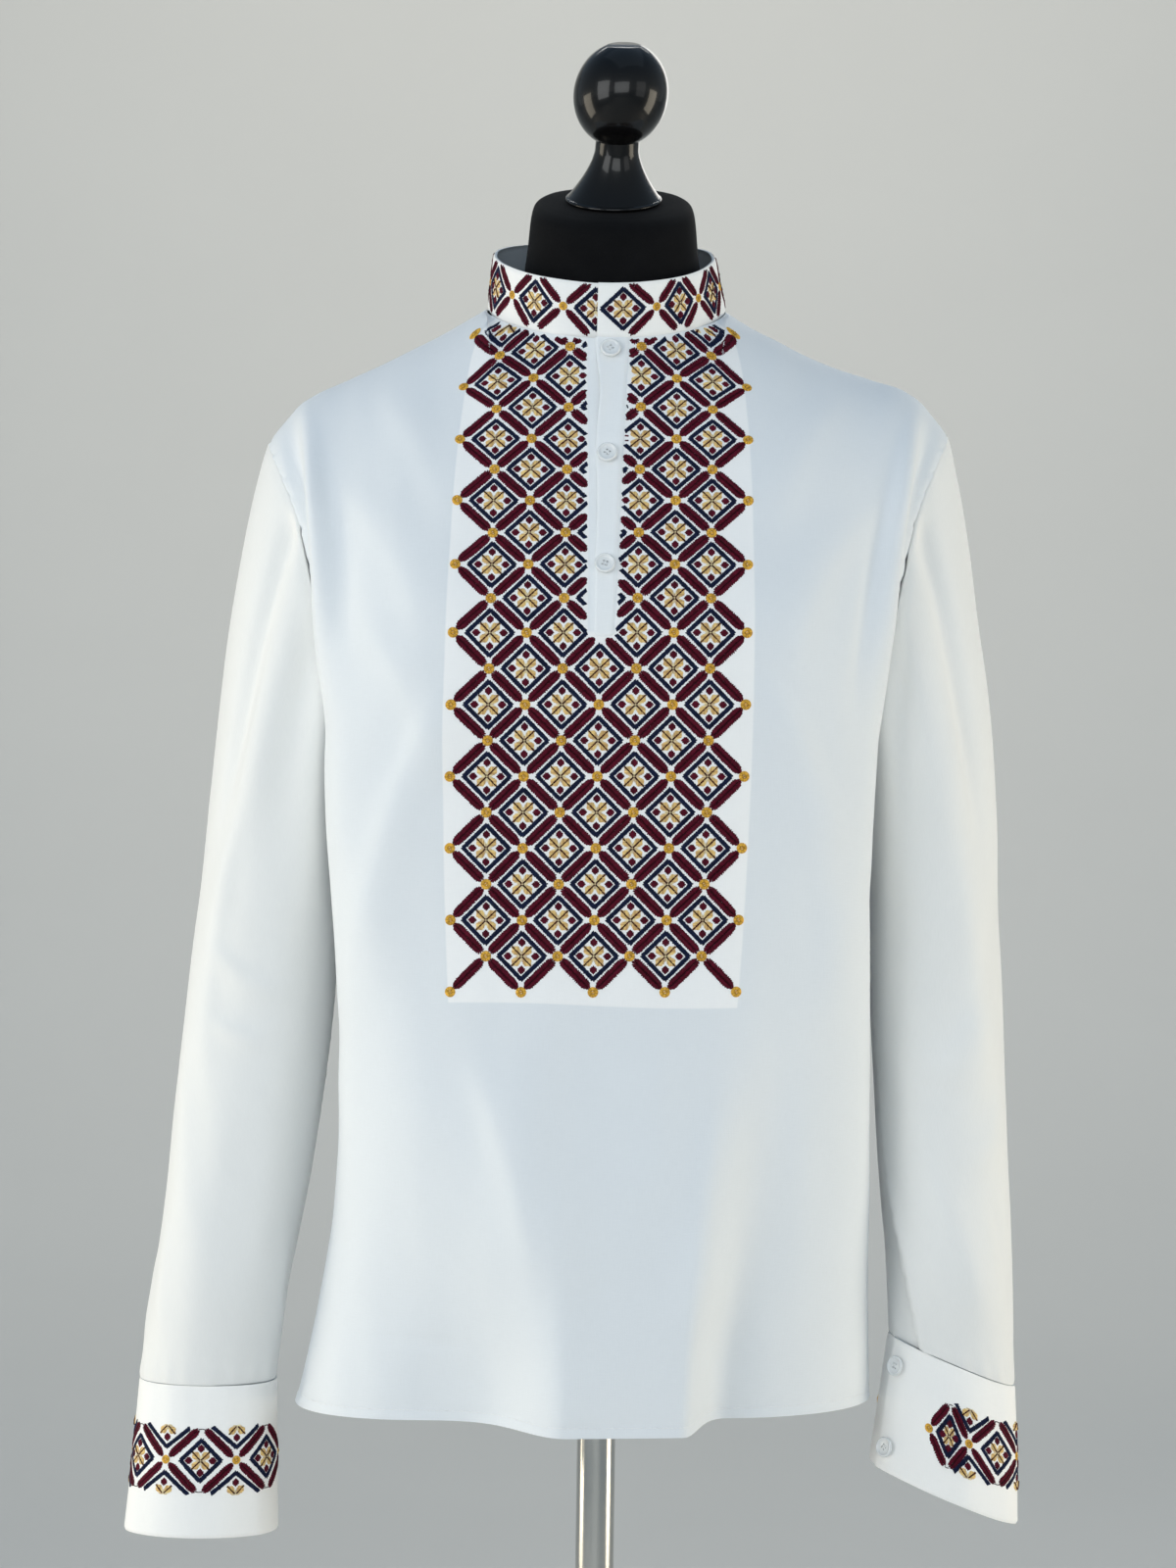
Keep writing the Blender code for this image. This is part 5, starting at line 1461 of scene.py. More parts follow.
def thread_mesh():
    """The threads that hold a button: two strands across each pair of holes."""
    bm = bmesh.new()
    z = BUTTON_THICKNESS * STRAND_FOOT - STRAND_SINK
    hole = HOLE_PLACE * sin(pi / 4)
    reach = hole + STRAND_LAP
    for y in (-hole, hole):
        for shift in (-STRAND_SHIFT, STRAND_SHIFT):
            strand(bm, (-reach, y + shift, z), (reach, y + shift, z))
    return mesh_of("button_thread", bm)


for number, distance in enumerate(BUTTON_DISTANCES, 1):
    row = float(np.interp(distance, depths[::-1, 0], np.arange(len(depths))[::-1]))
    low = int(row)
    column = int(np.argmin(np.abs(free[low] - (1 - BUTTON_ACROSS))))
    point = button_band[low, column] * (1 - row % 1) + button_band[low + 1, column] * (row % 1)
    normal = button_normals[low, column]
    turn = BUTTON_TURNS[0] + BUTTON_TURNS[1] * number
    button_places.append(ButtonPlace(f"button_{number}", point, normal, BUTTON_LIFT, turn))

button_disc = button_mesh()
button_thread = thread_mesh()
buttons = []
threads = bmesh.new()
for place in button_places:
    normal = Vector(place.normal.tolist())
    centre = Matrix.Translation(Vector(place.point.tolist()) + normal * (place.lift + BUTTON_GAP))
    turn = normal.to_track_quat("Z", "Y").to_matrix().to_4x4() @ Matrix.Rotation(place.turn, 4, "Z")
    copies = (button_disc.copy(), button_thread.copy())
    for mesh in copies:
        mesh.transform(centre @ turn)
    buttons.append(new_object(place.name + "_drilled", copies[0]))
    threads.from_mesh(copies[1])
button_threads = new_object("button_threads", mesh_of("button_threads", threads))
print("buttons", len(buttons), "faces each", len(button_disc.polygons))


# %% [markdown]
# ## Dress form and stand
#
# The form is a padded torso under stretched black jersey, with a flat-topped neck and a lacquered wooden
# finial. Most of it is under the shirt, so its sections are plain; what shows at the neck is smooth, and the
# jersey is pulled tight over its edge. Below the hem, a polished steel tube runs to a brushed round base.

# %% Form
FormRing = namedtuple("FormRing", "z half_x front back square pitch")
FORM_RINGS = table(
    FormRing,
    (0.800, 0.128, 0.074, 0.072, 2.3, 0),
    (0.806, 0.140, 0.084, 0.082, 2.3, 0),
    (0.830, 0.147, 0.090, 0.088, 2.3, 0),
    (0.900, 0.145, 0.094, 0.088, 2.4, 0),
    (0.990, 0.137, 0.094, 0.084, 2.4, 0),
    (1.070, 0.139, 0.100, 0.088, 2.5, 0),
    (1.150, 0.146, 0.112, 0.097, 2.6, 0),
    (1.230, 0.156, 0.117, 0.106, 2.6, 0),
    (1.290, 0.171, 0.100, 0.100, 2.4, 0),
    (1.335, 0.184, 0.073, 0.083, 2.2, 0),
    (1.365, 0.186, 0.048, 0.062, 2.1, 0),
    (1.382, 0.176, 0.036, 0.048, 2.1, 0),
    (1.396, 0.150, 0.034, 0.046, 2.0, 3),
    (1.409, 0.118, 0.038, 0.050, 2.0, 6),
    (1.424, 0.086, 0.044, 0.056, 2.0, 10),
    (1.446, 0.063, 0.050, 0.056, 2.2, 16),
    (1.480, 0.0565, 0.052, 0.052, 2.5, 21),
    (1.508, 0.0535, 0.050, 0.049, 2.6, 23),
    (1.5155, 0.0490, 0.045, 0.044, 2.6, 23),
    (1.5180, 0.0390, 0.036, 0.035, 2.5, 23),
)
FORM_MIDDLE = 0.004
FORM_SIDES = 128
FORM_STEPS = 110


def form_mesh():
    """The torso and neck: its rings read smoothly, closed flat above and below."""
    keys = np.arange(len(FORM_RINGS))
    at = np.linspace(0, keys[-1], FORM_STEPS + 1)
    rows = FormRing(*(through(keys, column, at)[:, None] for column in np.array(FORM_RINGS).T))
    turn = np.linspace(0, 2 * pi, FORM_SIDES, endpoint=False)[None, :]
    wide, deep = rounded_rectangle(turn, 2 / rows.square)
    x = rows.half_x * wide
    y = np.where(np.sin(turn) < 0, rows.front, rows.back) * deep
    z = rows.z + y * np.tan(np.radians(rows.pitch))
    bm = bmesh.new()
    skin(bm, [[bm.verts.new(point) for point in row] for row in np.stack([x, y + FORM_MIDDLE, z], axis=2)])
    return mesh_of("form_jersey", bm, radians(60))


form = new_object("form_jersey", form_mesh())

# %% Finial
FINIAL_FOOT = (0.0, 0.004, 1.5186)
FINIAL_FORWARD = radians(23)
FINIAL_SIDEWAYS = radians(3)
FINIAL_FOOT_RADIUS = 0.0316
FINIAL_FOOT_EDGE = 0.0030
FINIAL_FOOT_STEP = 0.0014
FINIAL_STEM_CURVE = 1.55
FINIAL_WAIST_RADIUS = 0.0142
FINIAL_WAIST_Z = 0.0350
FINIAL_BALL_RADIUS = 0.0307
FINIAL_BALL_HALF_HEIGHT = 0.0338
FINIAL_BALL_Z = 0.0703
FINIAL_TOP_DISC = 0.0113
FINIAL_TOP_RIM = 0.0008
FINIAL_TOP_STEP = 0.0003


def finial_profile():
    """A flat foot with a round edge, a hollow stem and a ball cut flat at its top."""
    foot = FINIAL_FOOT_RADIUS
    edge = FINIAL_FOOT_EDGE
    profile = [(0.0, 0.0), (foot - edge, 0.0)]
    for angle in np.linspace(0, pi, 9)[1:]:
        profile.append((foot - edge / 2 + edge / 2 * sin(angle), edge / 2 - edge / 2 * cos(angle)))
    flare = foot - FINIAL_FOOT_STEP - FINIAL_WAIST_RADIUS
    for part in np.linspace(0, 1, 21)[:-1]:
        z = edge + (FINIAL_WAIST_Z - edge) * part
        profile.append((FINIAL_WAIST_RADIUS + flare * (1 - part) ** FINIAL_STEM_CURVE, z))
    waist = asin(FINIAL_WAIST_RADIUS / FINIAL_BALL_RADIUS)
    top = asin(FINIAL_TOP_DISC / FINIAL_BALL_RADIUS)
    for angle in np.linspace(pi - waist, top, 33):
        z = FINIAL_BALL_Z + FINIAL_BALL_HALF_HEIGHT * cos(angle)
        profile.append((FINIAL_BALL_RADIUS * sin(angle), z))
    disc = profile[-1][1] + FINIAL_TOP_STEP
    return profile + [(FINIAL_TOP_DISC - FINIAL_TOP_RIM, disc), (0.0, disc)]


aslant = Matrix.Identity(4)
aslant[0][2] = tan(FINIAL_SIDEWAYS)
finial_mesh = mesh_of("finial_turned", lathe(finial_profile(), 96), radians(50))
finial_mesh.transform(Matrix.Translation(FINIAL_FOOT) @ Matrix.Rotation(FINIAL_FORWARD, 4, "X") @ aslant)
finial = new_object("finial_turned", finial_mesh)

# %% Pole and base
POLE_RADIUS = 0.0125
BASE_RADIUS = 0.170
BASE_EDGE = 0.008
BASE_CROWN = 0.014
BASE_BEVEL = 0.001
BASE_ROUND = 0.003
FERRULE_RADIUS = 0.020
FERRULE_HEIGHT = 0.022
TOUCH = 0.0004


def rounded(radius, height, corner, steps=6):
    """Points of a quarter round that ends a side at the given radius and height."""
    angles = np.linspace(0, pi / 2, steps)
    return [(radius - corner + corner * cos(a), height - corner + corner * sin(a)) for a in angles]


def turned(name, profile, sides):
    return new_object(name, mesh_of(name, lathe(profile, sides), radians(30)))


base_profile = [(0.0, 0.0), (BASE_RADIUS - BASE_BEVEL, 0.0), (BASE_RADIUS, BASE_BEVEL)]
base_profile += rounded(BASE_RADIUS, BASE_EDGE, BASE_ROUND)
for part in np.linspace(0.1, 1, 10):
    radius = BASE_RADIUS - BASE_ROUND + (FERRULE_RADIUS + BASE_ROUND - BASE_RADIUS + BASE_ROUND) * part
    base_profile.append((radius, BASE_EDGE + (BASE_CROWN - BASE_EDGE) * part))
base = turned("stand_base_brushed", [*base_profile, (0.0, BASE_CROWN)], 128)

foot = BASE_CROWN + TOUCH
pole_top = FORM_RINGS[0].z - TOUCH
pole_profile = [(0.0, foot), (FERRULE_RADIUS, foot)]
pole_profile += rounded(FERRULE_RADIUS, foot + FERRULE_HEIGHT, BASE_ROUND)
pole_profile += [(POLE_RADIUS, foot + FERRULE_HEIGHT + TOUCH), (POLE_RADIUS, pole_top), (0.0, pole_top)]
pole = turned("stand_pole_chrome", pole_profile, 64)
print("form, finial, pole and base ready")


# %% [markdown]
# ## Embroidery: one stitch
#
# A satin stitch is a short float of soft thread: widest in the middle, and pulled into the cloth at both
# ends. There are tens of thousands on such a shirt, so one stitch is twelve triangles. It is a unit long,
# wide and high, and each copy is scaled to its own length.

# %% A stitch
STITCH_SHOULDER = 0.40
STITCH_SINK = -0.35
STITCH_EDGE = STITCH_SINK * 0.3


def stitch_mesh():
    """A closed sliver along X: two three-sided rings and a point at each end."""
    bm = bmesh.new()
    rings = []
    for x in (-STITCH_SHOULDER, STITCH_SHOULDER):
        corners = ((x, -0.5, STITCH_EDGE), (x, 0.5, STITCH_EDGE), (x, 0.0, 1.0))
        rings.append([bm.verts.new(corner) for corner in corners])
    ends = [bm.verts.new((x, 0.0, STITCH_SINK)) for x in (-0.5, 0.5)]
    for k in range(3):
        j = (k + 1) % 3
        bm.faces.new([rings[0][k], rings[0][j], rings[1][j], rings[1][k]])
        bm.faces.new([rings[0][j], rings[0][k], ends[0]])
        bm.faces.new([rings[1][k], rings[1][j], ends[1]])
    bmesh.ops.triangulate(bm, faces=bm.faces)
    return mesh_of("stitch", bm, radians(180))


stitch = new_object("stitch", stitch_mesh())
print("stitch faces", len(stitch.data.polygons))


# %% [markdown]
# ## Embroidery: laying a flat chart on the cloth
#
# The pattern is drawn flat, in metres, as one point for each stitch with its turn, length, width and height.
# Geometry Nodes put a stitch on each point, and then carry every corner to the cloth: the chart's x and y are
# the cloth coordinates, so they find the place on the shirt with that UV, and the corner's height lifts it
# along the cloth's normal. Modelling the stitches straight on the curved shirt would bend the pattern, while
# this keeps it counted, as real embroidery is. The order is instances, realise, wrap, material.

# %% The wrapping tree
GIVEN = {
    "Chart": "Geometry",
    "Stitch": "Object",
    "Cloth": "Object",
    "Thread height": "Float",
    "Thread": "Material",
}


def named(tree, name, kind="FLOAT_VECTOR"):
    attribute = add_node(tree, "GeometryNodeInputNamedAttribute", {"Name": name}, data_type=kind)
    return attribute.outputs["Attribute"]


def original(tree, thing):
    info = add_node(tree, "GeometryNodeObjectInfo", {"Object": thing}, transform_space="ORIGINAL")
    return info.outputs["Geometry"]


def wrapping_tree():
    tree, given, result = start_group("lay_stitches", "GeometryNodeTree", GIVEN, {"Embroidery": "Geometry"})
    inputs = {
        "Points": given["Chart"],
        "Instance": original(tree, given["Stitch"]),
        "Rotation": add_node(tree, "ShaderNodeCombineXYZ", {"Z": named(tree, "turn", "FLOAT")}).outputs[0],
        "Scale": named(tree, "size"),
    }
    stitches = add_node(tree, "GeometryNodeInstanceOnPoints", inputs).outputs["Instances"]
    corners = add_node(tree, "GeometryNodeRealizeInstances", {"Geometry": stitches}).outputs["Geometry"]

    place = add_node(tree, "GeometryNodeInputPosition").outputs[0]
    parts = split(tree, place)
    inputs = {"X": parts["X"], "Y": maths(tree, "MULTIPLY", parts["Y"], -1.0)}
    flat = add_node(tree, "ShaderNodeCombineXYZ", inputs).outputs[0]
    cloth = {"Mesh": original(tree, given["Cloth"]), "Source UV Map": named(tree, "cloth"), "Sample UV": flat}

    def on_cloth(value):
        inputs = {**cloth, "Value": value}
        sampled = add_node(tree, "GeometryNodeSampleUVSurface", inputs, data_type="FLOAT_VECTOR")
        return sampled.outputs["Value"]

    height = maths(tree, "MULTIPLY", parts["Z"], given["Thread height"])
    inputs = {0: on_cloth(named(tree, "facing")), "Scale": height}
    lift = add_node(tree, "ShaderNodeVectorMath", inputs, operation="SCALE").outputs[0]
    inputs = {0: on_cloth(place), 1: lift}
    wrapped = add_node(tree, "ShaderNodeVectorMath", inputs, operation="ADD").outputs[0]
    inputs = {"Geometry": corners, "Position": wrapped}
    corners = add_node(tree, "GeometryNodeSetPosition", inputs).outputs["Geometry"]
    inputs = {"Geometry": corners, "Material": given["Thread"]}
    corners = add_node(tree, "GeometryNodeSetMaterial", inputs).outputs["Geometry"]
    fill(tree, result, {"Embroidery": corners})
    return tree


lay_stitches = wrapping_tree()
sockets = {item.name: item.identifier for item in lay_stitches.interface.items_tree if item.in_out == "INPUT"}
THREAD_HEIGHT = 1.0
LONGEST_STITCH = 0.020
LOWEST_STITCH = 0.5


def wrapped(name, stitches, surface, material):
    """One mesh of every stitch, laid on the surface by the tree above."""
    mesh = bpy.data.meshes.new(name)
    mesh.from_pydata(np.pad(stitches[:, :2], ((0, 0), (0, 1))).tolist(), [], [])
    set_points(mesh, "turn", "FLOAT", stitches[:, 2])
    set_points(mesh, "size", "FLOAT_VECTOR", stitches[:, 3:6])
    set_points(mesh, "tone", "FLOAT", stitches[:, 6])
    chart = new_object(name, mesh)
    laid = chart.modifiers.new("lay", "NODES")
    laid.node_group = lay_stitches
    given = {"Stitch": stitch, "Cloth": surface, "Thread height": THREAD_HEIGHT, "Thread": material}
    for label, value in given.items():
        laid[sockets[label]] = value
    return made_plain(chart)


def on_cloth(mesh, count):
    """Which stitches lie on the cloth whole: one that hangs over its edge has corners far away."""
    corners = np.empty(len(mesh.vertices) * 3)
    mesh.vertices.foreach_get("co", corners)
    corners = corners.reshape(count, -1, 3)
    spread = np.ptp(corners, axis=1).max(axis=1)
    return (spread < LONGEST_STITCH) & (corners[:, :, 2].min(axis=1) > LOWEST_STITCH)


def lay_chart(name, stitches, surface, material):
    """Wraps an array of stitches (x, y, turn, length, width, height, tone) on a surface as a plain mesh."""
    mesh = wrapped(name, stitches, surface, material)
    whole = on_cloth(mesh, len(stitches))
    if not whole.all():
        print(name, "leaves out", int((~whole).sum()), "stitches over the cloth's edge")
        mesh = wrapped(name, stitches[whole], surface, material)
    laid = new_object(name, mesh)
    mesh.shade_smooth()
    for spare in ("turn", "size"):
        if spare in mesh.attributes:
            mesh.attributes.remove(mesh.attributes[spare])
    print(name, int(whole.sum()), "stitches", len(mesh.polygons), "faces")
    return laid


# %% [markdown]
# ## Embroidery: the pattern
#
# The pattern is an old one: a lattice of diamonds, sewn in satin stitch. A round gold knot sits on every
# crossing and a burgundy bar runs between each two knots. Each bar has two halves with slanting stitches and
# a dark line down its middle. Inside every diamond there is a navy diamond, and in it a star with four forked
# arms and four small burgundy seeds. Each motif below is a function that adds its stitches to a work basket.
# Stitches vary a little in length, as those of a hand or a machine do, from a fixed seed.

# %% Work basket
Chart = namedtuple("Chart", "chance basket keep stop")
STITCH_WIDTH = 0.00098
STITCH_HEIGHT = 0.00052
STITCH_LAP = 1.12
TURN_SPREAD = 0.035
WIDTH_SPREAD = (0.9, 1.12)
HEIGHT_SPREAD = (0.82, 1.15)


def anywhere(x, y):
    return np.ones(np.shape(x), bool)


def new_chart(seed, keep, stop=anywhere):
    """keep(x, y) says which stitches fall on the cloth, and stop(x, y) where a bar may run."""
    return Chart(np.random.default_rng(seed), {}, keep, stop)


def add_floats(chart, colour, starts, ends, width=STITCH_WIDTH, height=STITCH_HEIGHT):
    """Adds stitches between two lists of points."""
    run_x, run_y = (np.atleast_2d(ends) - starts).T
    middle_x, middle_y = (np.atleast_2d(starts) + ends).T / 2
    count = len(run_x)
    chance = chart.chance
    stitches = (
        middle_x,
        middle_y,
        np.arctan2(run_y, run_x) + chance.normal(0, TURN_SPREAD, count),
        np.hypot(run_x, run_y) * STITCH_LAP,
        width * chance.uniform(*WIDTH_SPREAD, count),
        height * chance.uniform(*HEIGHT_SPREAD, count),
        chance.uniform(0, 1, count),
    )
    chart.basket.setdefault(colour, []).append(np.stack(stitches, axis=1))


def add_line(chart, colour, points, width, height):
    """Adds stitches from each point to the next."""
    add_floats(chart, colour, points[:-1], points[1:], width, height)


def emptied(chart, colour):
    """All stitches of a colour that fall on the cloth."""
    stitches = np.concatenate(chart.basket[colour])
    reach = stitches[:, 3:4] / 2 * np.stack([np.cos(stitches[:, 2]), np.sin(stitches[:, 2])], axis=1)
    kept = [chart.keep(*(stitches[:, :2] + sign * reach).T) for sign in (-1, 0, 1)]
    return stitches[np.all(kept, axis=0)]


# %% Motifs
KNOT_RADIUS = 0.0033
KNOT_EYE = 0.0009
KNOT_RING = 0.00135
KNOT_LINE = (0.00050, 0.0008)
KNOT_MIDDLE = (0.0010, 0.0010)
PETAL_WIDTH = 0.00118
BAR_INSET = 0.0037
BAR_HALF_WIDTH = 0.0031
BAR_TIP = 0.0052
BAR_TIP_START = 0.0006
BAR_SLANT = 0.0011
BAR_PITCH = 0.00070
BAR_TRUST = 0.5
BAR_WIDTH = 0.00096
BAR_JAG = (0.00018, -0.000144)
BAR_SPREAD = 0.00013
BAR_OVERLAP = 0.00005
LEAST_SPOTS = 6
PADDING_INSET = 0.0012
PADDING_AT = 0.48
PADDING_SHARE = 0.9
PADDING_HEIGHT = 0.00030
VEIN_INSET = 0.0006
VEIN_POINTS = 9
VEIN_SPREAD = 0.00007
VEIN_LINE = (0.00062, 0.00080)
NAVY_REACH = 0.0143
NAVY_WIDTH = 0.0027
NAVY_SLANT = 0.0005
NAVY_PITCH = 0.00074
NAVY_JAG = (0.00008, -0.000048)
NAVY_SPREAD = 0.0001
SEED_AT = 0.0085
SEED_ROWS = (-0.00165, -0.00083, 0.0, 0.00083, 0.00165)
SEED_LENGTHS = (0.0024, 0.0040, 0.0053, 0.0040, 0.0024)
SEED_WIDTH = 0.00122
STAR_HALF = 0.0062
STAR_EDGE_AT = (0.0, 0.0006, 0.0012, 0.0019, 0.0026, 0.0035, 0.0043, 0.0051, 0.0059)
STAR_EDGE_TO = (0.0027, 0.0033, 0.0044, 0.0057, 0.0063, 0.0061, 0.0058, 0.0063, 0.0061)
STAR_FIRST = 0.0002
STAR_PITCH = 0.00066
STAR_HEART = 0.0012
STAR_LINE = (0.00150, 0.00110)
STAR_RING = 0.0009
RING_LINE = (0.00070, 0.00100)
RING_MIDDLE = (0.0007, 0.0011)
ALL_ARMS = ((1, 1), (-1, 1), (-1, -1), (1, -1))


def lean(vector):
    """A vector turned a quarter to the left."""
    return np.stack([-vector[..., 1], vector[..., 0]], axis=-1)


def way(first, last):
    """The direction from one point to another, and the distance."""
    run = last - first
    length = np.hypot(*run)
    return run / length, length


def circle(count):
    turns = np.linspace(0, 2 * pi, count + 1)
    return np.stack([np.cos(turns), np.sin(turns)], axis=1)


def places(begin, end, pitch):
    """Evenly spaced places, about a pitch apart."""
    return np.linspace(begin, end, max(3, int(round((end - begin) / pitch))))


def jagged(chart, count, jag, spread):
    """How far each of a row of stitches reaches beyond its line: by turns more and less, and by chance."""
    return np.resize(jag, count) + chart.chance.normal(0, spread, count)


def bar(chart, first, last, half_width=BAR_HALF_WIDTH):
    """A burgundy bar between two knots: padding, two slanting halves and a dark line between them."""
    run, length = way(first, last)
    spots = np.arange(BAR_INSET, length - BAR_INSET, BAR_PITCH / 2)
    free = np.ones(len(spots), bool)
    for side in (-BAR_TRUST, BAR_TRUST):
        free &= chart.stop(*(first + run * spots[:, None] + lean(run) * side * half_width).T)
    if free.sum() < LEAST_SPOTS:
        return
    begin, end = spots[free][[0, -1]]
    at = places(begin, end, BAR_PITCH)
    from_tip = np.clip((np.minimum(at - begin, end - at) + BAR_TIP_START) / BAR_TIP, 0, 1)
    round_tip = np.sqrt(np.clip(1 - (1 - from_tip) ** 2, 0, 1))
    padding = np.linspace(begin + PADDING_INSET, end - PADDING_INSET, 4)
    for side in (-1, 1):
        width = half_width * round_tip + jagged(chart, len(at), BAR_JAG, BAR_SPREAD)
        inner = first + run * (at - BAR_SLANT * 0.4)[:, None] + lean(run) * side * BAR_OVERLAP
        outer = first + run * (at + BAR_SLANT * 0.6)[:, None] + lean(run) * side * width[:, None]
        add_floats(chart, "burgundy", inner, outer, BAR_WIDTH)
        pad = first + run * padding[:, None] + lean(run) * side * half_width * PADDING_AT
        add_line(chart, "burgundy", pad, half_width * PADDING_SHARE, PADDING_HEIGHT)
    vein = np.linspace(begin + VEIN_INSET, end - VEIN_INSET, VEIN_POINTS)
    wander = lean(run) * chart.chance.normal(0, VEIN_SPREAD, (VEIN_POINTS, 1))
    add_line(chart, "dark", first + run * vein[:, None] + wander, *VEIN_LINE)


def navy_side(chart, first, last):
    """One side of a navy diamond, with slanting stitches across it."""
    run, length = way(first, last)
    at = places(0, length, NAVY_PITCH)
    width = NAVY_WIDTH / 2 + jagged(chart, len(at), NAVY_JAG, NAVY_SPREAD)
    middle = first + run * at[:, None]
    reach = lean(run) * width[:, None] + run * NAVY_SLANT
    add_floats(chart, "navy", middle - reach, middle + reach)


def star(chart, centre, across_unit, up_unit, arms=ALL_ARMS):
    """A star with four forked arms on the diagonals, a dark line down each and a knot in the middle."""
    at = np.arange(STAR_FIRST, STAR_HALF - STAR_FIRST, STAR_PITCH)
    to = np.interp(at, STAR_EDGE_AT, STAR_EDGE_TO)
    heart = at < STAR_HEART
    for sx, sy in arms:
        for flip in (1, -1):
            along, outward = (across_unit * sx, up_unit * sy)[::flip]
            start = centre + (along + outward) * at[:, None]
            tip = centre + along * at[:, None] + outward * to[:, None]
            for colour, part in (("straw", ~heart), ("peach", heart)):
                add_floats(chart, colour, start[part], tip[part], PETAL_WIDTH)
        line = np.linspace(STAR_RING * 0.7, STAR_HALF - STAR_FIRST / 2, 4)
        add_line(chart, "brown", centre + (across_unit * sx + up_unit * sy) * line[:, None], *STAR_LINE)
    if len(arms) == len(ALL_ARMS):
        ring = circle(8) * STAR_RING
        add_line(chart, "brown", centre + ring, *RING_LINE)
        ends = ring[:3] * 0.62
        add_floats(chart, "peach", centre - ends, centre + ends, *RING_MIDDLE)


def seed(chart, centre, direction):
    """A pointed burgundy seed beside a star."""
    out = direction / np.hypot(*direction)
    middle = centre + direction * SEED_AT + lean(out) * np.array(SEED_ROWS)[:, None]
    if not chart.keep(*middle.T).all():
        return
    reach = out * np.array(SEED_LENGTHS)[:, None] / 2
    add_floats(chart, "burgundy", middle - reach, middle + reach, SEED_WIDTH)


def diamond(chart, centre, wide, high):
    """A navy diamond and what is in it. It is stretched across by wide and up by high."""
    across_unit = np.array([wide, 0.0])
    up_unit = np.array([0.0, high])
    directions = (across_unit, up_unit, -across_unit, -up_unit)
    tips = [centre + direction * NAVY_REACH for direction in directions]
    for k in range(4):
        navy_side(chart, tips[k], tips[(k + 1) % 4])
        seed(chart, centre, directions[k])
    star(chart, centre, across_unit, up_unit)


def knot(chart, centre, size=1.0):
    """A round gold knot: stitches from its rim to a small ring, and a raised middle."""
    rim = circle(24)[:-1] * size
    if not chart.keep(*(centre + rim * KNOT_RADIUS).T).all():
        return
    add_floats(chart, "gold", centre + rim * KNOT_EYE, centre + rim * KNOT_RADIUS, PETAL_WIDTH)
    ring = rim[::2] * KNOT_RING
    add_floats(chart, "ochre", centre + ring, centre + np.roll(ring, -1, axis=0), *KNOT_LINE)
    eye = rim[:4] * KNOT_EYE
    add_floats(chart, "gold", centre - eye, centre + eye, *KNOT_MIDDLE)


# %% The lattice
COLUMN_WIDTH = 0.0455
HALF_ROW = 0.0222
LATTICE_ROWS = (-0.0165, 0.0265, 0.0718, 0.1140, 0.1566, 0.2006, 0.2452, 0.2896, 0.3340, 0.3785, 0.4230)
LAST_ROW = len(LATTICE_ROWS) - 1
NARROWING = 0.024
NARROWING_ROWS = (7.0, 10.0)
TILT = 0.014
SLOT_MARGIN = 0.0004
NECK_MARGIN = 0.0008


def lattice_point(column, row):
    """A crossing of the lattice. Whole columns and rows hold knots, and so do half columns on half rows."""
    x = column * COLUMN_WIDTH * (1 - NARROWING * ramp(row, *NARROWING_ROWS))
    return np.array([x, TILT * x - np.interp(row, range(LAST_ROW + 1), LATTICE_ROWS)])


def off_placket(x, y):
    """Whether a point of the chart lies beside or below the placket."""
    part = np.clip(-y / SLOT_LENGTH, 0, 1)
    left, right = (top + (end - top) * part for top, end in zip(SLOT_TOP, SLOT_END))
    left = left - SLOT_MARGIN
    right = right + SLOT_MARGIN
    below = -y - SLOT_LENGTH - SLOT_MARGIN
    cap_share = (x - (left + right) / 2) / (right - left) * 2
    cap_reach = CAP_LEAST + CAP_DEPTH * np.sqrt(np.clip(1 - cap_share**2, 0, 1))
    return (np.abs(cap_share) >= 1) | (below >= cap_reach)


def on_front(x, y):
    """Whether a point of the chart lies on the front, off the placket and below the neck seam."""
    order = np.argsort(across[-1])
    neckline = np.interp(x, across[-1][order], down[-1][order])
    return (-y > neckline + NECK_MARGIN) & off_placket(x, y)


def embroider_front(chart):
    for row in range(LAST_ROW + 1):
        for column in range(-2, 3):
            here = lattice_point(column, row)
            knot(chart, here)
            for step, half in ((-0.5, 0.5), (-0.5, -0.5), (0.5, 0.5), (0.5, -0.5)):
                if abs(column + step) < 2 and 0 <= row + half <= LAST_ROW:
                    bar(chart, here, lattice_point(column + step, row + half))
    halves = np.arange(-1.5, 2)
    for row in np.arange(0, LAST_ROW, 0.5):
        whole = row % 1 == 0
        for column in () if whole else halves:
            knot(chart, lattice_point(column, row))
        for column in halves if whole else (-1, 0, 1):
            centre = lattice_point(column, row)
            high = (centre - lattice_point(column, row + 0.5))[1] / HALF_ROW
            diamond(chart, centre, 1.0, high)


front_work = new_chart(5, on_front, off_placket)
embroider_front(front_work)
print("front stitches", {colour: len(emptied(front_work, colour)) for colour in front_work.basket})


# %% [markdown]
# ## Embroidery: collar and cuffs
#
# The collar and the cuffs carry one row of the same lattice. Their motifs are a little smaller, because the
# bands are narrow. The collar is cut after it is embroidered, so its edges cut the pattern off. A cuff's row
# has free edges: a thin thread joins each pair of bars, and above and below every knot there is half a
# diamond, whose two lines run on beside the bars.

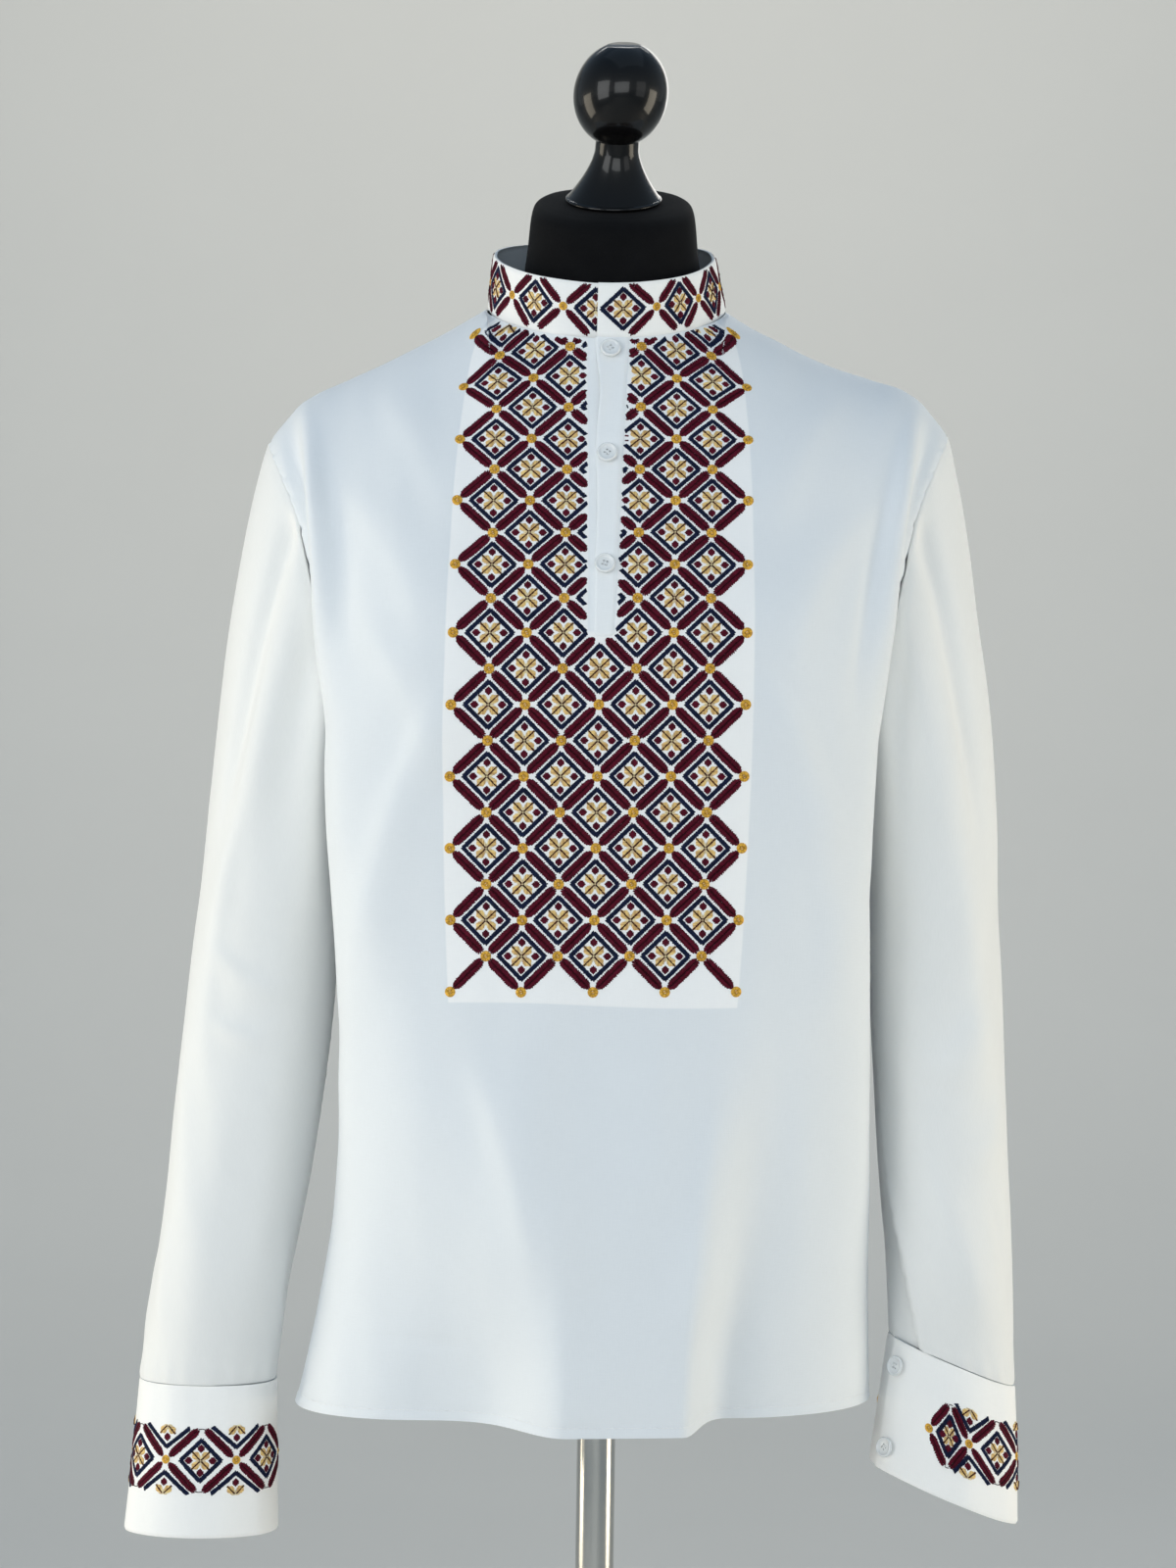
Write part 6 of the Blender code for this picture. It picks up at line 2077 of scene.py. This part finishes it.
# %% Collar rows
BAND_SCALE = 0.90
BAND_BAR_HALF_WIDTH = 0.0026
BAND_KNOT_SIZE = 0.84
COLLAR_KNOTS = (0.0397, 0.0817, 0.1235, 0.1653, 0.2071, 0.2489, 0.2907, 0.3325, 0.3735, 0.4100, 0.4454)
COLLAR_FIRST = 0.0187
COLLAR_LAST = 0.4679
COLLAR_CELL = 0.042
COLLAR_MIDDLE = 0.0182
COLLAR_BAR_UP = 0.0188
COLLAR_BAR_SHARE = 0.92
COLLAR_EDGE_MARGIN = 0.0005
COLLAR_START_MARGIN = 0.0035
COLLAR_END_MARGIN = 0.0008


def on_collar(x, y):
    """Whether a point of the chart lies on the collar, away from its folded edges and its lapped end."""
    inside = (-y > COLLAR_EDGE_MARGIN) & (-y < COLLAR_HEIGHT - COLLAR_EDGE_MARGIN)
    return inside & (x > COLLAR_FIRST - COLLAR_START_MARGIN) & (x < collar_length - COLLAR_END_MARGIN)


def pair_of_bars(chart, here, reach, up):
    for sign in (-1, 1):
        bar(chart, here, here + [reach, sign * up], BAND_BAR_HALF_WIDTH)


def embroider_collar(chart):
    knots = np.array(COLLAR_KNOTS)
    diamonds = [COLLAR_FIRST, *((knots[:-1] + knots[1:]) / 2), COLLAR_LAST]
    for k, x in enumerate(knots):
        here = np.array([x, -COLLAR_MIDDLE])
        knot(chart, here, BAND_KNOT_SIZE)
        for neighbour in diamonds[k : k + 2]:
            pair_of_bars(chart, here, (neighbour - x) * COLLAR_BAR_SHARE, COLLAR_BAR_UP)
    cells = np.diff([2 * diamonds[0] - knots[0], *knots, 2 * diamonds[-1] - knots[-1]])
    for x, cell in zip(diamonds, cells):
        diamond(chart, np.array([x, -COLLAR_MIDDLE]), BAND_SCALE * cell / COLLAR_CELL, -BAND_SCALE)


collar_work = new_chart(7, on_collar)
embroider_collar(collar_work)

# %% Cuff rows
CUFF_HALF_ROW = 0.0218
CUFF_CELL = 0.046
CUFF_CUT = 0.0222
CUFF_V_TIP = 0.0080
CUFF_V_REACH = (0.0165, 0.0216)
JOINT_IN = 0.0022
JOINT_HALF = 0.0023
JOINT_RISE = 0.0003
JOINT_LINE = (0.0006, 0.0008)
CUFF_ROWS_OF_KNOTS = (
    ("left", 11, -0.0470, (-0.2322, -0.1862, -0.1402, -0.0942, -0.0482)),
    ("right", 13, -0.0448, (0.0365, 0.0640, 0.1090, 0.1550, 0.2010, 0.2470)),
)


def half_diamond(chart, here, sign):
    above = here + [0, sign * CUFF_HALF_ROW]
    up_unit = np.array([0.0, BAND_SCALE])
    star(chart, above, np.array([BAND_SCALE, 0.0]), up_unit, arms=((1, -sign), (-1, -sign)))
    seed(chart, above, -sign * up_unit)


def embroider_cuff(chart, middle, knots):
    for k, x in enumerate(knots):
        here = np.array([x, middle])
        inner = 0 < k < len(knots) - 1
        knot(chart, here, BAND_KNOT_SIZE)
        for reach in [(neighbour - x) / 2 for neighbour in knots[max(k - 1, 0) : k + 2] if neighbour != x]:
            for sign in (-1, 1):
                bar(chart, here, here + [reach, sign * CUFF_HALF_ROW], BAND_BAR_HALF_WIDTH)
                if inner:
                    outer = here + [CUFF_V_REACH[0] * reach / (CUFF_CELL / 2), sign * CUFF_V_REACH[1]]
                    navy_side(chart, here + [0, sign * CUFF_V_TIP], outer)
        for sign in (-1, 1) if inner else ():
            half_diamond(chart, here, sign)
    for first, last in zip(knots, knots[1:]):
        centre = np.array([(first + last) / 2, middle])
        narrow = (last - first) / CUFF_CELL
        diamond(chart, centre, BAND_SCALE * narrow, BAND_SCALE)
        for sign in (-1, 1):
            joint = centre + [0, sign * (CUFF_HALF_ROW - JOINT_IN)]
            half = [JOINT_HALF * narrow, 0.0]
            points = np.array([joint - half, joint + [0, sign * JOINT_RISE], joint + half])
            add_line(chart, "dark", points, *JOINT_LINE)


def on_cuff(middle):
    return lambda x, y: np.abs(y - middle) < CUFF_CUT


cuff_work = {}
for name, number, middle, knots in CUFF_ROWS_OF_KNOTS:
    cuff_work[name] = new_chart(number, on_cuff(middle))
    embroider_cuff(cuff_work[name], middle, knots)


# %% [markdown]
# ## Threads
#
# Embroidery thread is mercerised cotton or rayon: deep in colour, with a soft silky gleam along each float.
# Every stitch carries a random tone, so neighbours differ a little, as threads that catch light at slightly
# different angles do.

# %% Thread materials
Thread = namedtuple("Thread", "colour roughness")
THREADS = {
    "burgundy": Thread((0.105, 0.0035, 0.0170), 0.60),
    "dark": Thread((0.012, 0.0020, 0.0040), 0.60),
    "brown": Thread((0.060, 0.0090, 0.0070), 0.60),
    "navy": Thread((0.0080, 0.0140, 0.0480), 0.60),
    "gold": Thread((0.800, 0.440, 0.062), 0.42),
    "ochre": Thread((0.360, 0.190, 0.036), 0.50),
    "straw": Thread((0.900, 0.560, 0.230), 0.46),
    "peach": Thread((0.920, 0.660, 0.400), 0.48),
}
SEAM_THREAD = Thread((0.88, 0.89, 0.89), 0.70)
SEAM_TONE_RANGE = 0.03
TONE_RANGE = 0.34
TONE_GAIN = 0.8
BRIGHTEST = 0.95


def thread_material(name, thread, tone_range=TONE_RANGE):
    fixed = {"Roughness": thread.roughness, "Specular_IOR_Level": 0.16}
    material, tree, shader = start_material("thread_" + name, **fixed)
    tone = add_node(tree, "ShaderNodeAttribute", attribute_name="tone").outputs["Fac"]
    dark = tuple(value * (1 - tone_range) for value in thread.colour)
    light = tuple(min(value * (1 + tone_range * TONE_GAIN), BRIGHTEST) for value in thread.colour)
    fibre = noise(tree, own_place(tree), 2600.0, 2.0)
    colour = mix_colour(tree, tone, dark, light)
    fill(tree, shader, {"Base Color": colour, "Normal": relief(tree, fibre, 0.25, 0.0002)})
    return material


thread_materials = {name: thread_material(name, thread) for name, thread in THREADS.items()}
works = (
    ("front", front_work, front_surface),
    ("collar", collar_work, collar_surface),
    ("cuff_left", cuff_work["left"], cuff_surfaces["left"]),
    ("cuff_right", cuff_work["right"], cuff_surfaces["right"]),
)
embroidery = []
for place, work, surface in works:
    for colour in work.basket:
        name = f"{place}_{colour}_stitches"
        embroidery.append(lay_chart(name, emptied(work, colour), surface, thread_materials[colour]))


# %% [markdown]
# ## Topstitching
#
# A lockstitch machine sews a line of even short stitches, about four to a centimetre, in white thread. They
# hold the turned edge of the hem. The collar, the cuffs and the placket are sewn from inside and then turned
# out, so no stitch shows on them. The line is drawn on the same flat charts as the embroidery, and is wrapped
# on the cloth in the same way.

# %% Lines of stitches
TOPSTITCH_PITCH = 0.0026
TOPSTITCH_GAP = 0.20
TOPSTITCH_WIDTH = 0.00040
TOPSTITCH_HEIGHT = 0.00010

seam_material = thread_material("white", SEAM_THREAD, SEAM_TONE_RANGE)


def topstitch(name, x, y, surface):
    """Even stitches along a line of chart points, laid on a surface."""
    line = np.stack([x, y], axis=1)
    gone = travelled(line)
    points = read_line(np.linspace(0, gone[-1], int(gone[-1] / TOPSTITCH_PITCH) + 1), gone, line)
    step = (points[1:] - points[:-1]) * TOPSTITCH_GAP / 2
    seam = new_chart(19, anywhere)
    add_floats(seam, "white", points[:-1] + step, points[1:] - step, TOPSTITCH_WIDTH, TOPSTITCH_HEIGHT)
    embroidery.append(lay_chart(name, emptied(seam, "white"), surface, seam_material))


topstitch("front_seam_stitches", across[0, 2:-2], HEM_WIDTH - down[0, 2:-2], front_surface)
topstitch("back_seam_stitches", back_chart[0][0, 2:-2], HEM_WIDTH - back_chart[1][0, 2:-2], back_surface)

for obj in (stitch, front_surface, back_surface, collar_surface, *cuff_surfaces.values()):
    bpy.data.objects.remove(obj, do_unlink=True)


# %% [markdown]
# ## White poplin
#
# The cloth is a fine plain weave of bleached cotton with a little linen in it. From two metres its threads
# can't be counted, but thicker and thinner ones show as faint crossing streaks. The streaks are drawn in the
# cloth's own coordinates, so they follow the warp and the weft round every panel. Behind the embroidery a
# stiff backing is fused to the front: it stops light passing through, and so its area is a little whiter.
# A single layer lets a little light through, so it is greyer over the black form, and two layers, as in the
# bands, are whitest. On top of that each piece has painted light and shade in its colour: a painted cool shade
# on the front and back, painted warm light on the sleeves, and the warmest on the bands.

# %% Weave
STREAK_FINE = 0.00055
STREAK_LONG = 0.0090
STREAK_TONE = 0.036
CLOUD_SIZE = (0.045, 0.060)
CLOUD_TONE = 0.012
WEAVE_DEPTH = 0.00012
LINING_SHADE = 0.94


def streaks(tree, cloth, width, length, start):
    """Noise drawn out along one thread direction of the cloth."""
    place = in_cells(tree, cloth, (width, length, 1.0), (start, start * 0.7, 0.0))
    return noise(tree, place, 1.0, 2.0, noise_dimensions="2D")


def weave_group():
    """Tone, close to 1, and height of the weave at a place on the cloth."""
    results = {"Tone": "Float", "Height": "Float"}
    tree, given, result = start_group("poplin_weave", "ShaderNodeTree", {"Cloth": "Vector"}, results)
    warp = streaks(tree, given["Cloth"], STREAK_FINE, STREAK_LONG, 0.13)
    weft = streaks(tree, given["Cloth"], STREAK_LONG * 0.8, STREAK_FINE, 0.41)
    cloud = streaks(tree, given["Cloth"], *CLOUD_SIZE, 0.77)
    both = maths(tree, "ADD", warp, weft)
    streak_tone = maths(tree, "MULTIPLY_ADD", both, STREAK_TONE, 1.0 - STREAK_TONE)
    cloud_tone = maths(tree, "MULTIPLY_ADD", cloud, CLOUD_TONE * 2, 1.0 - CLOUD_TONE)
    fill(tree, result, {"Tone": maths(tree, "MULTIPLY", streak_tone, cloud_tone), "Height": both})
    return tree


# %% Backing behind the embroidery
BACKING_HALF = 0.0966
BACKING_WAIST = 0.233
BACKING_NARROWING = 0.153
BACKING_END = 0.4320
BACKING_SOFTNESS = 0.0014
BACKING_SWAYS = 31.0
BACKING_SWAY = 0.0011


def inside_line(tree, value, limit):
    """1 where the value is under the limit, with a soft step to 0."""
    return smooth_step(tree, maths(tree, "SUBTRACT", limit, value), 0.0, BACKING_SOFTNESS)


def backing_group():
    """1 on the backed area of the front, which is waisted and ends above the hem."""
    tree, given, result = start_group("backing", "ShaderNodeTree", {"Cloth": "Vector"}, {"Backed": "Float"})
    parts = split(tree, given["Cloth"])
    from_waist = maths(tree, "SUBTRACT", parts["Y"], BACKING_WAIST)
    squared = maths(tree, "MULTIPLY", from_waist, from_waist)
    half = maths(tree, "MULTIPLY_ADD", squared, -BACKING_NARROWING, BACKING_HALF)
    sides = inside_line(tree, maths(tree, "ABSOLUTE", parts["X"]), half)
    sway = maths(tree, "SINE", maths(tree, "MULTIPLY", parts["X"], BACKING_SWAYS))
    end = inside_line(tree, parts["Y"], maths(tree, "MULTIPLY_ADD", sway, BACKING_SWAY, BACKING_END))
    fill(tree, result, {"Backed": maths(tree, "MULTIPLY", sides, end)})
    return tree


weave = weave_group()
backing = backing_group()

# %% Cloth materials
# Painted light and shade in the cloth's colours: the front and back colour is a painted cool shade, and the
# sleeve and band colours are painted warm light.
SHADED_OVER_FORM_COLOUR = (0.800, 0.830, 0.850)
WARM_LIT_SLEEVE_COLOUR = (0.870, 0.870, 0.848)
BACKED_COLOUR = (0.945, 0.945, 0.935)
WARM_LIT_BAND_COLOUR = (0.960, 0.950, 0.920)
PLACKET_COLOUR = (0.890, 0.910, 0.915)
# Painted shade: the inside of the collar and cuffs is painted a darker blue-grey.
BAND_LINING_PAINTED_SHADE = (0.520, 0.570, 0.610)


def poplin(name, colour, backed=None, painted_lining_shade=None):
    """White poplin. With a backed colour, the area behind the embroidery takes it."""
    fixed = {"Roughness": 0.78, "Specular_IOR_Level": 0.30, "Sheen_Weight": 0.16, "Sheen_Roughness": 0.45}
    material, tree, shader = start_material(name, **fixed)
    cloth = {"Cloth": add_node(tree, "ShaderNodeUVMap", uv_map="cloth").outputs["UV"]}
    threads_here = add_node(tree, "ShaderNodeGroup", cloth, node_tree=weave).outputs
    base = colour
    if backed:
        zone = add_node(tree, "ShaderNodeGroup", cloth, node_tree=backing)
        base = mix_colour(tree, zone.outputs["Backed"], colour, backed)
    inside = add_node(tree, "ShaderNodeAttribute", attribute_name="inside").outputs["Fac"]
    # Painted shade: the inside face of every piece is painted darker, by LINING_SHADE unless a darker lining is
    # given.
    base = mix_colour(tree, inside, base, painted_lining_shade or tuple(value * LINING_SHADE for value in colour))
    tone = dict.fromkeys(("Red", "Green", "Blue"), threads_here["Tone"])
    tone = add_node(tree, "ShaderNodeCombineColor", tone).outputs["Color"]
    base = mix_colour(tree, 1.0, base, tone, "MULTIPLY")
    normal = relief(tree, threads_here["Height"], 0.30, WEAVE_DEPTH)
    fill(tree, shader, {"Base Color": base, "Normal": normal})
    return material


# %% [markdown]
# ## Buttons, jersey, lacquer and steel
#
# The buttons are white resin, polished in a tumbler, with a faint pearly cloud. The form's jersey is a fine
# black knit, which is nearly matt, but its fuzz catches light at grazing angles. The finial is black lacquer
# under a clear coat with slight brush waves. The pole is chromed, with handling smudges that only change its
# roughness, and the base is turned steel, with fine rings left by the brushing.

# %% Other materials
KNIT_CELL = (0.0006, 0.0006, 0.0011)


def clouded(name, first, second, scale, detail=2.0, **sockets):
    """A material whose colour drifts between two over the object, with its cloud and its place."""
    material, tree, shader = start_material(name, **sockets)
    place = own_place(tree)
    cloud = noise(tree, place, scale, detail)
    fill(tree, shader, {"Base Color": mix_colour(tree, cloud, first, second)})
    return material, tree, shader, cloud, place


def button_resin():
    fixed = {"Roughness": 0.26, "Coat_Weight": 0.25, "Coat_Roughness": 0.10}
    return clouded("white_resin", (0.86, 0.87, 0.86), (0.78, 0.80, 0.80), 420.0, **fixed)[0]


def jersey():
    fixed = {"Roughness": 0.90, "Specular_IOR_Level": 0.10, "Sheen_Weight": 0.02, "Sheen_Roughness": 0.5}
    colours = ((0.0025, 0.0025, 0.0030), (0.0070, 0.0070, 0.0075))
    material, tree, shader, _, place = clouded("black_jersey", *colours, 60.0, 4.0, **fixed)
    loops = noise(tree, in_cells(tree, place, KNIT_CELL), 1.0, 1.0)
    fill(tree, shader, {"Normal": relief(tree, loops, 0.35, 0.0003)})
    return material


def lacquer():
    fixed = {"Roughness": 0.24, "Coat_Weight": 0.40, "Specular_IOR_Level": 0.14, "Coat_Roughness": 0.06}
    colours = ((0.0020, 0.0020, 0.0024), (0.0042, 0.0040, 0.0040))
    material, tree, shader, _, place = clouded("black_lacquer", *colours, 30.0, **fixed)
    fill(tree, shader, {"Coat Normal": relief(tree, noise(tree, place, 55.0, 1.0), 0.10, 0.0006)})
    return material


def chrome():
    colours = ((0.70, 0.68, 0.63), (0.63, 0.61, 0.57))
    material, tree, shader, cloud, _ = clouded("chrome", *colours, 25.0, 4.0, Metallic=1.0)
    fill(tree, shader, {"Roughness": maths(tree, "MULTIPLY_ADD", cloud, 0.14, 0.14)})
    return material


def brushed_steel():
    """Rings round the base's middle: noise read by the distance from it."""
    colours = ((0.50, 0.50, 0.51), (0.58, 0.58, 0.59))
    material, tree, shader, _, place = clouded("brushed_steel", *colours, 18.0, 3.0, Metallic=1.0)
    parts = split(tree, place)
    squares = [maths(tree, "MULTIPLY", parts[axis], parts[axis]) for axis in ("X", "Y")]
    radius = maths(tree, "SQRT", maths(tree, "ADD", *squares))
    inputs = {"W": radius, "Scale": 1400.0, "Detail": 3.0}
    rings = add_node(tree, "ShaderNodeTexNoise", inputs, noise_dimensions="1D").outputs["Fac"]
    roughness = maths(tree, "MULTIPLY_ADD", rings, 0.22, 0.20)
    fill(tree, shader, {"Roughness": roughness, "Normal": relief(tree, rings, 0.20, 0.0002)})
    return material


finishes = (
    (poplin("front_poplin", SHADED_OVER_FORM_COLOUR, BACKED_COLOUR), (shirt_front,)),
    (poplin("back_poplin", SHADED_OVER_FORM_COLOUR), (shirt_back,)),
    (poplin("sleeve_poplin", WARM_LIT_SLEEVE_COLOUR), sleeves.values()),
    (poplin("band_poplin", WARM_LIT_BAND_COLOUR, painted_lining_shade=BAND_LINING_PAINTED_SHADE), (collar, *cuffs.values())),
    (poplin("placket_poplin", PLACKET_COLOUR), (placket_under, placket_upper)),
    (seam_material, (button_threads,)),
    (button_resin(), buttons),
    (jersey(), (form,)),
    (lacquer(), (finial,)),
    (chrome(), (pole,)),
    (brushed_steel(), (base,)),
)
for material, objects in finishes:
    for obj in objects:
        obj.data.materials.clear()
        obj.data.materials.append(material)
print("finishes", [material.name for material, _ in finishes])


# %% [markdown]
# ## Joining the frame
#
# Every piece rides on the one body, and the plain solid that it stands for is hidden.

# %% Pieces and what they stand for
pieces = [
    (shirt_front, "white_poplin", "shirt_front"),
    (shirt_back, "white_poplin", "shirt_back"),
    (sleeves["left"], "white_poplin", "sleeve_left"),
    (sleeves["right"], "white_poplin", "sleeve_right"),
    (cuffs["left"], "white_poplin", "cuff_left"),
    (cuffs["right"], "white_poplin", "cuff_right"),
    (collar, "white_poplin", "collar"),
    (placket_under, "white_poplin", "placket_under"),
    (placket_upper, "white_poplin", "placket_upper"),
    (button_threads, "white_poplin", None),
    (form, "black_jersey", "form_torso"),
    (finial, "black_gloss_wood", "finial"),
    (pole, "chrome", "stand_pole"),
    (base, "brushed_steel", "stand_base"),
]
pieces += [(button, "white_button", place.name) for place, button in zip(button_places, buttons)]
pieces += [(obj, "white_poplin", None) for obj in embroidery]

for piece, slot, stands_for in pieces:
    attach(piece, "root")
    if stands_for:
        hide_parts(stands_for)

# %% The end
bpy.context.view_layer.update()
